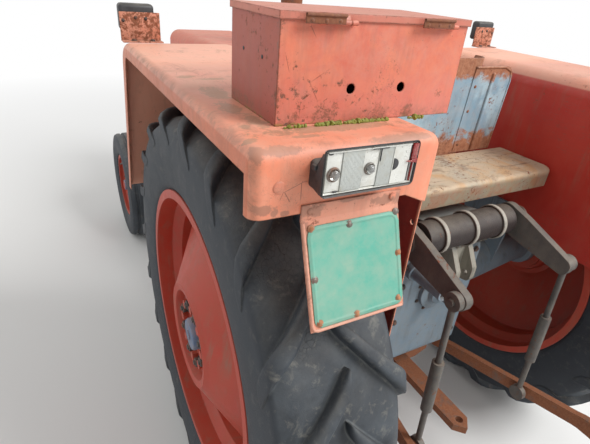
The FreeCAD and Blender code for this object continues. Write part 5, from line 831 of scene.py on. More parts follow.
HUB_BLUE = Paint("hub paint", "casting_paint", screen(40, 74, 118), screen(96, 120, 146), grime=0.7, dusting=0.3)
DECK = DeckPaint(
    "deck paint",
    "deck_paint",
    screen(176, 156, 128),
    screen(190, 172, 144),
    bare=screen(116, 76, 54),
    dirt=screen(112, 84, 64),
    spots=0.75,
    grime=0.9,
    dusting=0.3,
    gloss=0.65,
)
SEAT = SheetPaint(
    "seat paint",
    "seat_paint",
    screen(96, 138, 164),
    screen(150, 178, 190),
    bare=screen(120, 78, 56),
    dirt=screen(108, 92, 80),
    spots=0.7,
    wear=1.0,
)
STEEL = Metal("worn steel", "worn_steel")
DARK_STEEL = Metal("dark nuts", "worn_steel", screen(58, 56, 56), screen(88, 62, 50), 0.4, 0.5, 0.5)
BRASSY = Metal("rusty screws", "worn_steel", screen(196, 156, 120), screen(186, 124, 84), 0.6, 0.2, 0.6)
RUSTY_BROWN = Metal("rusty hinges", "worn_steel", screen(128, 84, 66), screen(118, 66, 48), 0.9, 0.1, 0.7)
CHROME = Metal("dull chrome", "worn_steel", screen(186, 186, 184), screen(140, 104, 76), 0.25, 0.85, 0.25)
SILVER = Metal("silvered bowl", "headlamp_glass", screen(226, 226, 222), screen(150, 134, 112), 0.1, 0.9, 0.16)
RUSTY = Metal("rusty steel", "worn_steel", screen(110, 98, 90), screen(122, 70, 44), 0.9)
SOOT = Metal("sooty iron", "exhaust_iron", screen(86, 78, 72), screen(120, 68, 44), 0.85, 0.4, 0.6)
GREASY = Paint(
    "greasy casting",
    "casting_paint",
    screen(48, 44, 44),
    screen(92, 88, 84),
    bare=screen(104, 78, 62),
    dirt=screen(48, 42, 38),
    dust=screen(146, 136, 120),
    spots=0.7,
    grime=1.0,
    dusting=0.5,
    gloss=0.5,
    cast=0.6,
)
FITTINGS = Paint(
    "engine fittings",
    "worn_steel",
    screen(88, 92, 94),
    screen(124, 126, 122),
    bare=screen(116, 78, 56),
    dirt=screen(62, 54, 48),
    dust=screen(150, 138, 120),
    spots=0.7,
    grime=0.8,
    dusting=0.5,
    cast=0.3,
)
BLACK = Moulding("black plastic", "black_plastic")
DULL_BLACK = Moulding("radiator black", "black_plastic", screen(34, 34, 34), screen(80, 76, 70), 0.7)
DIAL = Moulding("dial face", "black_plastic", screen(30, 30, 32), screen(60, 60, 60), 0.35)
MOSS = Moulding("moss", "toolbox_paint", screen(122, 128, 50), screen(160, 158, 78), 0.85)
LIFT = LiftPaint(
    "lift casting",
    "casting_paint",
    screen(104, 112, 116),
    screen(138, 142, 138),
    bare=screen(104, 78, 62),
    dirt=screen(44, 38, 34),
    dust=screen(150, 140, 124),
    spots=0.6,
    grime=1.0,
    dusting=0.4,
    cast=0.6,
)
LAMP_BLACK = Moulding("lamp housing", "lamp_black", screen(40, 40, 42), screen(84, 84, 86), 0.45)
TYRE = Rubber("tyre rubber", "tyre")
PLATE_GREEN = Paint(
    "plate green",
    "lamp_black",
    screen(62, 148, 128),
    screen(104, 180, 160),
    bare=screen(150, 150, 140),
    dirt=screen(120, 150, 136),
    spots=0.1,
    wear=0.4,
    grime=0.4,
    fade=0.6,
    dusting=0.1,
)
REFLECTOR = Reflector("lamp reflector", "lamp_black")
GREY_RIBS = Reflector("grey lamp band", "lamp_black", screen(196, 199, 195), 0.1)
RED_LENS = Lens("red lens", "lamp_black")
AMBER_LENS = Lens("amber lens", "lamp_black", screen(214, 110, 24))
CLEAR_LENS = Lens("clear lens", "lamp_black", screen(222, 222, 216))
HEADLAMP_GLASS = Glass("headlamp glass", "headlamp_glass", 0.9)
GLASS = Glass("clear glass", "headlamp_glass")


# Shapes


def aim(place: Sequence[float], axis: Sequence[float] = (0, 0, 1)) -> Matrix:
    """Matrix that turns local Z to an axis and moves the origin to a place.

    Args:
        place: point in the row frame, in metres.
        axis: direction that local Z takes.

    Returns:
        The matrix.
    """
    turned = Vector((0, 0, 1)).rotation_difference(Vector(axis).normalized())
    return Matrix.Translation(Vector(place)) @ turned.to_matrix().to_4x4()


class Form:
    """One piece in the making: a mesh shaped with bmesh operators."""

    def __init__(self) -> None:
        """Starts with an empty mesh."""
        self.mesh = bmesh.new()

    def fresh(self, make: Callable[[], Any]) -> list[bmesh.types.BMVert]:
        """The vertices that a step adds."""
        before = set(self.mesh.verts)
        make()
        return [vert for vert in self.mesh.verts if vert not in before]

    def move(self, verts: Iterable[bmesh.types.BMVert], matrix: Matrix) -> None:
        """Moves vertices by a matrix."""
        bmesh.ops.transform(self.mesh, matrix=matrix, verts=list(verts))

    def soften(self, verts: Iterable[bmesh.types.BMVert], width: float, segments: int = 2) -> None:
        """Rounds the sharp edges between vertices.

        Args:
            verts: vertices of the part to round.
            width: width of the rounding, in metres.
            segments: faces across it.
        """
        chosen = set(verts)
        edges = [
            edge
            for edge in self.mesh.edges
            if edge.verts[0] in chosen and edge.verts[1] in chosen and edge.is_manifold
            and edge.calc_face_angle(0.0) > math.radians(30)
        ]
        bmesh.ops.bevel(
            self.mesh, geom=edges, offset=width, segments=segments, profile=0.5, affect="EDGES", material=-1
        )

    def slice(self, place: Sequence[float], normal: Sequence[float], clear: bool = False) -> None:
        """Cuts the mesh along a plane.

        Args:
            place: point of the plane.
            normal: its direction.
            clear: drops what lies beyond it and closes the cut.
        """
        items = self.mesh.verts[:] + self.mesh.edges[:] + self.mesh.faces[:]
        bmesh.ops.bisect_plane(self.mesh, geom=items, plane_co=place, plane_no=normal, clear_outer=clear)
        if clear:
            bmesh.ops.holes_fill(self.mesh, edges=self.mesh.edges[:])

    def turned(
        self,
        section: Sequence[tuple[float, float]],
        place: Matrix,
        steps: int = 48,
        closed: bool = False,
    ) -> list[bmesh.types.BMVert]:
        """Turns a section about local Z.

        Args:
            section: points as (radius, height).
            place: matrix from the local axes to the row frame.
            steps: faces round the turn.
            closed: joins the last point to the first.

        Returns:
            The new vertices.
        """

        def make() -> None:
            ring = [self.mesh.verts.new((radius, 0.0, height)) for radius, height in section]
            pairs = list(zip(ring, ring[1:])) + ([(ring[-1], ring[0])] if closed else [])
            edges = [self.mesh.edges.new(pair) for pair in pairs]
            bmesh.ops.spin(
                self.mesh,
                geom=ring + edges,
                cent=(0, 0, 0),
                axis=(0, 0, 1),
                angle=math.tau,
                steps=steps,
                use_merge=True,
            )

        verts = self.fresh(make)
        bmesh.ops.remove_doubles(self.mesh, verts=verts, dist=1e-6)
        verts = [vert for vert in verts if vert.is_valid]
        self.move(verts, place)
        return verts

    def prism(
        self, sides: int, radius: float, height: float, place: Matrix, round_off: float = 0.0
    ) -> list[bmesh.types.BMVert]:
        """Upright prism on local Z, such as a nut, a pin or a disc.

        Args:
            sides: sides of its outline.
            radius: radius to its corners.
            height: height above the local origin.
            place: matrix from the local axes to the row frame.
            round_off: rounding of its edges.

        Returns:
            The new vertices.
        """

        def make() -> None:
            made = bmesh.ops.create_circle(self.mesh, cap_ends=True, radius=radius, segments=sides)
            face = made["verts"][0].link_faces[0]
            grown = bmesh.ops.extrude_face_region(self.mesh, geom=[face])["geom"]
            tops = [item for item in grown if isinstance(item, bmesh.types.BMVert)]
            bmesh.ops.translate(self.mesh, vec=(0, 0, height), verts=tops)

        verts = self.fresh(make)
        if round_off:
            old = set(self.mesh.verts) - set(verts)
            self.soften(verts, round_off)
            verts = [vert for vert in self.mesh.verts if vert not in old]
        self.move(verts, place)
        return verts

    def block(self, size: Point, place: Matrix, round_off: float = 0.0, segments: int = 2) -> list[bmesh.types.BMVert]:
        """Block centred on the local origin.

        Args:
            size: size along the local axes.
            place: matrix from the local axes to the row frame.
            round_off: rounding of its edges.
            segments: faces across the rounding.

        Returns:
            The new vertices.
        """

        def make() -> None:
            bmesh.ops.create_cube(self.mesh, size=1.0, matrix=Matrix.Diagonal(Vector((*size, 1.0))))

        verts = self.fresh(make)
        if round_off:
            old = set(self.mesh.verts) - set(verts)
            self.soften(verts, round_off, segments)
            verts = [vert for vert in self.mesh.verts if vert not in old]
        self.move(verts, place)
        return verts

    def tube(self, path: Sequence[Point], radius: float, sides: int = 12) -> list[bmesh.types.BMVert]:
        """Round bar or pipe that follows points, with closed ends.

        Args:
            path: points of its middle line.
            radius: its radius.
            sides: faces round it.

        Returns:
            The new vertices.
        """
        points = [Vector(point) for point in path]

        def make() -> None:
            heading = (points[1] - points[0]).normalized()
            made = bmesh.ops.create_circle(
                self.mesh, cap_ends=True, radius=radius, segments=sides, matrix=aim(points[0], heading)
            )
            face = made["verts"][0].link_faces[0]
            for index in range(1, len(points)):
                following = heading
                if index + 1 < len(points):
                    following = (points[index + 1] - points[index]).normalized()
                along = (points[index] - points[index - 1]).normalized()
                middle = (along + following).normalized()
                grown = bmesh.ops.extrude_discrete_faces(self.mesh, faces=[face])["faces"]
                face = grown[0]
                turn = heading.rotation_difference(middle).to_matrix()
                centre = face.calc_center_median()
                bmesh.ops.rotate(self.mesh, cent=centre, matrix=turn, verts=face.verts)
                bmesh.ops.translate(self.mesh, vec=points[index] - centre, verts=face.verts)
                heading = middle

        return self.fresh(make)

    def bolt(self, place: Sequence[float], axis: Sequence[float], across: float, proud: float = 0.6) -> None:
        """Hexagon head on a washer.

        Args:
            place: point on the surface under the washer.
            axis: direction away from the surface.
            across: radius to the hexagon's corners.
            proud: height of the head as a share of that radius.
        """
        matrix = aim(place, axis)
        self.prism(20, across * 1.28, across * 0.16, matrix, across * 0.05)
        lifted = matrix @ Matrix.Translation((0, 0, across * 0.16))
        self.prism(6, across, across * proud, lifted, across * 0.1)

    def dome(self, place: Sequence[float], axis: Sequence[float], radius: float, height: float) -> None:
        """Round head of a coach bolt, rivet or screw."""
        steps = 6
        arc = [math.pi / 2 * step / steps for step in range(steps + 1)]
        section = [(radius * math.cos(angle), height * math.sin(angle)) for angle in arc]
        self.turned([(radius, -0.0005)] + section, aim(place, axis), 20)

    def finish(
        self,
        name: str,
        finish: Finish,
        body: str,
        replaces: Sequence[str] = (),
        crease: float = 32.0,
    ) -> bpy.types.Object:
        """Turns the mesh into a dressed piece that rides on its body.

        Args:
            name: name of the piece.
            finish: its finish.
            body: CAD body that carries it.
            replaces: CAD nodes that it stands for.
            crease: angle in degrees past which an edge stays sharp.

        Returns:
            The piece.
        """
        bmesh.ops.recalc_face_normals(self.mesh, faces=self.mesh.faces)
        data = bpy.data.meshes.new(name)
        self.mesh.to_mesh(data)
        self.mesh.free()
        data.shade_smooth()
        data.set_sharp_from_angle(angle=math.radians(crease))
        data.materials.append(finish.material())
        piece = bpy.data.objects.new(name, data)
        bpy.context.scene.collection.objects.link(piece)
        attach(piece, body)
        if replaces:
            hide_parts(*replaces)
        LOG.info("%s: %d faces on %s", name, len(data.polygons), body)
        return piece


def dress_node(node: str, finish: Finish) -> None:
    """Gives a CAD node its finish."""
    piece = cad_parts[node]
    piece.data.materials.clear()
    piece.data.materials.append(finish.material())
    LOG.info("%s takes %s", node, finish.name)


# Wheels


@dataclass
class RearTyre:
    """Rear tyre with worn lugs that run down over its shoulders."""

    side: Side
    lug: float = 0.033
    lugs: int = 20
    bead_half: float = 0.1397
    bore: float = 0.4573
    flange: float = 0.022
    steps: int = 120

    def build(self) -> None:
        """Makes the carcass and its lugs as one piece that replaces the CAD tyre."""
        node = f"rear_tyre_{self.side.word}"
        low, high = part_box(node)
        self.half = (high.x - low.x) / 2
        self.outer = (high.z - low.z) / 2
        self.crown = self.outer - self.lug
        middle = (low + high) / 2
        form = Form()
        place = aim(middle, (1, 0, 0))
        form.turned([(radius, along) for along, radius in self.section()], place, self.steps, closed=True)
        for row in (-1, 1):
            for index in range(self.lugs):
                turn = (index + (0.25 if row > 0 else -0.25)) * math.tau / self.lugs
                self.add_lug(form, place, row, turn)
        form.finish(node + "_rubber", TYRE, f"rear_wheel_{self.side.word}", [node], 50.0)

    def section(self) -> list[tuple[float, float]]:
        """Closed section as (offset from the middle plane, radius)."""
        half = self.outline()
        return half + [(-along, radius) for along, radius in reversed(half)]

    def outline(self) -> list[tuple[float, float]]:
        """One half of the section, from the bead's toe round the sidewall to the crown."""
        rise = self.crown - self.bore
        wall = [
            (self.bead_half - 0.012, self.bore),
            (self.bead_half, self.bore + 0.004),
            (self.bead_half, self.bore + self.flange + 0.003),
            (self.bead_half + 0.004, self.bore + self.flange + 0.007),
        ]
        turns = 9
        for step in range(turns + 1):
            share = step / turns
            bulge = math.sin(math.pi * (0.14 + 0.62 * share))
            along = self.bead_half + (self.half - 0.0008 - self.bead_half) * bulge
            wall.append((along, self.bore + self.flange + 0.012 + (rise * 0.83 - self.flange) * share))
        shoulder = wall[-1]
        for step in range(1, 6):
            share = step / 5
            along = shoulder[0] - (shoulder[0] - self.half * 0.62) * share
            wall.append((along, shoulder[1] + (self.crown - 0.004 - shoulder[1]) * math.sin(share * math.pi / 2)))
        wall += [(self.half * 0.34, self.crown - 0.001), (0.002, self.crown)]
        return wall

    def surface(self, travel: float) -> tuple[float, float, float, float]:
        """Point of the carcass at a distance from the crown's middle.

        Args:
            travel: distance along the section from the middle, in metres.

        Returns:
            Offset from the middle plane, radius, and the outward normal's two parts.
        """
        points = list(reversed(self.outline()))
        for first, last in zip(points, points[1:]):
            length = math.hypot(last[0] - first[0], last[1] - first[1])
            if travel <= length:
                share = travel / length
                along = first[0] + (last[0] - first[0]) * share
                radius = first[1] + (last[1] - first[1]) * share
                return along, radius, -(last[1] - first[1]) / length, (last[0] - first[0]) / length
            travel -= length
        raise ValueError("the lug is longer than the section")

    def add_lug(self, form: Form, place: Matrix, row: int, turn: float) -> None:
        """Adds one lug.

        Args:
            form: piece that takes it.
            place: matrix of the wheel's axis.
            row: 1 for the row on the +X side, -1 for the other.
            turn: its angle round the wheel.
        """
        length = 0.215
        width = 0.046
        blank = Form()
        verts = blank.block((length, width, 0.05), Matrix.Translation((length / 2, 0, 0.025)))
        lengthwise = [edge for edge in blank.mesh.edges if abs(edge.verts[0].co.x - edge.verts[1].co.x) > length / 2]
        bmesh.ops.subdivide_edges(blank.mesh, edges=lengthwise, cuts=11, use_grid_fill=True)
        blank.soften(list(blank.mesh.verts), 0.013, 3)
        for vert in blank.mesh.verts:
            travel, across, up = vert.co
            share = travel / length
            along, radius, out_x, out_r = self.surface(max(travel - 0.012, 0.0) + 0.0005)
            along -= max(0.012 - travel, 0.0)
            height = self.lug * (1.0 if share < 0.62 else 1.0 - 0.62 * ((share - 0.62) / 0.38) ** 1.5)
            wide = 0.8 + 0.5 * share
            lift = (up / 0.05) * (height + 0.012) - 0.012
            key = Vector((row * along * 9, math.cos(turn) * 7, math.sin(turn) * 7 + across * 12))
            if up > 0.03:
                lift -= abs(noise.noise(key)) * 0.006
            lean = (across * wide + 0.245 * share**0.92 - 0.105) / self.crown
            spin = turn + lean
            reach = min(radius + out_r * lift, self.outer - 0.0004)
            offset = min(along + out_x * lift, self.half - 0.0002)
            vert.co = Vector((math.cos(spin) * reach, math.sin(spin) * reach, row * offset))
        data = bpy.data.meshes.new("lug")
        blank.mesh.to_mesh(data)
        blank.mesh.free()

        def join() -> None:
            form.mesh.from_mesh(data)

        form.move(form.fresh(join), place)
        bpy.data.meshes.remove(data)


@dataclass
class FrontTyre:
    """Ribbed front tyre."""

    side: Side
    rib: float = 0.012
    bead_half: float = 0.0637
    bore: float = 0.2033
    flange: float = 0.017

    def build(self) -> None:
        """Makes the tyre as one turned piece that replaces the CAD tyre."""
        node = f"front_tyre_{self.side.word}"
        low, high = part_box(node)
        half = (high.x - low.x) / 2
        top = (high.z - low.z) / 2
        rise = top - self.bore
        outline = [
            (self.bead_half - 0.01, self.bore),
            (self.bead_half, self.bore + 0.003),
            (self.bead_half, self.bore + self.flange + 0.003),
        ]
        for step in range(11):
            share = step / 10
            bulge = math.sin(math.pi * (0.16 + 0.6 * share))
            along = self.bead_half + (half - 0.0005 - self.bead_half) * bulge
            outline.append((along, self.bore + self.flange + 0.008 + (rise * 0.88 - self.flange) * share))
        shoulder = half - 0.022
        outline += [
            (shoulder + 0.006, top - 0.008),
            (shoulder, top - 0.0045),
            (shoulder - 0.014, top - 0.003),
            (shoulder - 0.017, top - 0.004),
            (shoulder - 0.019, top - self.rib),
            (shoulder - 0.033, top - self.rib),
            (shoulder - 0.035, top - 0.003),
            (shoulder - 0.038, top - 0.0004),
        ]
        section = outline + [(-along, radius) for along, radius in reversed(outline)]
        form = Form()
        place = aim((low + high) / 2, (1, 0, 0))
        form.turned([(radius, along) for along, radius in section], place, 96, closed=True)
        form.finish(node + "_rubber", TYRE, f"front_wheel_{self.side.word}", [node], 40.0)


# Tail lamps and number plate


class LampState(Enum):
    """What is left of a tail lamp."""

    BROKEN = "lens gone, reflector bare"
    WHOLE = "lens in place"


@dataclass
class TailLamp:
    """Three-part tail lamp: tapered black housing, white reflector, bulbs and its lens."""

    side: Side
    state: LampState
    low: Vector
    high: Vector
    lip: float = 0.0042
    rim: float = 0.011
    foot: float = 0.012
    slope: float = 0.030
    depth: float = 0.0095

    def build(self) -> None:
        """Makes the housing, the reflector with its chambers, the bulbs and the lens."""
        self.centre = (self.low + self.high) / 2
        self.size = self.high - self.low
        self.wide = self.size.x - 2 * self.lip
        self.tall = self.size.z - 2 * self.lip
        self.housing()
        self.tray()
        if self.state is LampState.BROKEN:
            self.chambers()
            self.bulbs()
            self.remnant()
        else:
            self.lens()

    def spot(self, share: float, up: float, inward: float = 0.0) -> Vector:
        """Point in the lamp.

        Args:
            share: 0 at the outer end of the tray, 1 at the inner end.
            up: height above its middle, as a share of the tray's height.
            inward: distance in from the rim.

        Returns:
            The point in the row frame.
        """
        across = self.centre.x - self.side.value * (share - 0.5) * self.wide
        return Vector((across, self.low.y + inward, self.centre.z + up * self.tall))

    def slab(self, form: Form, start: float, end: float, bottom: float, top: float, near: float, far: float) -> None:
        """Adds a slab between two shares, two heights and two distances from the rim."""
        size = (abs(end - start) * self.wide, far - near, (top - bottom) * self.tall)
        middle = self.spot((start + end) / 2, (bottom + top) / 2, (near + far) / 2)
        form.block(size, Matrix.Translation(middle), min(0.0006, size[1] * 0.2))

    def piece(self, form: Form, word: str, finish: Finish, replaces: Sequence[str] = ()) -> None:
        """Finishes one piece of the lamp."""
        form.finish(f"tail_lamp_{self.side.word}_{word}", finish, "chassis", replaces)

    def housing(self) -> None:
        """Rounded housing that narrows to its foot, open to the rear."""
        form = Form()
        form.block(tuple(self.size), Matrix.Translation(self.centre))
        for level in (self.low.y + self.rim, self.high.y - self.foot):
            form.slice((0, level, 0), (0, 1, 0))
        for vert in form.mesh.verts:
            if vert.co.y > self.high.y - self.foot - 0.001:
                vert.co.x -= math.copysign(0.004, vert.co.x - self.centre.x)
                vert.co.z -= self.slope if vert.co.z > self.centre.z else 0.0
        lengthwise = [edge for edge in form.mesh.edges if abs(edge.verts[0].co.y - edge.verts[1].co.y) > 0.005]
        bmesh.ops.bevel(
            form.mesh, geom=lengthwise, offset=0.009, segments=5, profile=0.5, affect="EDGES", material=-1
        )
        rear = [face for face in form.mesh.faces if face.calc_center_median().y < self.low.y + 0.0005]
        bmesh.ops.inset_region(form.mesh, faces=rear, thickness=self.lip, use_even_offset=True)
        bmesh.ops.translate(form.mesh, vec=(0, self.depth, 0), verts=list({v for f in rear for v in f.verts}))
        form.soften(list(form.mesh.verts), 0.0012, 2)
        for end in (0.0, 1.0):
            place = self.spot(end, 0.02, 0.03) + Vector((self.side.value * (0.5 - end) * 0.0035, 0, 0))
            form.block((0.005, 0.012, 0.008), Matrix.Translation(place), 0.0012)
        self.piece(form, "housing", LAMP_BLACK, ["tail_lamps"])

    def tray(self) -> None:
        """White reflector tray with a raised edge."""
        form = Form()
        place = Matrix.Translation(self.spot(0.5, 0.0, self.depth - 0.0036))
        form.block((self.wide - 0.0012, 0.0070, self.tall - 0.0012), place)
        rear = min((face for face in form.mesh.faces), key=lambda face: face.calc_center_median().y)
        bmesh.ops.inset_region(form.mesh, faces=[rear], thickness=0.0018, use_even_offset=True)
        bmesh.ops.translate(form.mesh, vec=(0, 0.0055, 0), verts=list(rear.verts))
        form.soften(list(form.mesh.verts), 0.0005, 2)
        self.piece(form, "reflector", REFLECTOR)

    def chambers(self) -> None:
        """Raised floors, grey fluted bands, the slanted end of the tray and its dark gaps."""
        white = Form()
        for start, end in ((0.02, 0.172), (0.408, 0.57)):
            self.slab(white, start, end, -0.44, 0.43, 0.0048, 0.0078)
        self.facets(white, 0.735, 0.925)
        self.slab(white, 0.02, 0.93, 0.452, 0.475, 0.0012, 0.0078)
        self.piece(white, "chambers", REFLECTOR)
        grey = Form()
        for start, end in ((0.175, 0.405), (0.574, 0.732)):
            self.slab(grey, start, end, -0.46, 0.45, 0.0034, 0.0078)
            flutes = round((end - start) / 0.0135)
            for index in range(flutes):
                share = start + (end - start) * (index + 0.5) / flutes
                self.slab(grey, share - 0.0026, share + 0.0026, -0.455, 0.445, 0.0029, 0.0038)
        self.piece(grey, "bands", GREY_RIBS)
        dark = Form()
        self.slab(dark, 0.577, 0.590, 0.14, 0.47, 0.0024, 0.0050)
        self.slab(dark, 0.48, 0.66, 0.435, 0.462, 0.0009, 0.0030)
        self.slab(dark, 0.03, 0.07, 0.405, 0.44, 0.0036, 0.0070)
        self.slab(dark, 0.115, 0.155, -0.47, -0.435, 0.0036, 0.0070)
        self.slab(dark, 0.925, 0.945, -0.44, 0.47, 0.0030, 0.0085)
        self.piece(dark, "slots", LAMP_BLACK)

    def facets(self, form: Form, start: float, end: float) -> None:
        """Adds the tray's end, four facets that fall to a bulb hole."""
        size = ((end - start) * self.wide, 0.0052, 0.9 * self.tall)
        verts = form.block(size, Matrix.Translation(self.spot((start + end) / 2, -0.005, 0.0052)))
        faces = [face for face in form.mesh.faces if all(vert in verts for vert in face.verts)]
        rear = min(faces, key=lambda face: face.calc_center_median().y)
        tip = bmesh.ops.poke(form.mesh, faces=[rear])["verts"]
        bmesh.ops.translate(form.mesh, vec=(self.side.value * 0.006, 0.0046, 0.004), verts=tip)

    def bulbs(self) -> None:
        """Two bulbs in their sockets and the half-round hole of the third."""
        glass = Form()
        sockets = Form()
        for share, up, radius in ((0.093, -0.04, 0.0115), (0.478, -0.01, 0.0098)):
            place = aim(self.spot(share, up, 0.0052), (0, -1, 0))
            ring = [(radius, 0.0), (radius * 1.06, 0.0016), (radius * 0.98, 0.0034), (radius * 0.8, 0.0036)]
            sockets.turned([(0.0, 0.0)] + ring + [(radius * 0.76, 0.001), (0.0, 0.001)], place, 28)
            steps = [math.pi * step / 12 for step in range(13)]
            bulb = [(radius * 0.7 * math.sin(angle), 0.0056 - 0.0052 * math.cos(angle)) for angle in steps]
            glass.turned(bulb, place, 24)
        self.piece(glass, "bulbs", GLASS)
        self.piece(sockets, "sockets", STEEL)
        hole = Form()
        hole.prism(24, 0.0098, 0.0022, aim(self.spot(0.752, 0.02, 0.0046), (0, -1, 0)), 0.0004)
        hole.slice(self.spot(0.752, 0.0), (self.side.value, 0, 0), clear=True)
        self.piece(hole, "bulb_hole", LAMP_BLACK)

    def remnant(self) -> None:
        """The piece of red lens that is left at the inner end, with its pointed clip."""
        form = Form()
        self.slab(form, 0.948, 1.012, 0.10, 0.47, -0.0035 + 0.0040, 0.0085)
        form.slice(self.spot(0.955, 0.0), (-self.side.value, 0.0, 0.35), clear=False)
        self.slab(form, 0.90, 1.018, 0.0, 0.11, 0.0004, 0.0060)
        for vert in form.mesh.verts:
            share = 0.5 - (vert.co.x - self.centre.x) / self.wide * self.side.value
            if share < 0.91:
                vert.co.z += (self.spot(0, 0.055).z - vert.co.z) * 0.85
        self.slab(form, 0.985, 1.0, -0.47, 0.0, 0.004, 0.0085)
        self.piece(form, "lens_remnant", RED_LENS)

    def lens(self) -> None:
        """Whole lens in two colours with moulded edges and two screws."""
        screws = Form()
        for name, start, end, finish in (("amber", 0.004, 0.335, AMBER_LENS), ("red", 0.341, 0.996, RED_LENS)):
            form = Form()
            self.slab(form, start, end, -0.49, 0.49, 0.0004, 0.0088)
            face = min(form.mesh.faces, key=lambda face: face.calc_center_median().y)
            bmesh.ops.inset_region(form.mesh, faces=[face], thickness=0.004, use_even_offset=True)
            bmesh.ops.translate(form.mesh, vec=(0, 0.0016, 0), verts=list(face.verts))
            self.piece(form, f"{name}_lens", finish)
            screws.dome(self.spot((start + end) / 2, 0.4, 0.0012), (0, -1, 0), 0.0036, 0.0010)
        self.piece(screws, "screws", STEEL)


@dataclass
class NumberPlate:
    """Blank green plate screwed to its leaning carrier."""

    lean: float = math.radians(21)
    flange: float = 0.028
    skin: float = 0.0025
    left: float = 0.0085
    right: float = 0.2035
    top: float = 0.012
    bottom: float = 0.192
    corner: float = 0.016

    def build(self) -> None:
        """Makes the plate, the carrier's bent edge, the screws and the flange's bolts."""
        low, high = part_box("number_plate")
        self.origin = Vector((low.x, high.y - self.skin, high.z - self.flange))
        self.width = high.x - low.x
        self.down = Vector((0, -math.sin(self.lean), -math.cos(self.lean)))
        self.out = Vector((0, -math.cos(self.lean), math.sin(self.lean)))
        self.sheet()
        self.edge()
        self.screws()

    def matrix(self, across: float, down: float, out: float = 0.0) -> Matrix:
        """Matrix with local X across, local Y up the carrier and local Z out of it.

        Args:
            across: distance from the carrier's left edge.
            down: distance below its bend.
            out: distance off its rear face.

        Returns:
            The matrix.
        """
        place = self.origin + Vector((across, 0, 0)) + self.down * down + self.out * out
        return Matrix.Translation(place) @ Matrix((Vector((1, 0, 0)), -self.down, self.out)).transposed().to_4x4()

    def sheet(self) -> None:
        """Plate with two cut corners at the top, two round ones at the foot and a pressed rim."""
        form = Form()
        size = (self.right - self.left, self.bottom - self.top, 0.0014)
        form.block(size, Matrix.Translation((0, 0, 0.0007)))
        upright = [edge for edge in form.mesh.edges if abs(edge.verts[0].co.z - edge.verts[1].co.z) > 0.001]
        for high_edge, width, steps in ((True, 0.02, 3), (False, self.corner, 6)):
            chosen = [edge for edge in upright if edge.is_valid and (edge.verts[0].co.y > 0) is high_edge]
            bmesh.ops.bevel(
                form.mesh, geom=chosen, offset=width, segments=steps, profile=0.5, affect="EDGES", material=-1
            )
        for thickness, lift in ((0.0035, 0.0), (0.0018, 0.0009), (0.0018, 0.0), (0.0018, -0.0009)):
            tops = [face for face in form.mesh.faces if face.normal.z > 0.9]
            top = max(tops, key=lambda face: face.calc_area())
            bmesh.ops.inset_region(form.mesh, faces=[top], thickness=thickness, use_even_offset=True)
            bmesh.ops.translate(form.mesh, vec=(0, 0, lift), verts=list(top.verts))
        form.move(form.mesh.verts, self.matrix((self.left + self.right) / 2, (self.top + self.bottom) / 2, 0.0003))
        form.finish("number_plate_sheet", PLATE_GREEN, "chassis", crease=20.0)

    def edge(self) -> None:
        """Bent rim down the carrier's outer edge and round its lower corner."""
        form = Form()
        points = [(0.0035, 0.004), (0.0035, 0.186), (0.0065, 0.193), (0.014, 0.1955), (self.width - 0.004, 0.1955)]
        path = [tuple(self.matrix(across, down, 0.0006).translation) for across, down in points]
        form.tube(path, 0.0032, 10)
        form.finish("number_plate_carrier_rim", CARRIER_RIM, "chassis")

    def screws(self) -> None:
        """Screws round the plate, some of them pale and some rusty, and the flange's bolts."""
        pale = Form()
        rusty = Form()
        middle = (self.left + self.right) / 2
        foot = self.bottom - 0.009
        waist = (self.top + self.bottom) / 2
        spots = [
            (rusty, self.left + 0.009, self.top + 0.003), (pale, middle - 0.012, self.top + 0.008),
            (pale, self.right - 0.006, self.top + 0.002), (pale, self.left + 0.007, waist + 0.002),
            (rusty, self.right - 0.006, waist - 0.010), (rusty, self.left + 0.010, foot),
            (rusty, middle - 0.010, foot + 0.003), (rusty, self.right - 0.011, foot - 0.003),
        ]
        for form, across, down in spots:
            matrix = self.matrix(across, down, 0.0012)
            form.prism(22, 0.0068, 0.0012, matrix, 0.0003)
            form.dome(matrix @ Vector((0, 0, 0.001)), self.out, 0.0046, 0.0026)
        bolts = Form()
        for across in (0.017, 0.188):
            place = self.origin + Vector((across, 0, 0.015))
            bolts.dome(place, (0, -1, 0), 0.0062, 0.0035)
        pale.finish("number_plate_screws", STEEL, "chassis")
        rusty.finish("number_plate_rusty_screws", BRASSY, "chassis")
        bolts.finish("number_plate_bolts", CARRIER, "chassis")


# Fenders, toolbox and seat


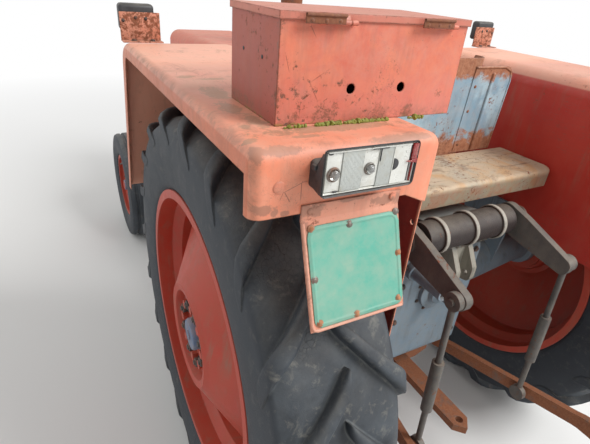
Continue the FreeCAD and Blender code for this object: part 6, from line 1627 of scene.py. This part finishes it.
@dataclass
class Fender:
    """Rear fender with its bolts and the marker lamp on its front end."""

    side: Side

    def build(self) -> None:
        """Dresses the CAD fender and adds what is fixed to it."""
        node = f"fender_{self.side.word}"
        dress_node(node, FENDER)
        self.low, self.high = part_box(node)
        sign = self.side.value
        form = Form()
        form.dome((sign * 0.840, self.low.y, 1.4964), (0, -1, 0), 0.011, 0.0035)
        form.bolt((sign * 0.6106, self.low.y, 1.4492), (0, -1, 0), 0.0075)
        form.finish(node + "_bolts", FENDER_BOLTS, "chassis")
        self.bracket()
        self.marker()

    def bracket(self) -> None:
        """Upright plate with three small bolts, folded from a strip on the fender's top."""
        sign = self.side.value
        form = Form()
        front = self.high_front()
        middle = sign * 0.822
        form.block((0.128, 0.004, 0.088), Matrix.Translation((middle, front - 0.010, self.high.z + 0.044)), 0.0015)
        form.block((0.128, 0.046, 0.004), Matrix.Translation((middle, front - 0.029, self.high.z + 0.0015)), 0.0012)
        form.finish(f"marker_lamp_{self.side.word}_bracket", BRACKET, "chassis")
        bolts = Form()
        for across, level in ((0.875, 0.062), (0.835, 0.071), (0.803, 0.069)):
            bolts.dome((sign * across, front - 0.012, self.high.z + level), (0, -1, 0), 0.0055, 0.0035)
        for across in (0.85, 0.79):
            bolts.bolt((sign * across, front - 0.034, self.high.z + 0.0035), (0, 0, 1), 0.0075)
        bolts.finish(f"marker_lamp_{self.side.word}_bolts", DARK_STEEL, "chassis")

    def high_front(self) -> float:
        """Y of the front edge of the fender's flat top."""
        return -0.315

    def marker(self) -> None:
        """Forward marker lamp: rounded black shell with a clear lens and an amber one."""
        sign = self.side.value
        front = self.high_front()
        size = (0.112, 0.045, 0.082)
        place = Vector((sign * 0.829, front + 0.0155, self.high.z + 0.071))
        shell = Form()
        verts = shell.block(size, Matrix.Translation(place), 0.012, 4)
        front_face = max(
            (face for face in shell.mesh.faces if face.verts[0] in verts), key=lambda f: f.calc_center_median().y
        )
        bmesh.ops.inset_region(shell.mesh, faces=[front_face], thickness=0.003, use_even_offset=True)
        bmesh.ops.translate(shell.mesh, vec=(0, -0.006, 0), verts=list(front_face.verts))
        shell.finish(f"marker_lamp_{self.side.word}_shell", LAMP_BLACK, "chassis")
        for word, start, end, finish in (("clear", -0.5, 0.12, CLEAR_LENS), ("amber", 0.14, 0.5, AMBER_LENS)):
            lens = Form()
            wide = 0.08
            middle = place + Vector((sign * (start + end) / 2 * wide, size[1] / 2 - 0.001, 0))
            lens.block(((end - start) * wide, 0.009, 0.050), Matrix.Translation(middle), 0.003, 3)
            lens.finish(f"marker_lamp_{self.side.word}_{word}_lens", finish, "chassis")


@dataclass
class Toolbox:
    """Toolbox on the left fender, hinge strips that turn with its lid and small holes in its end."""

    def build(self) -> None:
        """Dresses the box and its lid and adds the hinges."""
        dress_node("toolbox", TOOLBOX)
        dress_node("toolbox_lid", LID)
        low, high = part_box("toolbox")
        strips = Form()
        top = high.z - 0.0005
        for start, end in ((-0.764, -0.690), (-0.525, -0.452)):
            middle = ((start + end) / 2, low.y - 0.0012, top - 0.0065)
            strips.block((end - start, 0.0024, 0.013), Matrix.Translation(middle), 0.0006)
            for share in (0.15, 0.5, 0.85):
                strips.dome((start + (end - start) * share, low.y - 0.0024, top - 0.0085), (0, -1, 0), 0.0028, 0.0014)
        strips.finish("toolbox_hinge_strips", RUSTY_BROWN, "toolbox_lid")
        pins = Form()
        for start, end in ((-0.764, -0.690), (-0.525, -0.452)):
            pins.tube([(start, low.y - 0.0028, top), (end, low.y - 0.0028, top)], 0.0026, 10)
        pins.finish("toolbox_hinge_pins", RUSTY_BROWN, "toolbox_lid")
        holes = Form()
        for along, level in ((-1.166, 1.661), (-1.248, 1.659)):
            holes.prism(14, 0.0035, 0.0006, aim((low.x, along, level), (-1, 0, 0)), 0.0001)
        holes.finish("toolbox_small_holes", BLACK, "chassis")
        moss = Form()
        tufts = ((-0.728, -0.674, 16), (-0.668, -0.570, 34), (-0.790, -0.745, 7), (-0.520, -0.480, 6))
        for start, end, count in tufts:
            for index in range(count):
                share = (index + 0.5) / count
                across = start + (end - start) * share
                chance = noise.noise(Vector((across * 410, 3.1, 0.4)))
                size = 0.0034 + 0.0040 * max(chance, -0.45) * math.sin(share * math.pi) ** 0.4
                place = Matrix.Translation((across + 0.002 * chance, low.y - 0.0008 - 0.002 * abs(chance), low.z + size * 0.5))
                lump = bmesh.ops.create_icosphere(moss.mesh, subdivisions=2, radius=size, matrix=place)
                for vert in lump["verts"]:
                    vert.co += (vert.co - place.translation) * noise.noise(vert.co * 420) * 0.7
        moss.finish("toolbox_moss", MOSS, "chassis")


@dataclass
class SeatGuard:
    """Sheet-metal wings that carry the seat's back on to both sides, with their stiffening folds."""

    reach: float = 0.404
    top: float = 1.562
    foot: float = 1.243
    sheet: float = 0.0035

    def build(self) -> None:
        """Makes one wing on each side and its rivets."""
        low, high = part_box("seat")
        rivets = Form()
        plane = low.y - 0.0018

        def lean(form: Form) -> None:
            for vert in form.mesh.verts:
                vert.co.y += (high.z - vert.co.z) * 0.0457

        for side in Side:
            sign = side.value
            start = high.x - 0.060
            width = self.reach - start
            form = Form()
            middle = (sign * (start + width / 2), plane, (self.top + self.foot) / 2)
            form.block((width, self.sheet, self.top - self.foot), Matrix.Translation(middle))
            corners = [
                edge
                for edge in form.mesh.edges
                if abs(edge.verts[0].co.y - edge.verts[1].co.y) > 0.001
                and edge.verts[0].co.x * sign > start + 0.01 and edge.verts[0].co.z > 1.5
            ]
            bmesh.ops.bevel(
                form.mesh, geom=corners, offset=0.045, segments=7, profile=0.5, affect="EDGES", material=-1
            )
            form.tube(
                [(sign * (self.reach - 0.004), plane, self.foot + 0.004),
                 (sign * (self.reach - 0.004), plane, self.top - 0.05),
                 (sign * (self.reach - 0.016), plane, self.top - 0.018),
                 (sign * (self.reach - 0.05), plane, self.top - 0.004),
                 (sign * (start + 0.004), plane, self.top - 0.004)], 0.0045, 10,
            )
            form.block((0.014, 0.012, self.top - self.foot - 0.03),
                       Matrix.Translation((sign * 0.300, plane - 0.003, (self.top + self.foot) / 2 - 0.008)), 0.004, 3)
            form.block((width + 0.02, 0.032, 0.004),
                       Matrix.Translation((sign * (start + width / 2 - 0.008), plane + 0.014, self.foot + 0.0005)), 0.001)
            lean(form)
            form.finish(f"seat_guard_{side.word}", SEAT, "chassis")
            for level in (self.foot + 0.03, (self.foot + self.top) / 2, self.top - 0.07):
                rivets.dome((sign * (start + 0.02), plane - 0.0016, level), (0, -1, 0), 0.006, 0.003)
        lean(rivets)
        rivets.finish("seat_guard_rivets", RUSTY, "chassis")


# Wheels' hubs


@dataclass
class Hub:
    """Nuts, hub cap and valve stem of one wheel."""

    side: Side
    wheel: str
    count: int
    circle: float
    across: float
    height: float
    face: float
    cap: Sequence[tuple[float, float]]
    cap_finish: Finish
    stem: float

    def build(self) -> None:
        """Makes the fittings over the CAD wheel's own."""
        node = f"{self.wheel}_rim_{self.side.word}"
        body = f"{self.wheel}_wheel_{self.side.word}"
        low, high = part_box(node)
        middle = (low + high) / 2
        # The rim's box isn't centred on the wheel, whose middle plane is half its track.
        middle.x = self.side.value * (0.7 if self.wheel == "rear" else 0.68)
        out = (self.side.value, 0, 0)
        nuts = Form()
        for index in range(self.count):
            angle = math.tau * (index + 0.5) / self.count
            spoke = Vector((0, math.cos(angle), math.sin(angle))) * self.circle
            matrix = aim(middle + spoke + Vector(out) * self.face, out)
            nuts.prism(20, self.across * 1.22, 0.003, matrix, 0.0006)
            nuts.prism(6, self.across, self.height, matrix, self.across * 0.12)
            nuts.prism(14, self.across * 0.52, self.height + 0.005, matrix, 0.0015)
        nuts.finish(node + "_nuts", DARK_STEEL, body)
        cap = Form()
        cap.turned(self.cap, aim(middle, out), 48)
        cap.finish(node + "_hub_cap", self.cap_finish, body)
        stem = Form()
        path = [middle + Vector((self.side.value * along, 0, radius)) for along, radius in self.stem_path()]
        stem.tube([tuple(point) for point in path], 0.0042, 12)
        stem.tube([tuple(path[-1]), tuple(path[-1] + (path[-1] - path[-2]).normalized() * 0.012)], 0.0056, 12)
        stem.finish(node + "_valve", STEEL, body)

    def stem_path(self) -> list[tuple[float, float]]:
        """The valve stem's middle line as (distance out, radius)."""
        reach = 0.085 if self.wheel == "rear" else 0.046
        return [(reach, self.stem + 0.004), (reach + 0.006, self.stem - 0.014), (reach + 0.026, self.stem - 0.030)]


REAR_CAP = (
    (0.0, 0.1275), (0.0545, 0.1275), (0.0545, 0.1300), (0.0535, 0.1310), (0.0535, 0.1455), (0.0500, 0.1515),
    (0.0300, 0.1535), (0.0165, 0.1530), (0.0155, 0.1570), (0.0, 0.1572),
)
FRONT_CAP = (
    (0.0, 0.0400), (0.0378, 0.0400), (0.0378, 0.0430), (0.0368, 0.0440), (0.0366, 0.0640), (0.0330, 0.0690),
    (0.0180, 0.0716), (0.0, 0.0719),
)


# Front end


@dataclass
class Headlamp:
    """Headlamp with its rim, silvered reflector, bulb and domed glass."""

    side: Side

    def build(self) -> None:
        """Makes the four pieces that replace the CAD lamp."""
        low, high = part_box("headlamps")
        radius = 0.078
        middle = Vector((self.side.value * (high.x - radius - 0.006), high.y - 0.007, (low.z + high.z) / 2))
        place = aim(middle, (0, 1, 0))
        rim = Form()
        section = [(0.084, -0.0145), (0.084, -0.004), (0.0825, -0.0005), (0.079, 0.0015), (0.075, 0.0005), (0.0735, -0.003)]
        rim.turned(section + [(0.0735, -0.0145)], place, 56, closed=True)
        shell = [(0.074, -0.014), (0.0735, -0.024), (0.064, -0.045), (0.046, -0.066), (0.0, -0.0695)]
        rim.turned([(0.0, -0.0640), (0.042, -0.0610), (0.060, -0.042), (0.0705, -0.0145)] + shell, place, 56)
        word = f"headlamp_{self.side.word}"
        rim.finish(word + "_rim", CHROME, "chassis", ["headlamps"])
        bowl = Form()
        curve = [(0.0695, -0.0065), (0.062, -0.022), (0.050, -0.036), (0.034, -0.047), (0.016, -0.0525), (0.0, -0.0530)]
        back = [(radius, height - 0.0015) for radius, height in reversed(curve)]
        bowl.turned(back + curve, place, 56)
        bowl.finish(word + "_reflector", SILVER, "chassis")
        bulb = Form()
        steps = [math.pi * step / 14 for step in range(15)]
        bulb.turned([(0.008 * math.sin(angle), -0.036 - 0.012 * math.cos(angle)) for angle in steps], place, 24)
        bulb.finish(word + "_bulb", GLASS, "chassis")
        glass = Form()
        front = [(0.0, 0.0066), (0.022, 0.0058), (0.044, 0.0032), (0.062, -0.0004), (0.0735, -0.0040)]
        inner = [(radius * 0.985, height - 0.0028) for radius, height in reversed(front)]
        glass.turned(front + inner, place, 56)
        glass.finish(word + "_glass", HEADLAMP_GLASS, "chassis")


@dataclass
class FrontEnd:
    """Radiator core behind the grille, hood bolts, fuel cap and front frame bolts."""

    def build(self) -> None:
        """Makes the core's fins, the caps and the bolts."""
        low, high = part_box("radiator")
        fins = Form()
        count = 46
        for index in range(count):
            level = low.z + 0.05 + (high.z - low.z - 0.14) * index / (count - 1)
            fins.block((high.x - low.x - 0.07, high.y - low.y + 0.006, 0.0022),
                       Matrix.Translation(((low.x + high.x) / 2, (low.y + high.y) / 2, level)))
        fins.finish("radiator_fins", DULL_BLACK, "chassis")
        bolts = Form()
        hood_low, hood_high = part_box("hood")
        for side in Side:
            for share in (0.06, 0.36, 0.66, 0.95):
                along = hood_low.y + (hood_high.y - hood_low.y) * share
                level = hood_high.z - 0.05 * share - 0.222
                bolts.dome((side.value * hood_high.x, along, level), (side.value, 0, 0), 0.009, 0.004)
            for along in (0.92, 1.02, 1.28, 1.42):
                bolts.bolt((side.value * 0.1400, along, 0.640), (side.value, 0, 0), 0.011)
        bolts.finish("hood_and_frame_bolts", DARK_STEEL, "chassis")
        cap = Form()
        level = hood_high.z - 0.05 * (0.19 / 1.62)
        section = [(0.0, -0.004), (0.034, -0.004), (0.034, 0.006), (0.031, 0.009), (0.031, 0.016), (0.027, 0.020)]
        cap.turned(section + [(0.0, 0.0215)], aim((0.0, 0.13, level)), 40)
        cap.block((0.052, 0.009, 0.009), Matrix.Translation((0.0, 0.13, level + 0.0225)), 0.003, 3)
        cap.finish("fuel_cap", DARK_STEEL, "chassis")


# Engine, exhaust and controls


@dataclass
class Exhaust:
    """Manifold, upright pipe with an open mouth, silencer and clamps."""

    def build(self) -> None:
        """Makes the exhaust that replaces the CAD solid."""
        low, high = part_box("exhaust")
        place = aim((0.194, 0.545, 0.0))
        level = 1.065
        form = Form()
        verts = form.block((0.062, high.y - low.y - 0.012, 0.052), Matrix.Translation((0.191, 0.545, level)), 0.014, 4)
        for along in (-0.18, -0.06, 0.06, 0.18):
            form.block((0.026, 0.05, 0.05), Matrix.Translation((0.154, 0.545 + along, level)), 0.008, 3)
            form.block((0.007, 0.064, 0.058), Matrix.Translation((0.1462, 0.545 + along, level)), 0.003, 2)
        pipe = [
            (0.0, level), (0.027, level), (0.027, 1.488), (0.041, 1.500), (0.0595, 1.516), (0.062, 1.524),
            (0.062, 1.806), (0.0595, 1.814), (0.041, 1.828), (0.027, 1.840), (0.027, high.z - 0.0012),
            (0.026, high.z - 0.0004), (0.0245, high.z - 0.0004), (0.0235, high.z - 0.0012), (0.0235, high.z - 0.15),
            (0.0, high.z - 0.15),
        ]
        form.turned(pipe, place, 48)
        for height, radius in ((1.130, 0.034), (1.500, 0.0315), (1.838, 0.0315)):
            ring = [(0.026, height - 0.008), (radius, height - 0.007), (radius, height + 0.007), (0.026, height + 0.008)]
            form.turned(ring, place, 40, closed=True)
        for height in (1.522, 1.808):
            bead = [(0.061, height - 0.003), (0.0636, height - 0.0015), (0.0636, height + 0.0015), (0.061, height + 0.003)]
            form.turned(bead, place, 48, closed=True)
        form.finish("exhaust_pipe", SOOT, "chassis", ["exhaust"])


@dataclass
class Engine:
    """Bolts, injection pipes and injectors on the CAD engine."""

    pump_x: float = 0.2035
    head_x: float = 0.112

    def build(self) -> None:
        """Makes the rows of bolts and the four pipes."""
        bolts = Form()
        for side in Side:
            for index in range(9):
                along = 0.19 + 0.59 * index / 8
                bolts.bolt((side.value * 0.158, along, 0.552), (0, 0, -1), 0.0065)
            for index in range(6):
                bolts.bolt((side.value * 0.126, 0.19 + 0.59 * index / 5, 1.120), (0, 0, 1), 0.009)
            for level in (0.59, 0.72, 0.85):
                bolts.bolt((side.value * 0.105, 0.8365, level), (0, 1, 0), 0.008)
        for along in (0.26, 0.50, 0.74):
            bolts.bolt((0.0, along, 1.200), (0, 0, 1), 0.010)
        bolts.finish("engine_bolts", DARK_STEEL, "chassis")
        cover = Form()
        cover.block((0.231, 0.017, 0.248), Matrix.Translation((0, 0.828, 0.822)))
        corners = [edge for edge in cover.mesh.edges if abs(edge.verts[0].co.y - edge.verts[1].co.y) > 0.01]
        bmesh.ops.bevel(
            cover.mesh, geom=corners, offset=0.045, segments=5, profile=0.5, affect="EDGES", material=-1
        )
        cover.soften(list(cover.mesh.verts), 0.003, 2)
        cover.finish("timing_cover", CASTING, "chassis")
        pipes = Form()
        injectors = Form()
        for index, behind in enumerate((0.395, 0.455, 0.575, 0.635)):
            start = 0.380 + 0.048 * index
            path = [
                (self.pump_x, start, 0.918), (self.pump_x, start, 0.950), (self.pump_x - 0.006, start, 0.968),
                (0.190, behind, 1.005), (0.163, behind, 1.024), (0.151, behind, 1.045), (0.151, behind, 1.130),
                (0.145, behind, 1.150), (self.head_x + 0.008, behind, 1.158),
            ]
            pipes.tube(path, 0.0032, 10)
            injectors.turned(
                [(0.0, 0.0), (0.011, 0.0), (0.011, 0.018), (0.007, 0.020), (0.007, 0.044), (0.0, 0.046)],
                aim((self.head_x, behind, 1.120)), 20,
            )
        pipes.finish("injection_pipes", STEEL, "chassis")
        injectors.finish("injectors", STEEL, "chassis")


@dataclass
class SteeringWheel:
    """Round-gripped steering wheel on three rods, with its cap."""

    def build(self) -> None:
        """Makes the wheel that replaces the CAD one."""
        tilt = math.radians(32)
        place = Matrix.Translation((0, -0.230, 1.500)) @ Matrix.Rotation(tilt, 4, "X")
        grip = Form()
        circle = [
            (0.205 + 0.0124 * math.cos(math.tau * step / 14), 0.0124 * math.sin(math.tau * step / 14))
            for step in range(14)
        ]
        grip.turned(circle, place, 84, closed=True)
        cap = [(0.0, 0.0058), (0.012, 0.0056), (0.026, 0.003), (0.0305, -0.003), (0.036, -0.018), (0.030, -0.031)]
        grip.turned(cap + [(0.010, -0.0315), (0.010, -0.010), (0.0, -0.010)], place, 36)
        grip.finish("steering_wheel_grip", BLACK, "steering_wheel", ["steering_wheel"])
        rods = Form()
        for index in range(3):
            turn = place @ Matrix.Rotation(math.tau * index / 3, 4, "Z")
            path = [turn @ Vector(point) for point in ((0.022, 0, -0.012), (0.12, 0, -0.012), (0.17, 0, -0.009), (0.203, 0, -0.002))]
            rods.tube([tuple(point) for point in path], 0.0075, 12)
        rods.finish("steering_wheel_rods", DARK_STEEL, "steering_wheel")


@dataclass
class Cockpit:
    """Gauges on the dashboard, lever knobs and pedal pads."""

    def build(self) -> None:
        """Makes the gauges, the knobs and the pads."""
        rear = Vector((0, -0.933, 0.361))
        rings = Form()
        faces = Form()
        glass = Form()
        for across, down, radius in ((-0.115, 0.075, 0.040), (0.115, 0.075, 0.040), (-0.165, 0.125, 0.017), (0.165, 0.125, 0.017)):
            spot = Vector((across, -0.1205 - 0.3611 * down, 1.410 - 0.9325 * down))
            place = aim(spot, rear)
            ring = [(radius, -0.003), (radius, 0.0045), (radius * 0.96, 0.0065), (radius * 0.88, 0.0055), (radius * 0.88, -0.003)]
            rings.turned(ring, place, 40, closed=True)
            faces.prism(36, radius * 0.9, 0.0015, place)
            glass.turned([(0.0, 0.0042), (radius * 0.89, 0.0042), (radius * 0.89, 0.0034), (0.0, 0.0034)], place, 36)
            if radius > 0.03:
                for index in range(9):
                    turn = place @ Matrix.Rotation(math.radians(-120 + 30 * index), 4, "Z")
                    rings.block((0.0016, radius * 0.16, 0.0008), turn @ Matrix.Translation((0, radius * 0.74, 0.0019)))
                needle = place @ Matrix.Rotation(math.radians(50), 4, "Z")
                rings.block((0.0018, radius * 0.66, 0.0008), needle @ Matrix.Translation((0, radius * 0.28, 0.0026)))
        rings.finish("gauge_rings", CHROME, "chassis")
        faces.finish("gauge_faces", DIAL, "chassis")
        glass.finish("gauge_glasses", GLASS, "chassis")
        knobs = Form()
        for across, along, top in ((0.050, -0.290, 1.2505), (-0.060, -0.330, 1.1805)):
            steps = [math.pi * step / 12 for step in range(13)]
            section = [(0.0268 * math.sin(angle), 0.0203 - 0.0206 * math.cos(angle)) for angle in steps]
            knobs.turned(section, aim((across, along, top - 0.0005)), 32)
        slope = Vector((0, -0.69, 0.724))
        for across in (-0.330, 0.290, 0.370):
            spot = Vector((across, -0.0078, 0.8324))
            frame_turn = Matrix((Vector((1, 0, 0)), slope.cross(Vector((1, 0, 0))), slope)).transposed().to_4x4()
            place = Matrix.Translation(spot) @ frame_turn
            knobs.block((0.072, 0.062, 0.006), place, 0.0018)
            for index in range(6):
                along = -0.025 + 0.01 * index
                knobs.block((0.062, 0.0035, 0.003), place @ Matrix.Translation((0, along, 0.0038)), 0.0008)
        knobs.finish("knobs_and_pedal_pads", BLACK, "chassis")


@dataclass
class RearCasing:
    """Caps, and bolts with their washers, on the gearbox's rear end and the lift."""

    def build(self) -> None:
        """Makes the bolts on the castings and the caps on the lift's shaft."""
        bolts = Form()
        face = -1.0900
        for across in (-0.165, -0.055, 0.055, 0.165):
            bolts.bolt((across, face, 0.962), (0, -1, 0), 0.010)
        for across in (-0.165, 0.165):
            for level in (0.88, 0.72, 0.58):
                bolts.bolt((across, face, level), (0, -1, 0), 0.010)
        for index in range(8):
            angle = math.tau * (index + 0.5) / 8
            bolts.bolt((0.083 * math.cos(angle), face - 0.0005, 0.825 + 0.083 * math.sin(angle)), (0, -1, 0), 0.006)
        for side in Side:
            for index in range(8):
                angle = math.tau * (index + 0.5) / 8
                centre = (side.value * 0.2890, -0.875 + 0.142 * math.cos(angle), 0.7325 + 0.142 * math.sin(angle))
                bolts.bolt(centre, (side.value, 0, 0), 0.010)
        bolts.finish("rear_casing_bolts", DARK_STEEL, "chassis")
        low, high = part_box("lift_arms")
        caps = Form()
        for side in Side:
            out = (side.value, 0, 0)
            place = aim((side.value * (high.x - 0.0005), -1.137, 1.108), out)
            caps.turned([(0.0, 0.0), (0.034, 0.0), (0.034, 0.004), (0.030, 0.007), (0.012, 0.008), (0.0, 0.008)], place, 32)
            for index in range(3):
                angle = math.tau * index / 3 + 0.4
                spot = place @ Vector((0.022 * math.cos(angle), 0.022 * math.sin(angle), 0.0065))
                caps.bolt(spot, out, 0.0048)
        caps.finish("lift_shaft_caps", STEEL, "lift_arms")


# Finishes of the CAD nodes


NODE_FINISHES: dict[str, Finish] = {
    "controls": DARK_STEEL,
    "dashboard": HOOD,
    "deck": DECK,
    "drag_link": STEEL,
    "drawbar": RUSTY,
    "engine_block": CASTING,
    "engine_fittings": FITTINGS,
    "fan": HUB_BLUE,
    "footplates": DECK,
    "front_axle": CASTING,
    "front_rim_left": WHEEL,
    "front_rim_right": WHEEL,
    "front_support": CASTING,
    "gearbox": CASTING,
    "grille": HOOD,
    "hood": HOOD,
    "knuckle_left": CASTING,
    "knuckle_right": CASTING,
    "lift_arms": GREASY,
    "lift_cover": LIFT,
    "lift_rod_left": GREASY,
    "lift_rod_right": GREASY,
    "lower_link_left": RUSTY,
    "lower_link_right": RUSTY,
    "number_plate": CARRIER,
    "pitman_arm": STEEL,
    "radiator": DULL_BLACK,
    "rear_axle": CASTING,
    "rear_rim_left": WHEEL,
    "rear_rim_right": WHEEL,
    "seat": SEAT,
    "steering_column": DARK_STEEL,
    "tie_rod": STEEL,
}


# Studio


def background_rays(graph: Graph) -> bpy.types.NodeSocket:
    """Mask of the rays that show the background: seen, mirrored or through glass."""
    path = graph.add("LightPath")
    seen = graph.sum("MAXIMUM", path.outputs["Is Camera Ray"], path.outputs["Is Transmission Ray"])
    return graph.sum("MAXIMUM", seen, path.outputs["Is Glossy Ray"])


@dataclass(frozen=True)
class PhotoView:
    """Camera at the photograph's place: behind the left rear fender, looking down and forward."""

    place: Point = (-1.126, -1.959, 1.776)
    yaw: float = math.radians(30.468)
    pitch: float = math.radians(28.739)
    roll: float = math.radians(5.087)
    lens: float = 26.83

    def build(self) -> None:
        """Makes the camera and hands it to the scene."""
        flat = math.cos(self.pitch)
        ahead = Vector((math.sin(self.yaw) * flat, math.cos(self.yaw) * flat, -math.sin(self.pitch)))
        level = Vector((math.cos(self.yaw), -math.sin(self.yaw), 0))
        above = level.cross(ahead)
        right = level * math.cos(self.roll) + above * math.sin(self.roll)
        data = bpy.data.cameras.new("photo view")
        data.sensor_fit = "HORIZONTAL"
        data.sensor_width = 36.0
        data.lens = self.lens
        data.clip_start = 0.02
        data.clip_end = 200.0
        camera = bpy.data.objects.new("photo view", data)
        turn = Matrix((right, right.cross(ahead), -ahead)).transposed().to_4x4()
        camera.matrix_world = Matrix.Translation(self.place) @ turn
        bpy.context.scene.collection.objects.link(camera)
        bpy.context.scene.camera = camera


@dataclass(frozen=True)
class Studio:
    """Pale floor, soft key and fill, and an even white surround."""

    reach: float = 60.0
    fade_start: float = 2.2
    fade_end: float = 7.0
    ambient: float = 0.62
    key_watts: float = 620.0
    fill_watts: float = 120.0

    def build(self) -> None:
        """Makes the floor, the lamps and the world."""
        self.floor()
        self.lamp("key", (3.6, -5.2, 6.4), 3.4, self.key_watts)
        self.lamp("fill", (-6.0, 3.5, 4.5), 5.0, self.fill_watts)
        self.surround()
        bpy.context.scene.view_settings.view_transform = "Standard"

    def floor(self) -> None:
        """Plain pale floor under the wheels."""
        mesh = bmesh.new()
        bmesh.ops.create_grid(mesh, x_segments=1, y_segments=1, size=self.reach)
        data = bpy.data.meshes.new("floor")
        mesh.to_mesh(data)
        mesh.free()
        material = bpy.data.materials.new("pale floor")
        material.use_nodes = True
        graph = Graph(material.node_tree)
        shader = graph.add("BsdfPrincipled", {"Base Color": screen(226, 226, 224), "Roughness": 0.9})
        white = graph.add("Emission", {"Color": (1.0, 1.0, 1.0, 1.0), "Strength": 1.0})
        away = graph.add("VectorMath", {0: graph.spot()}, operation="LENGTH").outputs["Value"]
        fading = graph.sum("MULTIPLY", graph.span(away, self.fade_start, self.fade_end), background_rays(graph))
        mixed = graph.add("MixShader", {0: fading, 1: shader.outputs[0], 2: white.outputs[0]})
        output = graph.add("OutputMaterial", {"Surface": mixed.outputs[0]})
        data.materials.append(material)
        piece = bpy.data.objects.new("floor", data)
        bpy.context.scene.collection.objects.link(piece)

    def lamp(self, name: str, place: Point, size: float, watts: float) -> None:
        """Adds a square area lamp that looks at the tractor.

        Args:
            name: name of the lamp.
            place: where it hangs.
            size: side of its square.
            watts: its power.
        """
        data = bpy.data.lights.new(name, "AREA")
        data.size = size
        data.energy = watts
        lamp = bpy.data.objects.new(name, data)
        away = Vector(place) - Vector((0.0, -0.5, 1.0))
        lamp.matrix_world = aim(place, away)
        bpy.context.scene.collection.objects.link(lamp)

    def surround(self) -> None:
        """Even world, white to the camera and in reflections."""
        world = bpy.data.worlds.new("surround")
        world.use_nodes = True
        bpy.context.scene.world = world
        graph = Graph(world.node_tree)
        strength = graph.span(background_rays(graph), 0.0, 1.0, self.ambient, 1.0)
        shade = graph.add("Background", {"Color": (1.0, 1.0, 1.0, 1.0), "Strength": strength})
        output = graph.add("OutputWorld")
        world.node_tree.links.new(shade.outputs[0], output.inputs["Surface"])


def main() -> None:
    """Builds the whole dressed tractor, piece by piece."""
    logging.basicConfig(level=logging.INFO, format="%(name)s: %(message)s")
    PhotoView().build()
    Studio().build()
    for node, finish in NODE_FINISHES.items():
        dress_node(node, finish)
    low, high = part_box("tail_lamps")
    width = 0.181
    for side in Side:
        RearTyre(side).build()
        FrontTyre(side).build()
        Fender(side).build()
        Hub(side, "rear", 8, 0.1, 0.0168, 0.0206, 0.126, REAR_CAP, HUB_BLUE, 0.448).build()
        Hub(side, "front", 6, 0.076, 0.0127, 0.0158, 0.034, FRONT_CAP, HUB_BLUE, 0.197).build()
        Headlamp(side).build()
    Toolbox().build()
    TailLamp(Side.LEFT, LampState.BROKEN, low.copy(), Vector((low.x + width, high.y, high.z))).build()
    TailLamp(Side.RIGHT, LampState.WHOLE, Vector((high.x - width, low.y, low.z)), high.copy()).build()
    for part in (SeatGuard, FrontEnd, Exhaust, Engine, SteeringWheel, Cockpit, RearCasing):
        part().build()
    NumberPlate().build()


if __name__ == "__main__":
    main()
